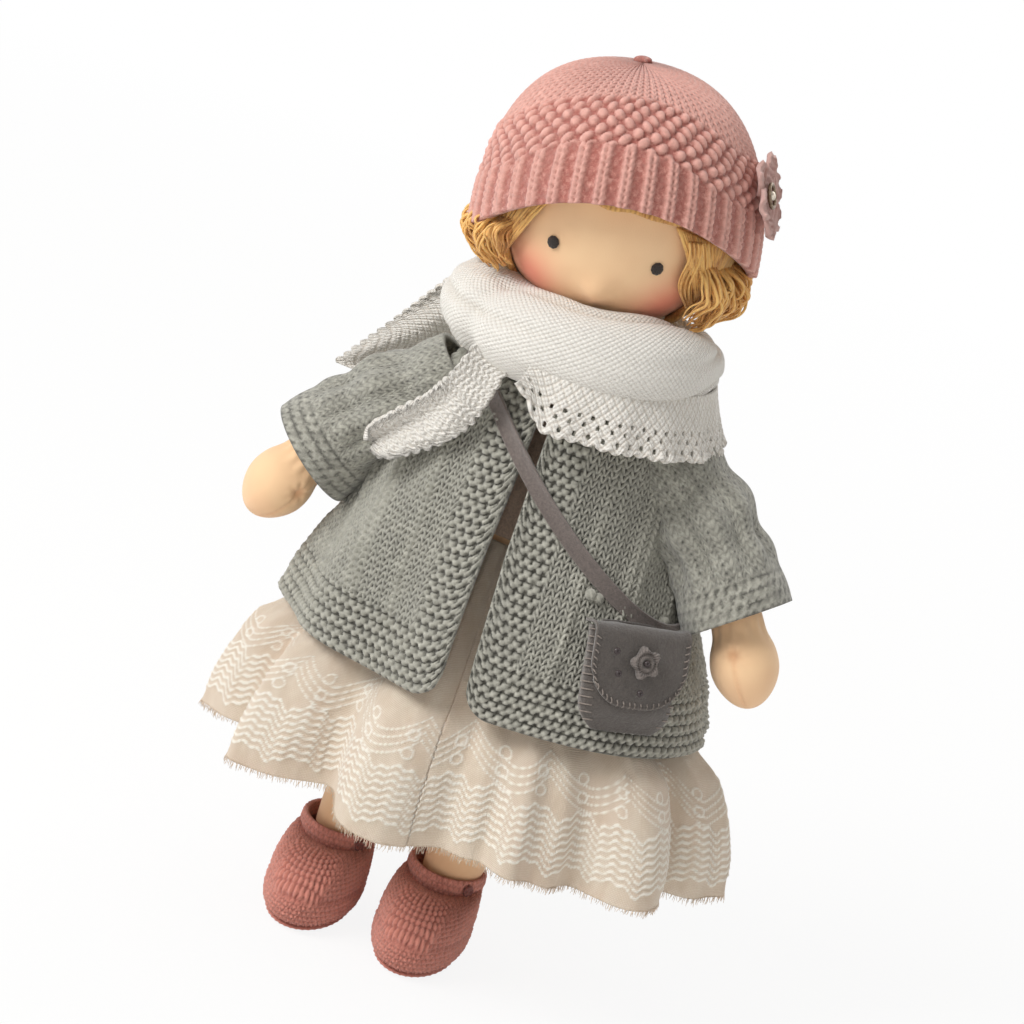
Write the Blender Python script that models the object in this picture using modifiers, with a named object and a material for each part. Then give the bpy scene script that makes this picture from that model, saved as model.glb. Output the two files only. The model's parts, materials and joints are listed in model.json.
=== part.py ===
"""A dressed rag doll: stuffed body, knitted and sewn clothes, felt bag, each piece its own object.

The doll stands on its soles, faces -Y and has its left hand on the +X side. Lengths are in metres.
"""
import math

import bmesh
import bpy
from mathutils import Matrix, Vector

# Fits
SEAT_GAP = 0.0004          # between pieces that touch
LAYER_GAP = 0.0007         # between loose layers of cloth, and round a turning limb
CUT_OVERRUN = 0.004        # how far a cutter runs past what it cuts
WELD = 0.00001

# Body
SKIN = 0.0012
TORSO_WIDTH = 0.070
TORSO_DEPTH = 0.052
TORSO_BASE_Z = 0.104
SHOULDER_Z = 0.199
NECK_RADIUS = 0.013
NECK_TOP_Z = 0.2200
TIE_RADIUS = 0.0009
HEAD_WIDTH = 0.074
HEAD_DEPTH = 0.072
HEAD_HEIGHT = 0.076
HEAD_CENTRE_Z = 0.2590
HEAD_SHIFT = -0.0045
HEAD_TURN = math.radians(11)
HEAD_LEAN = math.radians(-3.5)
EYE_SPACING = 0.0325
EYE_RADIUS = 0.0019
EYE_THICKNESS = 0.0008
EYE_RISE = -0.0110
NOSE_RADIUS = 0.0042
NOSE_DROP = 0.0220

# Limbs
ARM_RADIUS = 0.0095
ARM_PIVOT_X = 0.035
ARM_PIVOT_Z = 0.187
ARM_REACH_X = 0.053
ARM_REACH_FORWARD = 0.013
ARM_DROP = 0.062
ARM_BOW = 0.0065
LEG_RADIUS = 0.0112
HIP_X = 0.020
HIP_Z = 0.106
FOOT_SHIFT = -0.010
FOOT_WIDTH = 0.025
FOOT_LENGTH = 0.047
FOOT_HEIGHT = 0.0190
FOOT_FORWARD = 0.010

# Shoes
SOLE_THICKNESS = 0.0030
SHOE_WALL = 0.0022
SHOE_TOP_Z = 0.0295
STRAP_WIDTH = 0.0060
BUTTON_RADIUS = 0.0021
BUTTON_THICKNESS = 0.0012
FOOT_BASE_Z = SOLE_THICKNESS + SHOE_WALL + 2 * SEAT_GAP

# Dress
DRESS_CLOTH = 0.0010
WAIST_Z = 0.152
SKIRT_HEM_Z = 0.0565
SKIRT_HEM_WIDTH = 0.170
SKIRT_HEM_DEPTH = 0.112
SKIRT_FOLD = 0.0045
SKIRT_FOLDS = 11

# Cardigan
KNIT = 0.0022
COAT_HEM_Z = 0.102
COAT_NECK_Z = 0.2045
COAT_HEM_WIDTH = 0.148
COAT_HEM_DEPTH = 0.102
COAT_NECK_WIDTH = 0.050
COAT_NECK_DEPTH = 0.040
COAT_OPENING = 0.006
COAT_SEAM = 0.0010
SIDE_SHIFT = 0.005
SLEEVE_RADIUS = 0.0165

# Scarf
SCARF_KNIT = 0.0020
SCARF_WIDTH = 0.098
SCARF_DEPTH = 0.090
SCARF_THICK = 0.030
SCARF_TALL = 0.0255
SCARF_TOP_Z = 0.2290
DRAPE_WIDTH = 0.014
DRAPE_FLARE = 0.008
TAIL_WIDTH = 0.013
SCALLOP = 0.0014
SCALLOP_PITCH = 0.0075
SCARF_FALL = 0.100
WING_BOW = 0.003

# Hair and hat
WIG_THICKNESS = 0.0040
WIG_EDGE_DROP = 0.026
HAIRLINE_RISE = 0.003
LOCK_RADIUS = 0.0026
LOCK_START = 0.026
LOCK_END = 0.0275
LOCK_RISE = -0.003
LOCK_LENGTH = 0.020
BUNCH_WIDTH = 0.016
BUNCH_DEPTH = 0.028
BUNCH_DROP = 0.0265
HAT_KNIT = 0.0026
HAT_WIDTH = 0.0920
HAT_DEPTH = 0.091
HAT_TOP_RISE = 0.0462
HAT_BACK_DROP = 0.0205
HAT_FRONT_RISE = 0.0065
HAT_LEAN = math.radians(-5.0)
FLOWER_RADIUS = 0.0125
FLOWER_THICKNESS = 0.0030
RING_RADIUS = 0.0042

# Bag
FELT = 0.0013
BAG_WIDTH = 0.033
BAG_HEIGHT = 0.034
BAG_DEPTH = 0.0092
BAG_CORNER = 0.0035
BAG_TURN = math.radians(-42)
BAG_TOP_Z = 0.1430
BAG_SWING_ROOM = 0.0012
STRAP_CLOTH = 0.0012
STRAP_BAND = 0.0052
STRAP_CHEST_Z = 0.194
FLAP_LENGTH = 0.024
FLAP_HINGE_IN = 0.0024
ROSETTE_RADIUS = 0.0052
ROSETTE_THICKNESS = 0.0024
BEAD_RADIUS = 0.0013

# Shapes as shares: height from the base, half width, half depth
TORSO_SHARES = ((0, 0.90, 0.84), (0.3, 1.0, 1.0), (0.6, 0.94, 0.88), (0.85, 0.94, 0.74), (1, 0.96, 0.64))
HEAD_SHARES = ((0, 0.96, 0.96), (0.3, 1.0, 1.0), (0.5, 0.985, 0.97), (0.62, 0.99, 1.0), (1, 1.0, 1.0))
COAT_SHARES = (
    (0, 1.0, 1.0), (0.173, 0.878, 0.90), (0.365, 0.694, 0.733), (0.558, 0.52, 0.567), (0.75, 0.388, 0.433),
    (0.846, 0.337, 0.367), (0.93, 0.265, 0.267), (0.97, 0.163, 0.167), (1, 0, 0),
)
SKIRT_SHARES = (
    (0, 1.0, 1.0), (0.15, 0.98, 0.95), (0.375, 0.84, 0.755), (0.48, 0.64, 0.56), (0.73, 0.36, 0.32),
    (1, 0, 0),
)
SLEEVE_SHARES = ((0, 1.06), (0.3, 1.0), (0.7, 0.97), (0.9, 1.05), (1, 1.06))
ARM_SHARES = ((0, 1.0), (0.25, 1.0), (0.55, 0.95), (0.72, 0.88), (0.87, 1.2), (1, 1.1))
FOOT_SHARES = ((0, 0.97, 0.95), (0.35, 1.0, 1.0), (0.7, 0.93, 0.92), (1, 0.78, 0.72))
LEG_SHARES = ((0, 1.0), (0.3, 1.03), (0.7, 0.95), (1, 0.92))
TORSO_BLUNTNESS_SHARE = 0.30
LIMB_BLUNTNESS_SHARE = 0.42
FOOT_BLUNTNESS_SHARE = 0.45
ROOT_SHARE = 0.6
SOCKET_SHARE = 1.12
NECK_ROLL_SHARE = 0.96
NOSE_TALL_SHARE = 0.85
SOLE_SHARE = 0.93
SOLE_BLUNTNESS_SHARE = 0.85
BUNCH_OUT_SHARE = 0.10
BUNCH_BACK_SHARE = 0.20
BUNCH_TALL_SHARE = 1.15
LOCK_END_SHARE = 0.6
LOCK_SEAT_SHARE = 0.75
HAT_BOW_SHARE = 2.4
HAT_ROUND_SHARE = 0.82
FLOWER_HEIGHT_SHARE = 0.21
PETAL_DEPTH_SHARE = 0.3
RING_TALL_SHARE = 0.4
FLAP_ROUND_SHARE = 0.25
ROSETTE_DROP_SHARE = 0.45
BEAD_SUNK_SHARE = 0.6
BEAD_SHARES = ((0.62, 0.34), (0.52, 0.62), (0.0, 0.84))

# The scarf's loose ends: shares of its half width, its half depth and its drop below the roll's top
DRAPE_SEAT_SHARE = 0.86
DRAPE_DROP_SHARE = 0.45
WING_SHARES = ((-0.51, 0.84, 0.175), (-1.02, 0.34, 0.110), (-1.76, 0.48, 0.580), (-0.98, 0.84, 0.600))
TAIL_SHARES = (
    (-0.41, -0.84, 0.20), (-0.51, -0.84, 0.35), (-0.63, -0.755, 0.45), (-0.84, -0.665, 0.55),
    (-1.04, -0.645, 0.63),
)

# Places along the arm, the sweep and the sampling of directions, as shares
SLEEVE_START_SHARE = -0.04
CUFF_END_SHARE = 0.66
ARM_SWEEP_SHARES = (0, 0.25, 0.5, 0.75, 1)
CENTRAL_STEP_SHARE = 0.05
STRAP_TOP_SHARE = 0.75

# Turns
ARM_RAISE = math.radians(55)
BUTTON_ANGLE = math.radians(-40)
DRAPE_START = math.radians(-98)
DRAPE_END = math.radians(80)
FLOWER_TURN = math.radians(-18)
STRAP_LOW_TURN = math.radians(-28)

# Facets and repeats
BODY_AROUND_COUNT = 14
BODY_ALONG = 8
LIMB_AROUND_COUNT = 10
LIMB_ALONG = 9
FINE_AROUND_COUNT = 18
FINE_ALONG = 11
SMALL_AROUND_COUNT = 12
SMALL_ALONG = 8
BEAD_AROUND_COUNT = 8
BEAD_ALONG = 6
RING_AROUND_COUNT = 18
RING_SIDE_COUNT = 8
TIE_SIDE_COUNT = 5
COAT_ROW_COUNT = 9
COAT_COLUMN_COUNT = 12
SKIRT_COLUMN_COUNT = 33
SKIRT_ROW_COUNT = 5
SLEEVE_COLUMN_COUNT = 16
SLEEVE_ROW_COUNT = 7
SCARF_AROUND_COUNT = 24
DRAPE_COLUMN_COUNT = 52
DRAPE_ROW_COUNT = 2
WING_COLUMN_COUNT = 4
WING_ROW_COUNT = 20
TAIL_ROW_COUNT = 24
HAT_COLUMN_COUNT = 28
HAT_ROW_COUNT = 9
STRAP_COLUMN_COUNT = 40
STRAP_STEP_COUNT = 60
FLAP_COLUMN_COUNT = 8
FLAP_ROW_COUNT = 4
HAT_PETALS = 6
ROSETTE_PETALS = 5
POINTS_PER_PETAL = 6
OVAL_POINTS = 20
BUTTON_POINTS = 12
RING_POINTS = 16

COLOURS = {
    "skin": (0.80, 0.55, 0.38), "wool": (0.86, 0.83, 0.75), "thread": (0.75, 0.62, 0.50),
    "eye": (0.05, 0.03, 0.02), "hair": (0.68, 0.43, 0.14), "rose_knit": (0.62, 0.34, 0.31),
    "petal": (0.63, 0.42, 0.38), "bronze": (0.18, 0.14, 0.10), "grey_knit": (0.27, 0.27, 0.25),
    "white_knit": (0.85, 0.83, 0.78), "linen": (0.72, 0.62, 0.50), "shoe_yarn": (0.52, 0.20, 0.16),
    "felt": (0.12, 0.10, 0.08), "rosette": (0.20, 0.17, 0.16), "bead": (0.10, 0.09, 0.10),
}
ROUGHNESS = {"bronze": 0.4, "eye": 0.5, "bead": 0.3}
METALLIC = {"bronze": 0.8}
PLAIN_ROUGHNESS = 0.9


def clear_scene():
    """Take every object out of the open file."""
    for item in list(bpy.data.objects):
        bpy.data.objects.remove(item, do_unlink=True)


def collection(name):
    """A new collection in the scene."""
    made = bpy.data.collections.new(name)
    bpy.context.scene.collection.children.link(made)
    return made


clear_scene()
DOLL = collection("waldorf_doll")
CUTTERS = collection("cutters")


def material(finish):
    """The material of one finish, made once."""
    made = bpy.data.materials.get(finish)
    if made:
        return made
    made = bpy.data.materials.new(finish)
    made.use_nodes = True
    shader = made.node_tree.nodes["Principled BSDF"]
    shader.inputs["Base Color"].default_value = (*COLOURS[finish], 1)
    shader.inputs["Roughness"].default_value = ROUGHNESS.get(finish, PLAIN_ROUGHNESS)
    shader.inputs["Metallic"].default_value = METALLIC.get(finish, 0)
    return made


def empty(name, place, turn=None, parent=None):
    """An empty that carries the pieces of one moving body."""
    made = bpy.data.objects.new(name, None)
    made.matrix_world = Matrix.Translation(place) @ (turn or Matrix.Identity(4))
    DOLL.objects.link(made)
    made.parent = parent
    return made


def add_piece(name, mesh, finish, carrier=None):
    """Put a mesh, drawn in its carrier's frame, into the doll as one named object."""
    made = bpy.data.objects.new(name, mesh)
    mesh.materials.append(material(finish))
    mesh.shade_smooth()
    DOLL.objects.link(made)
    made.parent = carrier
    return made


def add_cutter(name, mesh, carrier=None):
    """A guide solid that only cuts others."""
    made = bpy.data.objects.new(name, mesh)
    CUTTERS.objects.link(made)
    made.parent = carrier
    made.hide_render = True
    made.display_type = "WIRE"
    return made


def join(piece, other, operation="DIFFERENCE"):
    """Cut a piece with another object, or join the other to it."""
    change = piece.modifiers.new(operation.lower(), "BOOLEAN")
    change.operation = operation
    change.solver = "EXACT"
    change.object = other
    return piece


def finish_mesh(name, shape):
    """Turn a bmesh into a mesh whose faces point out."""
    bmesh.ops.recalc_face_normals(shape, faces=shape.faces)
    if shape.calc_volume(signed=True) < 0:
        bmesh.ops.reverse_faces(shape, faces=shape.faces)
    mesh = bpy.data.meshes.new(name)
    shape.to_mesh(mesh)
    shape.free()
    return mesh


def along_rows(rows, share):
    """Values of a table at a share, on a smooth curve through its rows."""
    share = min(max(share, rows[0][0]), rows[-1][0])
    place = 0
    while place < len(rows) - 2 and share > rows[place + 1][0]:
        place += 1
    before, after = rows[place], rows[place + 1]
    earlier = rows[max(place - 1, 0)]
    later = rows[min(place + 2, len(rows) - 1)]
    span = after[0] - before[0]
    t = (share - before[0]) / span
    values = []
    for column in range(1, len(before)):
        slope_in = (after[column] - earlier[column]) / (after[0] - earlier[0]) * span
        slope_out = (later[column] - before[column]) / (later[0] - before[0]) * span
        a, b = before[column], after[column]
        values.append(
            (2 * t**3 - 3 * t**2 + 1) * a + (t**3 - 2 * t**2 + t) * slope_in
            + (3 * t**2 - 2 * t**3) * b + (t**3 - t**2) * slope_out
        )
    return values


def ball_mesh(name, place, around, along):
    """A closed ball whose points are moved by place(height share, ring share, angle)."""
    shape = bmesh.new()
    bmesh.ops.create_uvsphere(shape, u_segments=around, v_segments=along, radius=1)
    for point in shape.verts:
        height = (1 + point.co.z) / 2
        ring = math.sqrt(max(0, 1 - point.co.z**2))
        point.co = place(height, ring, math.atan2(point.co.y, point.co.x))
    return finish_mesh(name, shape)


def sheet_mesh(name, place, across, along, closed=False, closed_along=False):
    """An open sheet, or a tube, whose points are moved by place(share across, share along)."""
    shape = bmesh.new()
    bmesh.ops.create_grid(shape, x_segments=across, y_segments=along, size=1)
    for point in shape.verts:
        point.co = place((1 + point.co.x) / 2, (1 + point.co.y) / 2)
    if closed or closed_along:
        bmesh.ops.remove_doubles(shape, verts=shape.verts, dist=WELD)
    return finish_mesh(name, shape)


def thicken(piece, thickness):
    """Give a sheet its thickness, half to each side."""
    shell = piece.modifiers.new("thickness", "SOLIDIFY")
    shell.thickness = thickness
    shell.offset = 0
    shell.use_even_offset = True
    return piece


def egg(centre, half, shares=None, bluntness=1):
    """Rule for a ball with unlike half sizes, and a table of shares up its height."""
    def place(height, ring, angle):
        wide, deep = along_rows(shares, height) if shares else (1, 1)
        swell = ring**bluntness
        return Vector((
            centre[0] + half[0] * wide * swell * math.cos(angle),
            centre[1] + half[1] * deep * swell * math.sin(angle),
            centre[2] + half[2] * (2 * height - 1),
        ))
    return place


def limb(route, radius, shares, spread=0, bluntness=LIMB_BLUNTNESS_SHARE):
    """Rule for a stuffed tube along route(share), grown by spread on every side."""
    def place(height, ring, angle):
        ahead = route(min(1, height + CENTRAL_STEP_SHARE)) - route(max(0, height - CENTRAL_STEP_SHARE))
        ahead.normalize()
        side = ahead.cross(Vector((0, 1, 0))).normalized()
        front = side.cross(ahead)
        reach = (radius * along_rows(shares, height)[0] + spread) * ring**bluntness
        ends = ahead * spread * (2 * height - 1)
        return route(height) + ends + side * reach * math.cos(angle) + front * reach * math.sin(angle)
    return place


def rod_mesh(name, start, end, radius, sides):
    """A straight round rod between two points."""
    shape = bmesh.new()
    way = Vector(end) - Vector(start)
    turn = way.to_track_quat("Z", "Y").to_matrix().to_4x4()
    middle = Matrix.Translation((Vector(end) + Vector(start)) / 2)
    bmesh.ops.create_cone(
        shape, cap_ends=True, segments=sides, radius1=radius, radius2=radius, depth=way.length,
        matrix=middle @ turn,
    )
    return finish_mesh(name, shape)


def box_mesh(name, low, high):
    """A box between two corners."""
    shape = bmesh.new()
    size = Vector(high) - Vector(low)
    middle = Matrix.Translation((Vector(high) + Vector(low)) / 2)
    bmesh.ops.create_cube(shape, size=1, matrix=middle @ Matrix.Diagonal((*size, 1)))
    return finish_mesh(name, shape)


def both_sides():
    """The doll's left and right, with the side's sign along X."""
    return (("left", 1), ("right", -1))


# Frames of the moving bodies
HEAD_TURNED = Matrix.Rotation(HEAD_TURN, 4, "Z") @ Matrix.Rotation(HEAD_LEAN, 4, "Y")
NECK_PIVOT = Vector((0, 0, SHOULDER_Z + NECK_RADIUS / 2))
HEAD_FRAME = empty("head_frame", (HEAD_SHIFT, 0, HEAD_CENTRE_Z), HEAD_TURNED)
NECK_FRAME = empty("neck_frame", NECK_PIVOT)


def head_rule(spread=0):
    """The head's surface, grown by spread, in the head's frame."""
    half = (HEAD_WIDTH / 2 + spread, HEAD_DEPTH / 2 + spread, HEAD_HEIGHT / 2 + spread)
    return egg((0, 0, 0), half, HEAD_SHARES)


def torso_rule(spread=0):
    """The torso's surface, grown by spread."""
    middle = (SHOULDER_Z + TORSO_BASE_Z) / 2
    half = (TORSO_WIDTH / 2 + spread, TORSO_DEPTH / 2 + spread, (SHOULDER_Z - TORSO_BASE_Z) / 2 + spread)
    return egg((0, 0, middle), half, TORSO_SHARES, TORSO_BLUNTNESS_SHARE)


def arm_line(side):
    """The shoulder's pivot and the way from it to the fingertips."""
    pivot = Vector((side * ARM_PIVOT_X, 0, ARM_PIVOT_Z))
    way = Vector((side * ARM_REACH_X, -ARM_REACH_FORWARD, -ARM_DROP))
    return pivot, way


def arm_rule(side, spread=0):
    """The stuffed arm with its mitten hand."""
    pivot, way = arm_line(side)
    start = pivot - way.normalized() * ARM_RADIUS * ROOT_SHARE

    def route(share):
        return start.lerp(pivot + way, share) + arm_bow(side, share)

    return limb(route, ARM_RADIUS, ARM_SHARES, spread)


def arm_bow(side, share):
    """How far the arm bends outwards at a share of its length."""
    way = arm_line(side)[1]
    outwards = side * way.cross(Vector((0, 1, 0))).normalized()
    return outwards * ARM_BOW * math.sin(math.pi * share)


def leg_line(side):
    """The hip's pivot and the way from it to the heel."""
    pivot = Vector((side * HIP_X, 0, HIP_Z))
    return pivot, Vector((FOOT_SHIFT, 0, FOOT_BASE_Z + FOOT_HEIGHT / 2 - HIP_Z))


def leg_rule(side, spread=0):
    """The stuffed leg down to the heel."""
    pivot, way = leg_line(side)
    start = pivot - way.normalized() * LEG_RADIUS * ROOT_SHARE
    return limb(lambda share: start.lerp(pivot + way, share), LEG_RADIUS, LEG_SHARES, spread)


def foot_rule(side, spread=0):
    """The foot's surface, grown by spread."""
    centre = (side * HIP_X + FOOT_SHIFT, -FOOT_FORWARD, FOOT_BASE_Z + FOOT_HEIGHT / 2)
    half = (FOOT_WIDTH / 2 + spread, FOOT_LENGTH / 2 + spread, FOOT_HEIGHT / 2 + spread)
    return egg(centre, half, FOOT_SHARES, FOOT_BLUNTNESS_SHARE)


def socket(name, pivot, radius, gap=SEAT_GAP):
    """A ball round the root of a limb; with a gap it clears the limb, without one it is its root."""
    reach = radius * SOCKET_SHARE + gap
    return add_cutter(name, ball_mesh(name, egg(pivot, (reach, reach, reach)), BODY_AROUND_COUNT, BODY_ALONG))


def arm_way(side_name, side):
    """The space that the arm sweeps through as it is raised."""
    pivot = arm_line(side)[0]
    swept = socket(f"arm_way_{side_name}", pivot, ARM_RADIUS + LAYER_GAP)
    for number, share in enumerate(ARM_SWEEP_SHARES):
        name = f"arm_way_{side_name}_{number}"
        mesh = ball_mesh(name, arm_rule(side, LAYER_GAP), LIMB_AROUND_COUNT, LIMB_ALONG)
        turn = Matrix.Rotation(-side * ARM_RAISE * share, 4, "Y")
        mesh.transform(Matrix.Translation(pivot) @ turn @ Matrix.Translation(-pivot))
        join(swept, add_cutter(name, mesh), "UNION")
    return swept


ARM_WAYS = [arm_way(*names) for names in both_sides()]
ARM_SOCKETS = [socket(f"arm_socket_{name}", arm_line(side)[0], ARM_RADIUS) for name, side in both_sides()]
LEG_SOCKETS = [
    socket(f"leg_socket_{name}", leg_line(side)[0], LEG_RADIUS, LAYER_GAP) for name, side in both_sides()
]


def leg_groove(side_name, side):
    """The space in the torso's front that the thigh lies in when the doll sits."""
    pivot, way = leg_line(side)
    ahead = Matrix.Rotation(-math.pi / 2, 3, "X") @ way
    name = f"leg_groove_{side_name}"
    reach = LEG_RADIUS * SOCKET_SHARE
    return add_cutter(name, rod_mesh(name, pivot, pivot + ahead, reach, BODY_AROUND_COUNT))


LEG_GROOVES = [leg_groove(*names) for names in both_sides()]
NECK_SOCKET = socket("neck_socket", NECK_PIVOT, NECK_RADIUS)


def make_torso():
    """The sewn torso skin and its stuffing, with the seats of neck, arms and legs."""
    skin = ball_mesh("torso_skin", torso_rule(), BODY_AROUND_COUNT, BODY_ALONG)
    skin = add_piece("torso_skin", skin, "skin")
    hollow = ball_mesh("torso_hollow", torso_rule(-SKIN), BODY_AROUND_COUNT, BODY_ALONG)
    join(skin, add_cutter("torso_hollow", hollow))
    filling = ball_mesh("torso_stuffing", torso_rule(-SKIN - SEAT_GAP), BODY_AROUND_COUNT, BODY_ALONG)
    stuffing = add_piece("torso_stuffing", filling, "wool")
    for piece in (skin, stuffing):
        for seat in ARM_SOCKETS + LEG_SOCKETS + LEG_GROOVES + [NECK_SOCKET]:
            join(piece, seat)


def ring_mesh(name, centre, across, tall, thick, around, sides):
    """A closed ring of oval section round the Z axis; across holds its two half widths."""
    def place(turn, roll):
        angle = 2 * math.pi * turn
        section = 2 * math.pi * roll
        out = thick / 2 * math.cos(section)
        rise = tall / 2 * math.sin(section)
        return Vector((
            centre[0] + (across[0] + out) * math.cos(angle),
            centre[1] + (across[1] + out) * math.sin(angle),
            centre[2] + rise,
        ))
    return sheet_mesh(name, place, around, sides, closed=True, closed_along=True)


def make_neck():
    """The neck roll with its round foot, and the thread that ties off the head."""
    foot = egg((0, 0, 0), (NECK_RADIUS, NECK_RADIUS, NECK_RADIUS))
    neck = add_piece("neck", ball_mesh("neck", foot, BODY_AROUND_COUNT, BODY_ALONG), "skin", NECK_FRAME)
    rise = NECK_TOP_Z + CUT_OVERRUN - NECK_PIVOT.z
    roll = rod_mesh("neck_roll", (0, 0, 0), (0, 0, rise), NECK_RADIUS * NECK_ROLL_SHARE, BODY_AROUND_COUNT)
    join(neck, add_cutter("neck_roll", roll, NECK_FRAME), "UNION")
    seat = ball_mesh("head_seat", head_rule(SEAT_GAP), FINE_AROUND_COUNT, FINE_ALONG)
    join(neck, add_cutter("head_seat", seat, HEAD_FRAME))
    reach = NECK_RADIUS * NECK_ROLL_SHARE + TIE_RADIUS + SEAT_GAP / 2
    height = NECK_TOP_Z - NECK_PIVOT.z - TIE_RADIUS
    thick = 2 * TIE_RADIUS
    counts = (RING_AROUND_COUNT, TIE_SIDE_COUNT)
    tie = ring_mesh("neck_tie_thread", (0, 0, height), (reach, reach), thick, thick, *counts)
    add_piece("neck_tie_thread", tie, "thread", NECK_FRAME)


def face_seat(across, rise, spread=0):
    """The point of the head's front at a height and a distance from its middle."""
    height = 0.5 + rise / (HEAD_HEIGHT + 2 * spread)
    wide, deep = along_rows(HEAD_SHARES, height)
    ring = math.sqrt(1 - (2 * height - 1) ** 2)
    reach_x = (HEAD_WIDTH / 2 + spread) * wide * ring
    reach_y = (HEAD_DEPTH / 2 + spread) * deep * ring
    return Vector((across, -reach_y * math.sqrt(1 - (across / reach_x) ** 2), rise))


def make_head():
    """The head's wool ball, its drawn-over skin, the nose lump and the two eyes."""
    skin = ball_mesh("head_skin", head_rule(), FINE_AROUND_COUNT, FINE_ALONG)
    skin = add_piece("head_skin", skin, "skin", HEAD_FRAME)
    hollow = ball_mesh("head_hollow", head_rule(-SKIN), FINE_AROUND_COUNT, FINE_ALONG)
    join(skin, add_cutter("head_hollow", hollow, HEAD_FRAME))
    low = (0, 0, -HEAD_HEIGHT / 2 - CUT_OVERRUN)
    mouth = rod_mesh("head_mouth", low, (0, 0, -HEAD_HEIGHT / 4), NECK_RADIUS / 2, LIMB_AROUND_COUNT)
    join(skin, add_cutter("head_mouth", mouth, HEAD_FRAME))
    filling = ball_mesh("head_stuffing", head_rule(-SKIN - SEAT_GAP), FINE_AROUND_COUNT, FINE_ALONG)
    add_piece("head_stuffing", filling, "wool", HEAD_FRAME)
    around_head = ball_mesh("head_clear", head_rule(SEAT_GAP), FINE_AROUND_COUNT, FINE_ALONG)
    around_head = add_cutter("head_clear", around_head, HEAD_FRAME)
    tip = face_seat(0, -NOSE_DROP)
    half = (NOSE_RADIUS, NOSE_RADIUS / 2, NOSE_RADIUS * NOSE_TALL_SHARE)
    lump = ball_mesh("nose", egg(tip, half), SMALL_AROUND_COUNT, SMALL_ALONG)
    join(add_piece("nose", lump, "skin", HEAD_FRAME), around_head)
    for name, side in both_sides():
        seat = face_seat(side * EYE_SPACING / 2, EYE_RISE)
        half = (EYE_RADIUS, EYE_THICKNESS + SEAT_GAP, EYE_RADIUS)
        disc = ball_mesh(f"eye_{name}", egg(seat, half), SMALL_AROUND_COUNT, BEAD_ALONG)
        join(add_piece(f"eye_{name}", disc, "eye", HEAD_FRAME), around_head)


def make_arms():
    """Each arm's skin, open at the shoulder, and its stuffing."""
    for name, side in both_sides():
        pivot, way = arm_line(side)
        frame = empty(f"arm_{name}_frame", pivot)
        shift = Matrix.Translation(-pivot)
        skin = ball_mesh(f"arm_{name}_skin", arm_rule(side), LIMB_AROUND_COUNT, LIMB_ALONG)
        skin.transform(shift)
        skin = add_piece(f"arm_{name}_skin", skin, "skin", frame)
        hollow = ball_mesh(f"arm_{name}_hollow", arm_rule(side, -SKIN), LIMB_AROUND_COUNT, LIMB_ALONG)
        join(skin, add_cutter(f"arm_{name}_hollow", hollow))
        back = pivot - way.normalized() * (ARM_RADIUS + CUT_OVERRUN)
        mouth = rod_mesh(f"arm_{name}_mouth", back, pivot, ARM_RADIUS / 2, LIMB_AROUND_COUNT)
        join(skin, add_cutter(f"arm_{name}_mouth", mouth))
        rule = arm_rule(side, -SKIN - SEAT_GAP)
        filling = ball_mesh(f"arm_{name}_stuffing", rule, LIMB_AROUND_COUNT, LIMB_ALONG)
        filling.transform(shift)
        add_piece(f"arm_{name}_stuffing", filling, "wool", frame)


def make_leg(name, side):
    """One leg's skin with its foot, open at the hip, and its stuffing."""
    pivot, way = leg_line(side)
    frame = empty(f"leg_{name}_frame", pivot)
    shift = Matrix.Translation(-pivot)
    for kind, spread, finish in (("skin", 0, "skin"), ("stuffing", -SKIN - SEAT_GAP, "wool")):
        mesh = ball_mesh(f"leg_{name}_{kind}", leg_rule(side, spread), LIMB_AROUND_COUNT, LIMB_ALONG)
        mesh.transform(shift)
        piece = add_piece(f"leg_{name}_{kind}", mesh, finish, frame)
        foot = ball_mesh(f"foot_{name}_{kind}", foot_rule(side, spread), BODY_AROUND_COUNT, BODY_ALONG)
        join(piece, add_cutter(f"foot_{name}_{kind}", foot), "UNION")
        if kind == "skin":
            join(piece, socket(f"leg_{name}_root", pivot, LEG_RADIUS, 0), "UNION")
            hollow = ball_mesh(f"leg_{name}_hollow", leg_rule(side, -SKIN), LIMB_AROUND_COUNT, LIMB_ALONG)
            join(piece, add_cutter(f"leg_{name}_hollow", hollow))
            toes = ball_mesh(f"foot_{name}_hollow", foot_rule(side, -SKIN), BODY_AROUND_COUNT, BODY_ALONG)
            join(piece, add_cutter(f"foot_{name}_hollow", toes))
            back = pivot - way.normalized() * (LEG_RADIUS + CUT_OVERRUN)
            mouth = rod_mesh(f"leg_{name}_mouth", back, pivot, LEG_RADIUS / 2, LIMB_AROUND_COUNT)
            join(piece, add_cutter(f"leg_{name}_mouth", mouth))
    return frame


def flat_piece(name, outline, thickness, finish, place, carrier):
    """A flat outline of the given thickness, lying in its XY plane with its middle at place."""
    drawn = bpy.data.curves.new(name, "CURVE")
    drawn.dimensions = "2D"
    drawn.fill_mode = "BOTH"
    drawn.extrude = thickness / 2
    line = drawn.splines.new("POLY")
    line.points.add(len(outline) - 1)
    for point, (x, y) in zip(line.points, outline):
        point.co = (x, y, 0, 1)
    line.use_cyclic_u = True
    curve = bpy.data.objects.new(name, drawn)
    DOLL.objects.link(curve)
    bpy.context.view_layer.update()
    graph = bpy.context.evaluated_depsgraph_get()
    mesh = bpy.data.meshes.new_from_object(curve.evaluated_get(graph))
    bpy.data.objects.remove(curve)
    shape = bmesh.new()
    shape.from_mesh(mesh)
    bmesh.ops.remove_doubles(shape, verts=shape.verts, dist=WELD)
    mesh = finish_mesh(name, shape)
    mesh.transform(place)
    return add_piece(name, mesh, finish, carrier)


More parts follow.
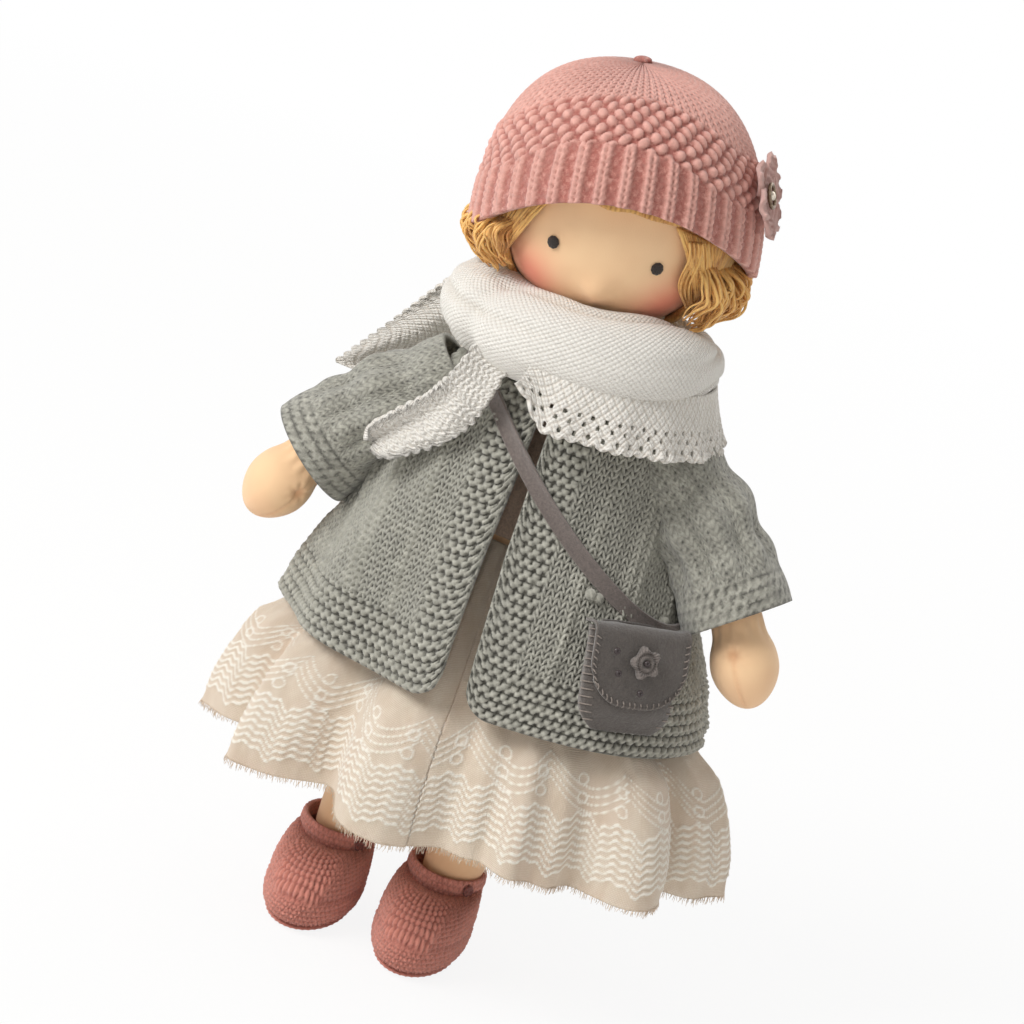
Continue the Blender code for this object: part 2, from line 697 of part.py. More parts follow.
def oval(half_x, half_y, count, bluntness=1):
    """Points of an oval outline; a low bluntness makes it squarer."""
    points = []
    for number in range(count):
        angle = 2 * math.pi * number / count
        c, s = math.cos(angle), math.sin(angle)
        points.append((
            half_x * math.copysign(abs(c) ** bluntness, c),
            half_y * math.copysign(abs(s) ** bluntness, s),
        ))
    return points


def make_shoe(name, side, frame):
    """One crocheted shoe: upper, flat sole, strap over the instep and its button."""
    pivot = leg_line(side)[0]
    shift = Matrix.Translation(-pivot)
    middle = Vector((side * HIP_X + FOOT_SHIFT, -FOOT_FORWARD, SOLE_THICKNESS / 2))
    half = (FOOT_WIDTH / 2 + SHOE_WALL, FOOT_LENGTH / 2 + SHOE_WALL)
    outline = oval(half[0] * SOLE_SHARE, half[1] * SOLE_SHARE, OVAL_POINTS, SOLE_BLUNTNESS_SHARE)
    place = shift @ Matrix.Translation(middle)
    flat_piece(f"shoe_{name}_sole", outline, SOLE_THICKNESS, "shoe_yarn", place, frame)

    wall = SEAT_GAP + SHOE_WALL
    upper = ball_mesh(f"shoe_{name}_upper", foot_rule(side, wall), BODY_AROUND_COUNT, BODY_ALONG)
    upper.transform(shift)
    upper = add_piece(f"shoe_{name}_upper", upper, "shoe_yarn", frame)
    inside = ball_mesh(f"shoe_{name}_inside", foot_rule(side, SEAT_GAP), BODY_AROUND_COUNT, BODY_ALONG)
    inside = add_cutter(f"shoe_{name}_inside", inside)
    leg = ball_mesh(f"shoe_{name}_leg", leg_rule(side, SEAT_GAP), LIMB_AROUND_COUNT, LIMB_ALONG)
    leg = add_cutter(f"shoe_{name}_leg", leg)
    reach = FOOT_LENGTH
    low = middle + Vector((-reach, -reach, -reach))
    below = box_mesh("below", low, middle + Vector((reach, reach, SOLE_THICKNESS / 2 + SEAT_GAP)))
    below = add_cutter(f"shoe_{name}_below", below)
    for cutter in (inside, leg, below):
        join(upper, cutter)

    across = LEG_RADIUS + SHOE_WALL / 2
    centre = Vector((side * HIP_X + FOOT_SHIFT, 0, SHOE_TOP_Z - STRAP_WIDTH / 2))
    thick = 2 * SHOE_WALL
    counts = (RING_AROUND_COUNT, RING_SIDE_COUNT)
    strap = ring_mesh(f"shoe_{name}_strap", centre, (across, across), STRAP_WIDTH, thick, *counts)
    strap.transform(shift)
    strap = add_piece(f"shoe_{name}_strap", strap, "shoe_yarn", frame)
    room = ball_mesh(f"shoe_{name}_room", foot_rule(side, wall + SEAT_GAP), BODY_AROUND_COUNT, BODY_ALONG)
    room = add_cutter(f"shoe_{name}_room", room)
    join(strap, room)
    join(strap, leg)
    turn = Matrix.Rotation(math.pi / 2, 4, "Y")
    aim = Matrix.Rotation(BUTTON_ANGLE, 4, "Z")
    out = Vector((across + SHOE_WALL + BUTTON_THICKNESS / 2 + SEAT_GAP, 0, 0))
    place = shift @ Matrix.Translation(centre) @ aim @ Matrix.Translation(out) @ turn
    circle = oval(BUTTON_RADIUS, BUTTON_RADIUS, BUTTON_POINTS)
    button = flat_piece(f"shoe_{name}_button", circle, BUTTON_THICKNESS, "bronze", place, frame)
    join(button, room)


make_torso()
make_neck()
make_head()
make_arms()
for leg_name, leg_side in both_sides():
    make_shoe(leg_name, leg_side, make_leg(leg_name, leg_side))


def side_lean(height):
    """How far the loose clothes hang over to the doll's left at a height."""
    return SIDE_SHIFT * max(0, WAIST_Z - height) / (WAIST_Z - SKIRT_HEM_Z)


def coat_point(angle, share, spread=0):
    """A point of the cardigan's middle surface, share 0 at the hem and 1 at the neck."""
    wide, deep = along_rows(COAT_SHARES, share)
    height = COAT_HEM_Z + (COAT_NECK_Z - COAT_HEM_Z) * share
    half_wide = (COAT_NECK_WIDTH + (COAT_HEM_WIDTH - COAT_NECK_WIDTH) * wide) / 2 + spread
    half_deep = (COAT_NECK_DEPTH + (COAT_HEM_DEPTH - COAT_NECK_DEPTH) * deep) / 2 + spread
    lean = side_lean(height)
    return Vector((lean + half_wide * math.cos(angle), half_deep * math.sin(angle), height))


def filled_tube(name, place, across, along):
    """A closed solid inside a tube of points, for cutting."""
    mesh = sheet_mesh(name, place, across, along, closed=True)
    shape = bmesh.new()
    shape.from_mesh(mesh)
    bmesh.ops.holes_fill(shape, edges=[edge for edge in shape.edges if edge.is_boundary])
    return add_cutter(name, finish_mesh(name, shape))


def coat_panel(name, start, end, across):
    """A panel of the cardigan between two angles."""
    def place(u, v):
        return coat_point(start + (end - start) * u, v)
    panel = add_piece(name, sheet_mesh(name, place, across, COAT_ROW_COUNT), "grey_knit")
    thicken(panel, KNIT)
    return panel


def make_dress():
    """The dress: a bodice over the torso, and a gathered skirt in two halves."""
    bodice = ball_mesh("dress_bodice", torso_rule(LAYER_GAP + DRESS_CLOTH), BODY_AROUND_COUNT, BODY_ALONG)
    bodice = add_piece("dress_bodice", bodice, "linen")
    inside = ball_mesh("bodice_inside", torso_rule(LAYER_GAP), BODY_AROUND_COUNT, BODY_ALONG)
    inside = add_cutter("bodice_inside", inside)
    reach = TORSO_WIDTH
    below = box_mesh("bodice_below", (-reach, -reach, 0), (reach, reach, WAIST_Z))
    below = add_cutter("bodice_below", below)
    reach = NECK_RADIUS + LAYER_GAP
    neck_hole = rod_mesh("bodice_neck", NECK_PIVOT, (0, 0, HEAD_CENTRE_Z), reach, FINE_AROUND_COUNT)
    neck_hole = add_cutter("bodice_neck", neck_hole)
    for cutter in [inside, below, neck_hole, NECK_SOCKET] + ARM_WAYS:
        join(bodice, cutter)

    waist = along_rows(TORSO_SHARES, (WAIST_Z - TORSO_BASE_Z) / (SHOULDER_Z - TORSO_BASE_Z))
    waist_wide = TORSO_WIDTH / 2 * waist[0] + LAYER_GAP + DRESS_CLOTH
    waist_deep = TORSO_DEPTH / 2 * waist[1] + LAYER_GAP + DRESS_CLOTH
    for name, side in both_sides():
        edge = SEAT_GAP / SKIRT_HEM_DEPTH

        def place(u, v, side=side, edge=edge):
            angle = side * (edge - math.pi / 2 + (math.pi - 2 * edge) * u)
            if side < 0:
                angle = angle + math.pi
            wide, deep = along_rows(SKIRT_SHARES, v)
            height = SKIRT_HEM_Z + (WAIST_Z - DRESS_CLOTH - SKIRT_HEM_Z) * v
            fold = SKIRT_FOLD * (1 - v) * math.cos(SKIRT_FOLDS * angle)
            half_wide = waist_wide + (SKIRT_HEM_WIDTH / 2 - waist_wide) * wide + fold
            half_deep = waist_deep + (SKIRT_HEM_DEPTH / 2 - waist_deep) * deep + fold
            lean = side_lean(height)
            return Vector((lean + half_wide * math.cos(angle), half_deep * math.sin(angle), height))

        mesh = sheet_mesh(f"skirt_{name}", place, SKIRT_COLUMN_COUNT, SKIRT_ROW_COUNT)
        thicken(add_piece(f"skirt_{name}", mesh, "linen"), DRESS_CLOTH)


def make_cardigan():
    """The cardigan: back, two fronts that leave the opening between them, and two sleeves."""
    seam = COAT_SEAM / COAT_HEM_WIDTH
    gap = COAT_OPENING / COAT_HEM_DEPTH
    quarter = math.pi / 2
    panels = [
        coat_panel("cardigan_back", seam, 2 * quarter - seam, COAT_COLUMN_COUNT),
        coat_panel("cardigan_front_left", gap - quarter, -seam, COAT_COLUMN_COUNT // 2),
        coat_panel("cardigan_front_right", 2 * quarter + seam, 3 * quarter - gap, COAT_COLUMN_COUNT // 2),
    ]
    for panel in panels:
        for way in ARM_WAYS:
            join(panel, way)
    for name, side in both_sides():
        pivot, way = arm_line(side)
        ahead = way.normalized()
        across = ahead.cross(Vector((0, 1, 0))).normalized()
        front = across.cross(ahead)

        def place(u, v, side=side, pivot=pivot, way=way, across=across, front=front):
            angle = 2 * math.pi * u
            reach = SLEEVE_RADIUS * along_rows(SLEEVE_SHARES, v)[0]
            along = SLEEVE_START_SHARE + (CUFF_END_SHARE - SLEEVE_START_SHARE) * v
            middle = pivot + way * along + arm_bow(side, along)
            return middle + across * reach * math.cos(angle) + front * reach * math.sin(angle)

        mesh = sheet_mesh(f"sleeve_{name}", place, SLEEVE_COLUMN_COUNT, SLEEVE_ROW_COUNT, closed=True)
        frame = bpy.data.objects[f"arm_{name}_frame"]
        mesh.transform(Matrix.Translation(-pivot))
        sleeve = thicken(add_piece(f"sleeve_{name}", mesh, "grey_knit", frame), KNIT)
        join(sleeve, COAT_VOLUME if side < 0 else STRAP_VOLUME)


def coat_volume(name, spread):
    """All that lies inside the cardigan, grown by spread."""
    def place(u, v):
        return coat_point(2 * math.pi * u, v, spread)
    return filled_tube(name, place, 2 * COAT_COLUMN_COUNT, COAT_ROW_COUNT)


COAT_VOLUME = coat_volume("coat_volume", KNIT / 2 + LAYER_GAP)
STRAP_VOLUME = coat_volume("strap_volume", KNIT / 2 + 2 * LAYER_GAP + STRAP_CLOTH)


def scarf_ring(angle, spread=0):
    """Middle of the scarf's roll at an angle, as half widths."""
    half_wide = (SCARF_WIDTH - SCARF_THICK) / 2 + spread
    half_deep = (SCARF_DEPTH - SCARF_THICK) / 2 + spread
    return Vector((half_wide * math.cos(angle), half_deep * math.sin(angle), 0))


def scarf_place(shares):
    """A place given as shares of the scarf's half width, its half depth and its fall."""
    across, deep, down = shares
    return Vector((SCARF_WIDTH / 2 * across, SCARF_DEPTH / 2 * deep, SCARF_TOP_Z - SCARF_FALL * down))


def scallop(share, length):
    """How far a lace edge of a given length stands out at a share of it."""
    count = max(1, round(length / SCALLOP_PITCH))
    return SCALLOP * abs(math.sin(math.pi * count * share))


def make_scarf():
    """The scarf: a thick roll round the neck, a lace drape, a wing behind and a tail in front."""
    middle = SCARF_TOP_Z - SCARF_TALL / 2
    across = ((SCARF_WIDTH - SCARF_THICK) / 2, (SCARF_DEPTH - SCARF_THICK) / 2)
    counts = (SCARF_AROUND_COUNT, RING_SIDE_COUNT)
    roll = ring_mesh("scarf_wrap", (0, 0, middle), across, SCARF_TALL, SCARF_THICK, *counts)
    roll = add_piece("scarf_wrap", roll, "white_knit")
    join(roll, COAT_VOLUME)
    room = 2 * SEAT_GAP
    tall, thick = SCARF_TALL + room, SCARF_THICK + room
    grown = ring_mesh("wrap_clear", (0, 0, middle), across, tall, thick, *counts)
    grown = add_cutter("wrap_clear", grown)

    def drape(u, v):
        angle = DRAPE_START + (DRAPE_END - DRAPE_START) * u
        out = SCARF_THICK / 2 * DRAPE_SEAT_SHARE + DRAPE_FLARE * (1 - v)
        edge = scallop(u, (DRAPE_END - DRAPE_START) * SCARF_WIDTH / 2) * (1 - v)
        rise = middle - SCARF_TALL / 2 * DRAPE_DROP_SHARE - DRAPE_WIDTH * (1 - v) - edge
        return scarf_ring(angle, out) + Vector((0, 0, rise))

    sheet = sheet_mesh("scarf_drape", drape, DRAPE_COLUMN_COUNT, DRAPE_ROW_COUNT)
    join(thicken(add_piece("scarf_drape", sheet, "white_knit"), SCARF_KNIT), grown)

    inner_top, outer_top, outer_low, inner_low = (scarf_place(shares) for shares in WING_SHARES)
    bow = Vector((0, WING_BOW, 0))

    def wing(u, v):
        top = inner_top.lerp(outer_top, u)
        low = inner_low.lerp(outer_low, u)
        out = (outer_low - inner_low).normalized() * scallop(v, (outer_top - outer_low).length) * u
        return low.lerp(top, v) + bow * math.sin(math.pi * u) * math.sin(math.pi * v) + out

    sheet = sheet_mesh("scarf_wing", wing, WING_COLUMN_COUNT, WING_ROW_COUNT)
    join(thicken(add_piece("scarf_wing", sheet, "white_knit"), SCARF_KNIT), grown)

    def tail_line(share):
        rows = [(number, *scarf_place(shares)) for number, shares in enumerate(TAIL_SHARES)]
        return Vector(along_rows(rows, share * (len(TAIL_SHARES) - 1)))

    def tail(u, v):
        step = CENTRAL_STEP_SHARE
        ahead = (tail_line(min(1, v + step)) - tail_line(max(0, v - step))).normalized()
        aside = ahead.cross(Vector((0, -1, 0))).normalized()
        half = TAIL_WIDTH / 2 + scallop(v, (tail_line(1) - tail_line(0)).length)
        return tail_line(v) + aside * half * (2 * u - 1)

    sheet = sheet_mesh("scarf_tail", tail, 2, TAIL_ROW_COUNT)
    join(thicken(add_piece("scarf_tail", sheet, "white_knit"), SCARF_KNIT), grown)
    return grown


def hair_cap(spread):
    """The wig's outer surface in the head's frame."""
    return ball_mesh("hair_cap", head_rule(spread), FINE_AROUND_COUNT, FINE_ALONG)


def make_hair(scarf_room, hat_room):
    """The wig cap, a bunch of curls on each side and the lock beside the left cheek."""
    outer = SEAT_GAP + WIG_THICKNESS
    wig = add_piece("wig", hair_cap(outer), "hair", HEAD_FRAME)
    join(wig, add_cutter("wig_inside", hair_cap(SEAT_GAP), HEAD_FRAME))
    reach = HEAD_WIDTH
    face = box_mesh("wig_face", (-reach, -reach, -reach), (reach, 0, HAIRLINE_RISE))
    join(wig, add_cutter("wig_face", face, HEAD_FRAME))
    nape = box_mesh("wig_nape", (-reach, -reach, -reach), (reach, reach, -WIG_EDGE_DROP))
    join(wig, add_cutter("wig_nape", nape, HEAD_FRAME))
    clear = add_cutter("wig_clear", hair_cap(outer + SEAT_GAP), HEAD_FRAME)
    for name, side in both_sides():
        out = HEAD_WIDTH / 2 + BUNCH_WIDTH * BUNCH_OUT_SHARE
        centre = (side * out, BUNCH_DEPTH * BUNCH_BACK_SHARE, -BUNCH_DROP)
        half = (BUNCH_WIDTH / 2, BUNCH_DEPTH / 2, BUNCH_TALL_SHARE * BUNCH_WIDTH / 2)
        mesh = ball_mesh(f"hair_bunch_{name}", egg(centre, half), SMALL_AROUND_COUNT, LIMB_ALONG)
        bunch = add_piece(f"hair_bunch_{name}", mesh, "hair", HEAD_FRAME)
        for cutter in (clear, scarf_room, hat_room):
            join(bunch, cutter)

    spread = LOCK_RADIUS * LOCK_SEAT_SHARE

    def line(share):
        across = LOCK_START + (LOCK_END - LOCK_START) * share
        return face_seat(across, LOCK_RISE - LOCK_LENGTH * share, spread)

    strand = limb(line, LOCK_RADIUS, ((0, 1), (1, LOCK_END_SHARE)))
    lock = ball_mesh("hair_lock", strand, BEAD_AROUND_COUNT, LIMB_ALONG)
    around_head = add_cutter("lock_clear", hair_cap(SEAT_GAP), HEAD_FRAME)
    join(add_piece("hair_lock", lock, "hair", HEAD_FRAME), around_head)


def hat_point(angle, share, spread=0):
    """The hat's middle surface, share 0 at the edge and 1 at the crown."""
    front = (1 - math.sin(angle)) / 2
    edge = -HAT_BACK_DROP + (HAT_FRONT_RISE + HAT_BACK_DROP) * front**HAT_BOW_SHARE
    rise = math.sin(math.pi / 2 * share) ** HAT_ROUND_SHARE
    reach = math.cos(math.pi / 2 * share) ** HAT_ROUND_SHARE if share < 1 else 0
    return Vector((
        (HAT_WIDTH / 2 - HAT_KNIT / 2 + spread) * reach * math.cos(angle),
        (HAT_DEPTH / 2 - HAT_KNIT / 2 + spread) * reach * math.sin(angle),
        edge + (HAT_TOP_RISE - HAT_KNIT / 2 + spread - edge) * rise,
    ))


HAT_FRAME = empty("hat_frame", (0, 0, 0), Matrix.Rotation(HAT_LEAN, 4, "Y"), HEAD_FRAME)


def petals(radius, count):
    """Outline of a flower with round petals."""
    outline = []
    for number in range(count * POINTS_PER_PETAL):
        angle = 2 * math.pi * number / (count * POINTS_PER_PETAL)
        reach = radius * (1 - PETAL_DEPTH_SHARE * (1 + math.cos(count * angle)) / 2)
        outline.append((reach * math.cos(angle), reach * math.sin(angle)))
    return outline


def make_hat():
    """The knitted hat, its crocheted flower and the flower's ring."""
    def place(u, v):
        return hat_point(2 * math.pi * u, v)
    mesh = sheet_mesh("hat", place, HAT_COLUMN_COUNT, HAT_ROW_COUNT, closed=True)
    thicken(add_piece("hat", mesh, "rose_knit", HAT_FRAME), HAT_KNIT)
    seat = hat_point(FLOWER_TURN, FLOWER_HEIGHT_SHARE)
    near = hat_point(FLOWER_TURN, FLOWER_HEIGHT_SHARE + CENTRAL_STEP_SHARE)
    beside = hat_point(FLOWER_TURN + CENTRAL_STEP_SHARE, FLOWER_HEIGHT_SHARE)
    out = (beside - seat).cross(near - seat).normalized()
    aim = out.to_track_quat("Z", "Y").to_matrix().to_4x4()
    rise = HAT_KNIT / 2 + FLOWER_THICKNESS / 2 + LAYER_GAP
    base = Matrix.Translation(seat + out * rise) @ aim
    outline = petals(FLOWER_RADIUS, HAT_PETALS)
    flat_piece("hat_flower", outline, FLOWER_THICKNESS, "petal", base, HAT_FRAME)
    rise += FLOWER_THICKNESS / 2 + RING_RADIUS * RING_TALL_SHARE / 2 + SEAT_GAP
    base = Matrix.Translation(seat + out * rise) @ aim
    outline = oval(RING_RADIUS, RING_RADIUS, RING_POINTS)
    flat_piece("hat_flower_ring", outline, RING_RADIUS * RING_TALL_SHARE, "bronze", base, HAT_FRAME)

    def room(u, v):
        below = Vector((0, 0, 2 * LAYER_GAP if v < CENTRAL_STEP_SHARE else 0))
        return hat_point(2 * math.pi * u, v, HAT_KNIT / 2 + LAYER_GAP) - below
    cutter = filled_tube("hat_room", room, HAT_COLUMN_COUNT, HAT_ROW_COUNT)
    cutter.parent = HAT_FRAME
    return cutter


make_dress()
make_cardigan()
make_hair(make_scarf(), make_hat())


def coat_share(height):
    """Share of the cardigan's height at a height."""
    return (height - COAT_HEM_Z) / (COAT_NECK_Z - COAT_HEM_Z)


def outward(angle, share):
    """The cardigan's outward direction at an angle and share."""
    step = CENTRAL_STEP_SHARE
    around = coat_point(angle + step, share) - coat_point(angle - step, share)
    rising = coat_point(angle, min(1, share + step)) - coat_point(angle, max(0, share - step))
    return around.cross(rising).normalized()


def strap_place(angle):
    """Middle of the bag's strap where it crosses an angle of the cardigan, and the way out there."""
    hip = BAG_TOP_Z + STRAP_BAND / 2 + SEAT_GAP
    lowest = Vector((math.cos(STRAP_LOW_TURN), math.sin(STRAP_LOW_TURN), 0))
    hip_out = coat_point(BAG_TURN, coat_share(hip)).dot(lowest)
    slope = (STRAP_CHEST_Z - hip) / hip_out
    top = COAT_NECK_Z - STRAP_BAND * STRAP_TOP_SHARE
    height = hip
    for _ in range(STRAP_STEP_COUNT):
        plane = hip + slope * (hip_out - coat_point(angle, coat_share(height)).dot(lowest))
        height = (height + top - STRAP_BAND * math.log1p(math.exp((top - plane) / STRAP_BAND))) / 2
        height = min(max(height, COAT_HEM_Z), top)
    spread = KNIT / 2 + LAYER_GAP + STRAP_CLOTH / 2
    share = coat_share(height)
    return coat_point(angle, share, spread), outward(angle, share)


def make_strap():
    """The bag's strap: one band over the right shoulder and down to the left hip."""
    def place(u, v):
        angle = BAG_TURN + 2 * math.pi * u
        here, out = strap_place(angle)
        step = CENTRAL_STEP_SHARE
        along = strap_place(angle + step)[0] - strap_place(angle - step)[0]
        aside = out.cross(along).normalized()
        return here + aside * STRAP_BAND * (v - 0.5)
    mesh = sheet_mesh("bag_strap", place, STRAP_COLUMN_COUNT, 1, closed=True)
    return thicken(add_piece("bag_strap", mesh, "felt"), STRAP_CLOTH)


def bag_frame():
    """Frame at the bag's top back edge: X along the edge, Y out from the body, Z up the bag."""
    seat = coat_point(BAG_TURN, coat_share(BAG_TOP_Z), KNIT / 2 + LAYER_GAP + BAG_SWING_ROOM)
    low = coat_point(BAG_TURN, coat_share(BAG_TOP_Z - BAG_HEIGHT), KNIT / 2 + LAYER_GAP + BAG_SWING_ROOM)
    out = outward(BAG_TURN, coat_share(BAG_TOP_Z))
    heading = math.atan2(out.y, out.x)
    level = Vector((math.cos(heading), math.sin(heading), 0))
    tilt = math.atan2((low - seat).dot(level), seat.z - low.z)
    turn = Matrix.Rotation(heading - math.pi / 2, 4, "Z") @ Matrix.Rotation(tilt, 4, "X")
    return empty("bag_frame", seat, turn)


def rounded(piece, width):
    """Round a piece's edges."""
    bevel = piece.modifiers.new("rounding", "BEVEL")
    bevel.width = width
    bevel.segments = 2
    bevel.limit_method = "ANGLE"
    return piece


def make_bag():
    """The felt bag: open pouch, hinged flap, rosette and beads."""
    frame = bag_frame()
    half = BAG_WIDTH / 2
    pouch = box_mesh("bag_pouch", (-half, 0, -BAG_HEIGHT), (half, BAG_DEPTH, -FELT - SEAT_GAP))
    pouch = rounded(add_piece("bag_pouch", pouch, "felt", frame), BAG_CORNER)
    reach = half - 2 * BAG_CORNER
    tab = box_mesh("bag_tab", (-reach, 0, -2 * BAG_CORNER), (reach, FELT, 0))
    join(pouch, add_cutter("bag_tab", tab, frame), "UNION")
    hollow = box_mesh(
        "bag_hollow", (-half + FELT, FELT, -BAG_HEIGHT + FELT), (half - FELT, BAG_DEPTH - FELT, CUT_OVERRUN),
    )
    join(pouch, add_cutter("bag_hollow", hollow, frame))

    hinge = Vector((0, FLAP_HINGE_IN, -FELT / 2))
    flap_frame = empty("flap_frame", hinge, None, frame)
    drop = BAG_DEPTH + SEAT_GAP + FELT / 2 - FLAP_HINGE_IN
    outline = ((0, 0, 0), (0, drop, 0), (0, drop, -FLAP_LENGTH))

    def place(u, v):
        side = half * (2 * u - 1)
        if v < 0.5:
            point = Vector(outline[0]).lerp(Vector(outline[1]), 2 * v)
        else:
            round_in = 1 - FLAP_ROUND_SHARE * abs(2 * u - 1) ** 3
            point = Vector(outline[1]).lerp(Vector(outline[2]), (2 * v - 1) * round_in)
        return point + Vector((side, 0, 0))

    flap = sheet_mesh("bag_flap", place, FLAP_COLUMN_COUNT, FLAP_ROW_COUNT)
    flap = add_piece("bag_flap", flap, "felt", flap_frame)
    thicken(flap, FELT)
    face = drop + FELT / 2 + SEAT_GAP
    lay = Matrix.Rotation(math.pi / 2, 4, "X")
    middle = Vector((0, face + ROSETTE_THICKNESS / 2, -FLAP_LENGTH * ROSETTE_DROP_SHARE))
    outline = petals(ROSETTE_RADIUS, ROSETTE_PETALS)
    place = Matrix.Translation(middle) @ lay
    flat_piece("bag_rosette", outline, ROSETTE_THICKNESS, "rosette", place, flap_frame)
    for number, (aside, drop_share) in enumerate(BEAD_SHARES, 1):
        centre = (half * aside, face + BEAD_RADIUS * BEAD_SUNK_SHARE, -FLAP_LENGTH * drop_share)
        bead = ball_mesh(f"bag_bead_{number}", egg(centre, (BEAD_RADIUS,) * 3), BEAD_AROUND_COUNT, BEAD_ALONG)
        bead = add_piece(f"bag_bead_{number}", bead, "bead", flap_frame)
        reach = 2 * BEAD_RADIUS
        behind = Vector((centre[0], face, centre[2]))
        low = behind - Vector((reach, reach, reach))
        back = box_mesh("bead_back", low, behind + Vector((reach, 0, reach)))
        join(bead, add_cutter(f"bead_back_{number}", back, flap_frame))


make_strap()
make_bag()
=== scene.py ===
"""The look of a dressed rag doll: skin, hair, knitted, sewn and felted pieces round its fixed frame."""
import json
import math

import bpy
import numpy as np
from mathutils import Matrix, Vector

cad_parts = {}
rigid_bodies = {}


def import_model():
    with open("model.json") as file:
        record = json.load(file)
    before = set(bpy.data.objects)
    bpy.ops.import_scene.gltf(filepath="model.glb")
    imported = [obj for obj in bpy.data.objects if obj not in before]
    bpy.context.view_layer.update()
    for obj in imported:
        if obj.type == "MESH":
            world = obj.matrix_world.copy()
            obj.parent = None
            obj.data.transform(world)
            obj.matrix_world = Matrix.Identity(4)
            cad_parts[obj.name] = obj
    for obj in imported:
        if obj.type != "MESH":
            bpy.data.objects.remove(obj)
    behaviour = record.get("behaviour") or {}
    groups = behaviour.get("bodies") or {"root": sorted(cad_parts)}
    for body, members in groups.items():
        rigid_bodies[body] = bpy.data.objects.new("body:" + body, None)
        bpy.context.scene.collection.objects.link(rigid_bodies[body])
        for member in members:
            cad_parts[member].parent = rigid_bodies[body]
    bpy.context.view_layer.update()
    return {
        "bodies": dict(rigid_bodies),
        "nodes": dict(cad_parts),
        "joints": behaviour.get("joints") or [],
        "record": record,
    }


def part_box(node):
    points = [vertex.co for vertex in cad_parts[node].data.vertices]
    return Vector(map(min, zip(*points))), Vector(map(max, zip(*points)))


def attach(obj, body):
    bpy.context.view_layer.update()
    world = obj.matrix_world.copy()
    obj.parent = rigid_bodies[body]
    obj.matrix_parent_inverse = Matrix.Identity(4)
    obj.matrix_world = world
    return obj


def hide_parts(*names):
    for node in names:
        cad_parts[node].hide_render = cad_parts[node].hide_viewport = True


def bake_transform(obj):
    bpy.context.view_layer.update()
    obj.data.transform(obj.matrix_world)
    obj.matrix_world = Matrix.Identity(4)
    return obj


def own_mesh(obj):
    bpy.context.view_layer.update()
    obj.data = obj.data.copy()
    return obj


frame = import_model()

bl_info = {
    "name": "Rag doll dresser",
    "version": (1, 0, 0),
    "blender": (4, 5, 0),
    "location": "View3D > Sidebar > Doll",
    "description": "Builds the visible pieces of a dressed rag doll round its fixed frame",
    "category": "Add Mesh",
}

MM = 0.001
FULL_TURN = 2 * math.pi
QUARTER = math.pi / 2


def linear(red, green, blue):
    """A colour given in the 0 to 255 of a paint chart, as the linear values that shaders use."""
    chart = np.array((red, green, blue)) / 255
    return tuple(np.where(chart <= 0.04045, chart / 12.92, ((chart + 0.055) / 1.055) ** 2.4).tolist())


def length(name, description, default):
    """A size that a user may change, in metres."""
    return bpy.props.FloatProperty(
        name=name, description=description, default=default, min=0, unit="LENGTH", precision=4,
    )


def place(name, description, default):
    """A height or shift, which may be negative, in metres."""
    return bpy.props.FloatProperty(
        name=name, description=description, default=default, unit="LENGTH", precision=4,
    )


def colour(name, description, default):
    """A colour that a user may change."""
    return bpy.props.FloatVectorProperty(
        name=name, description=description, default=linear(*default), size=3, subtype="COLOR", min=0, max=1,
    )


def angle(name, description, degrees):
    """A turn that a user may change."""
    return bpy.props.FloatProperty(
        name=name, description=description, default=math.radians(degrees), subtype="ANGLE",
    )


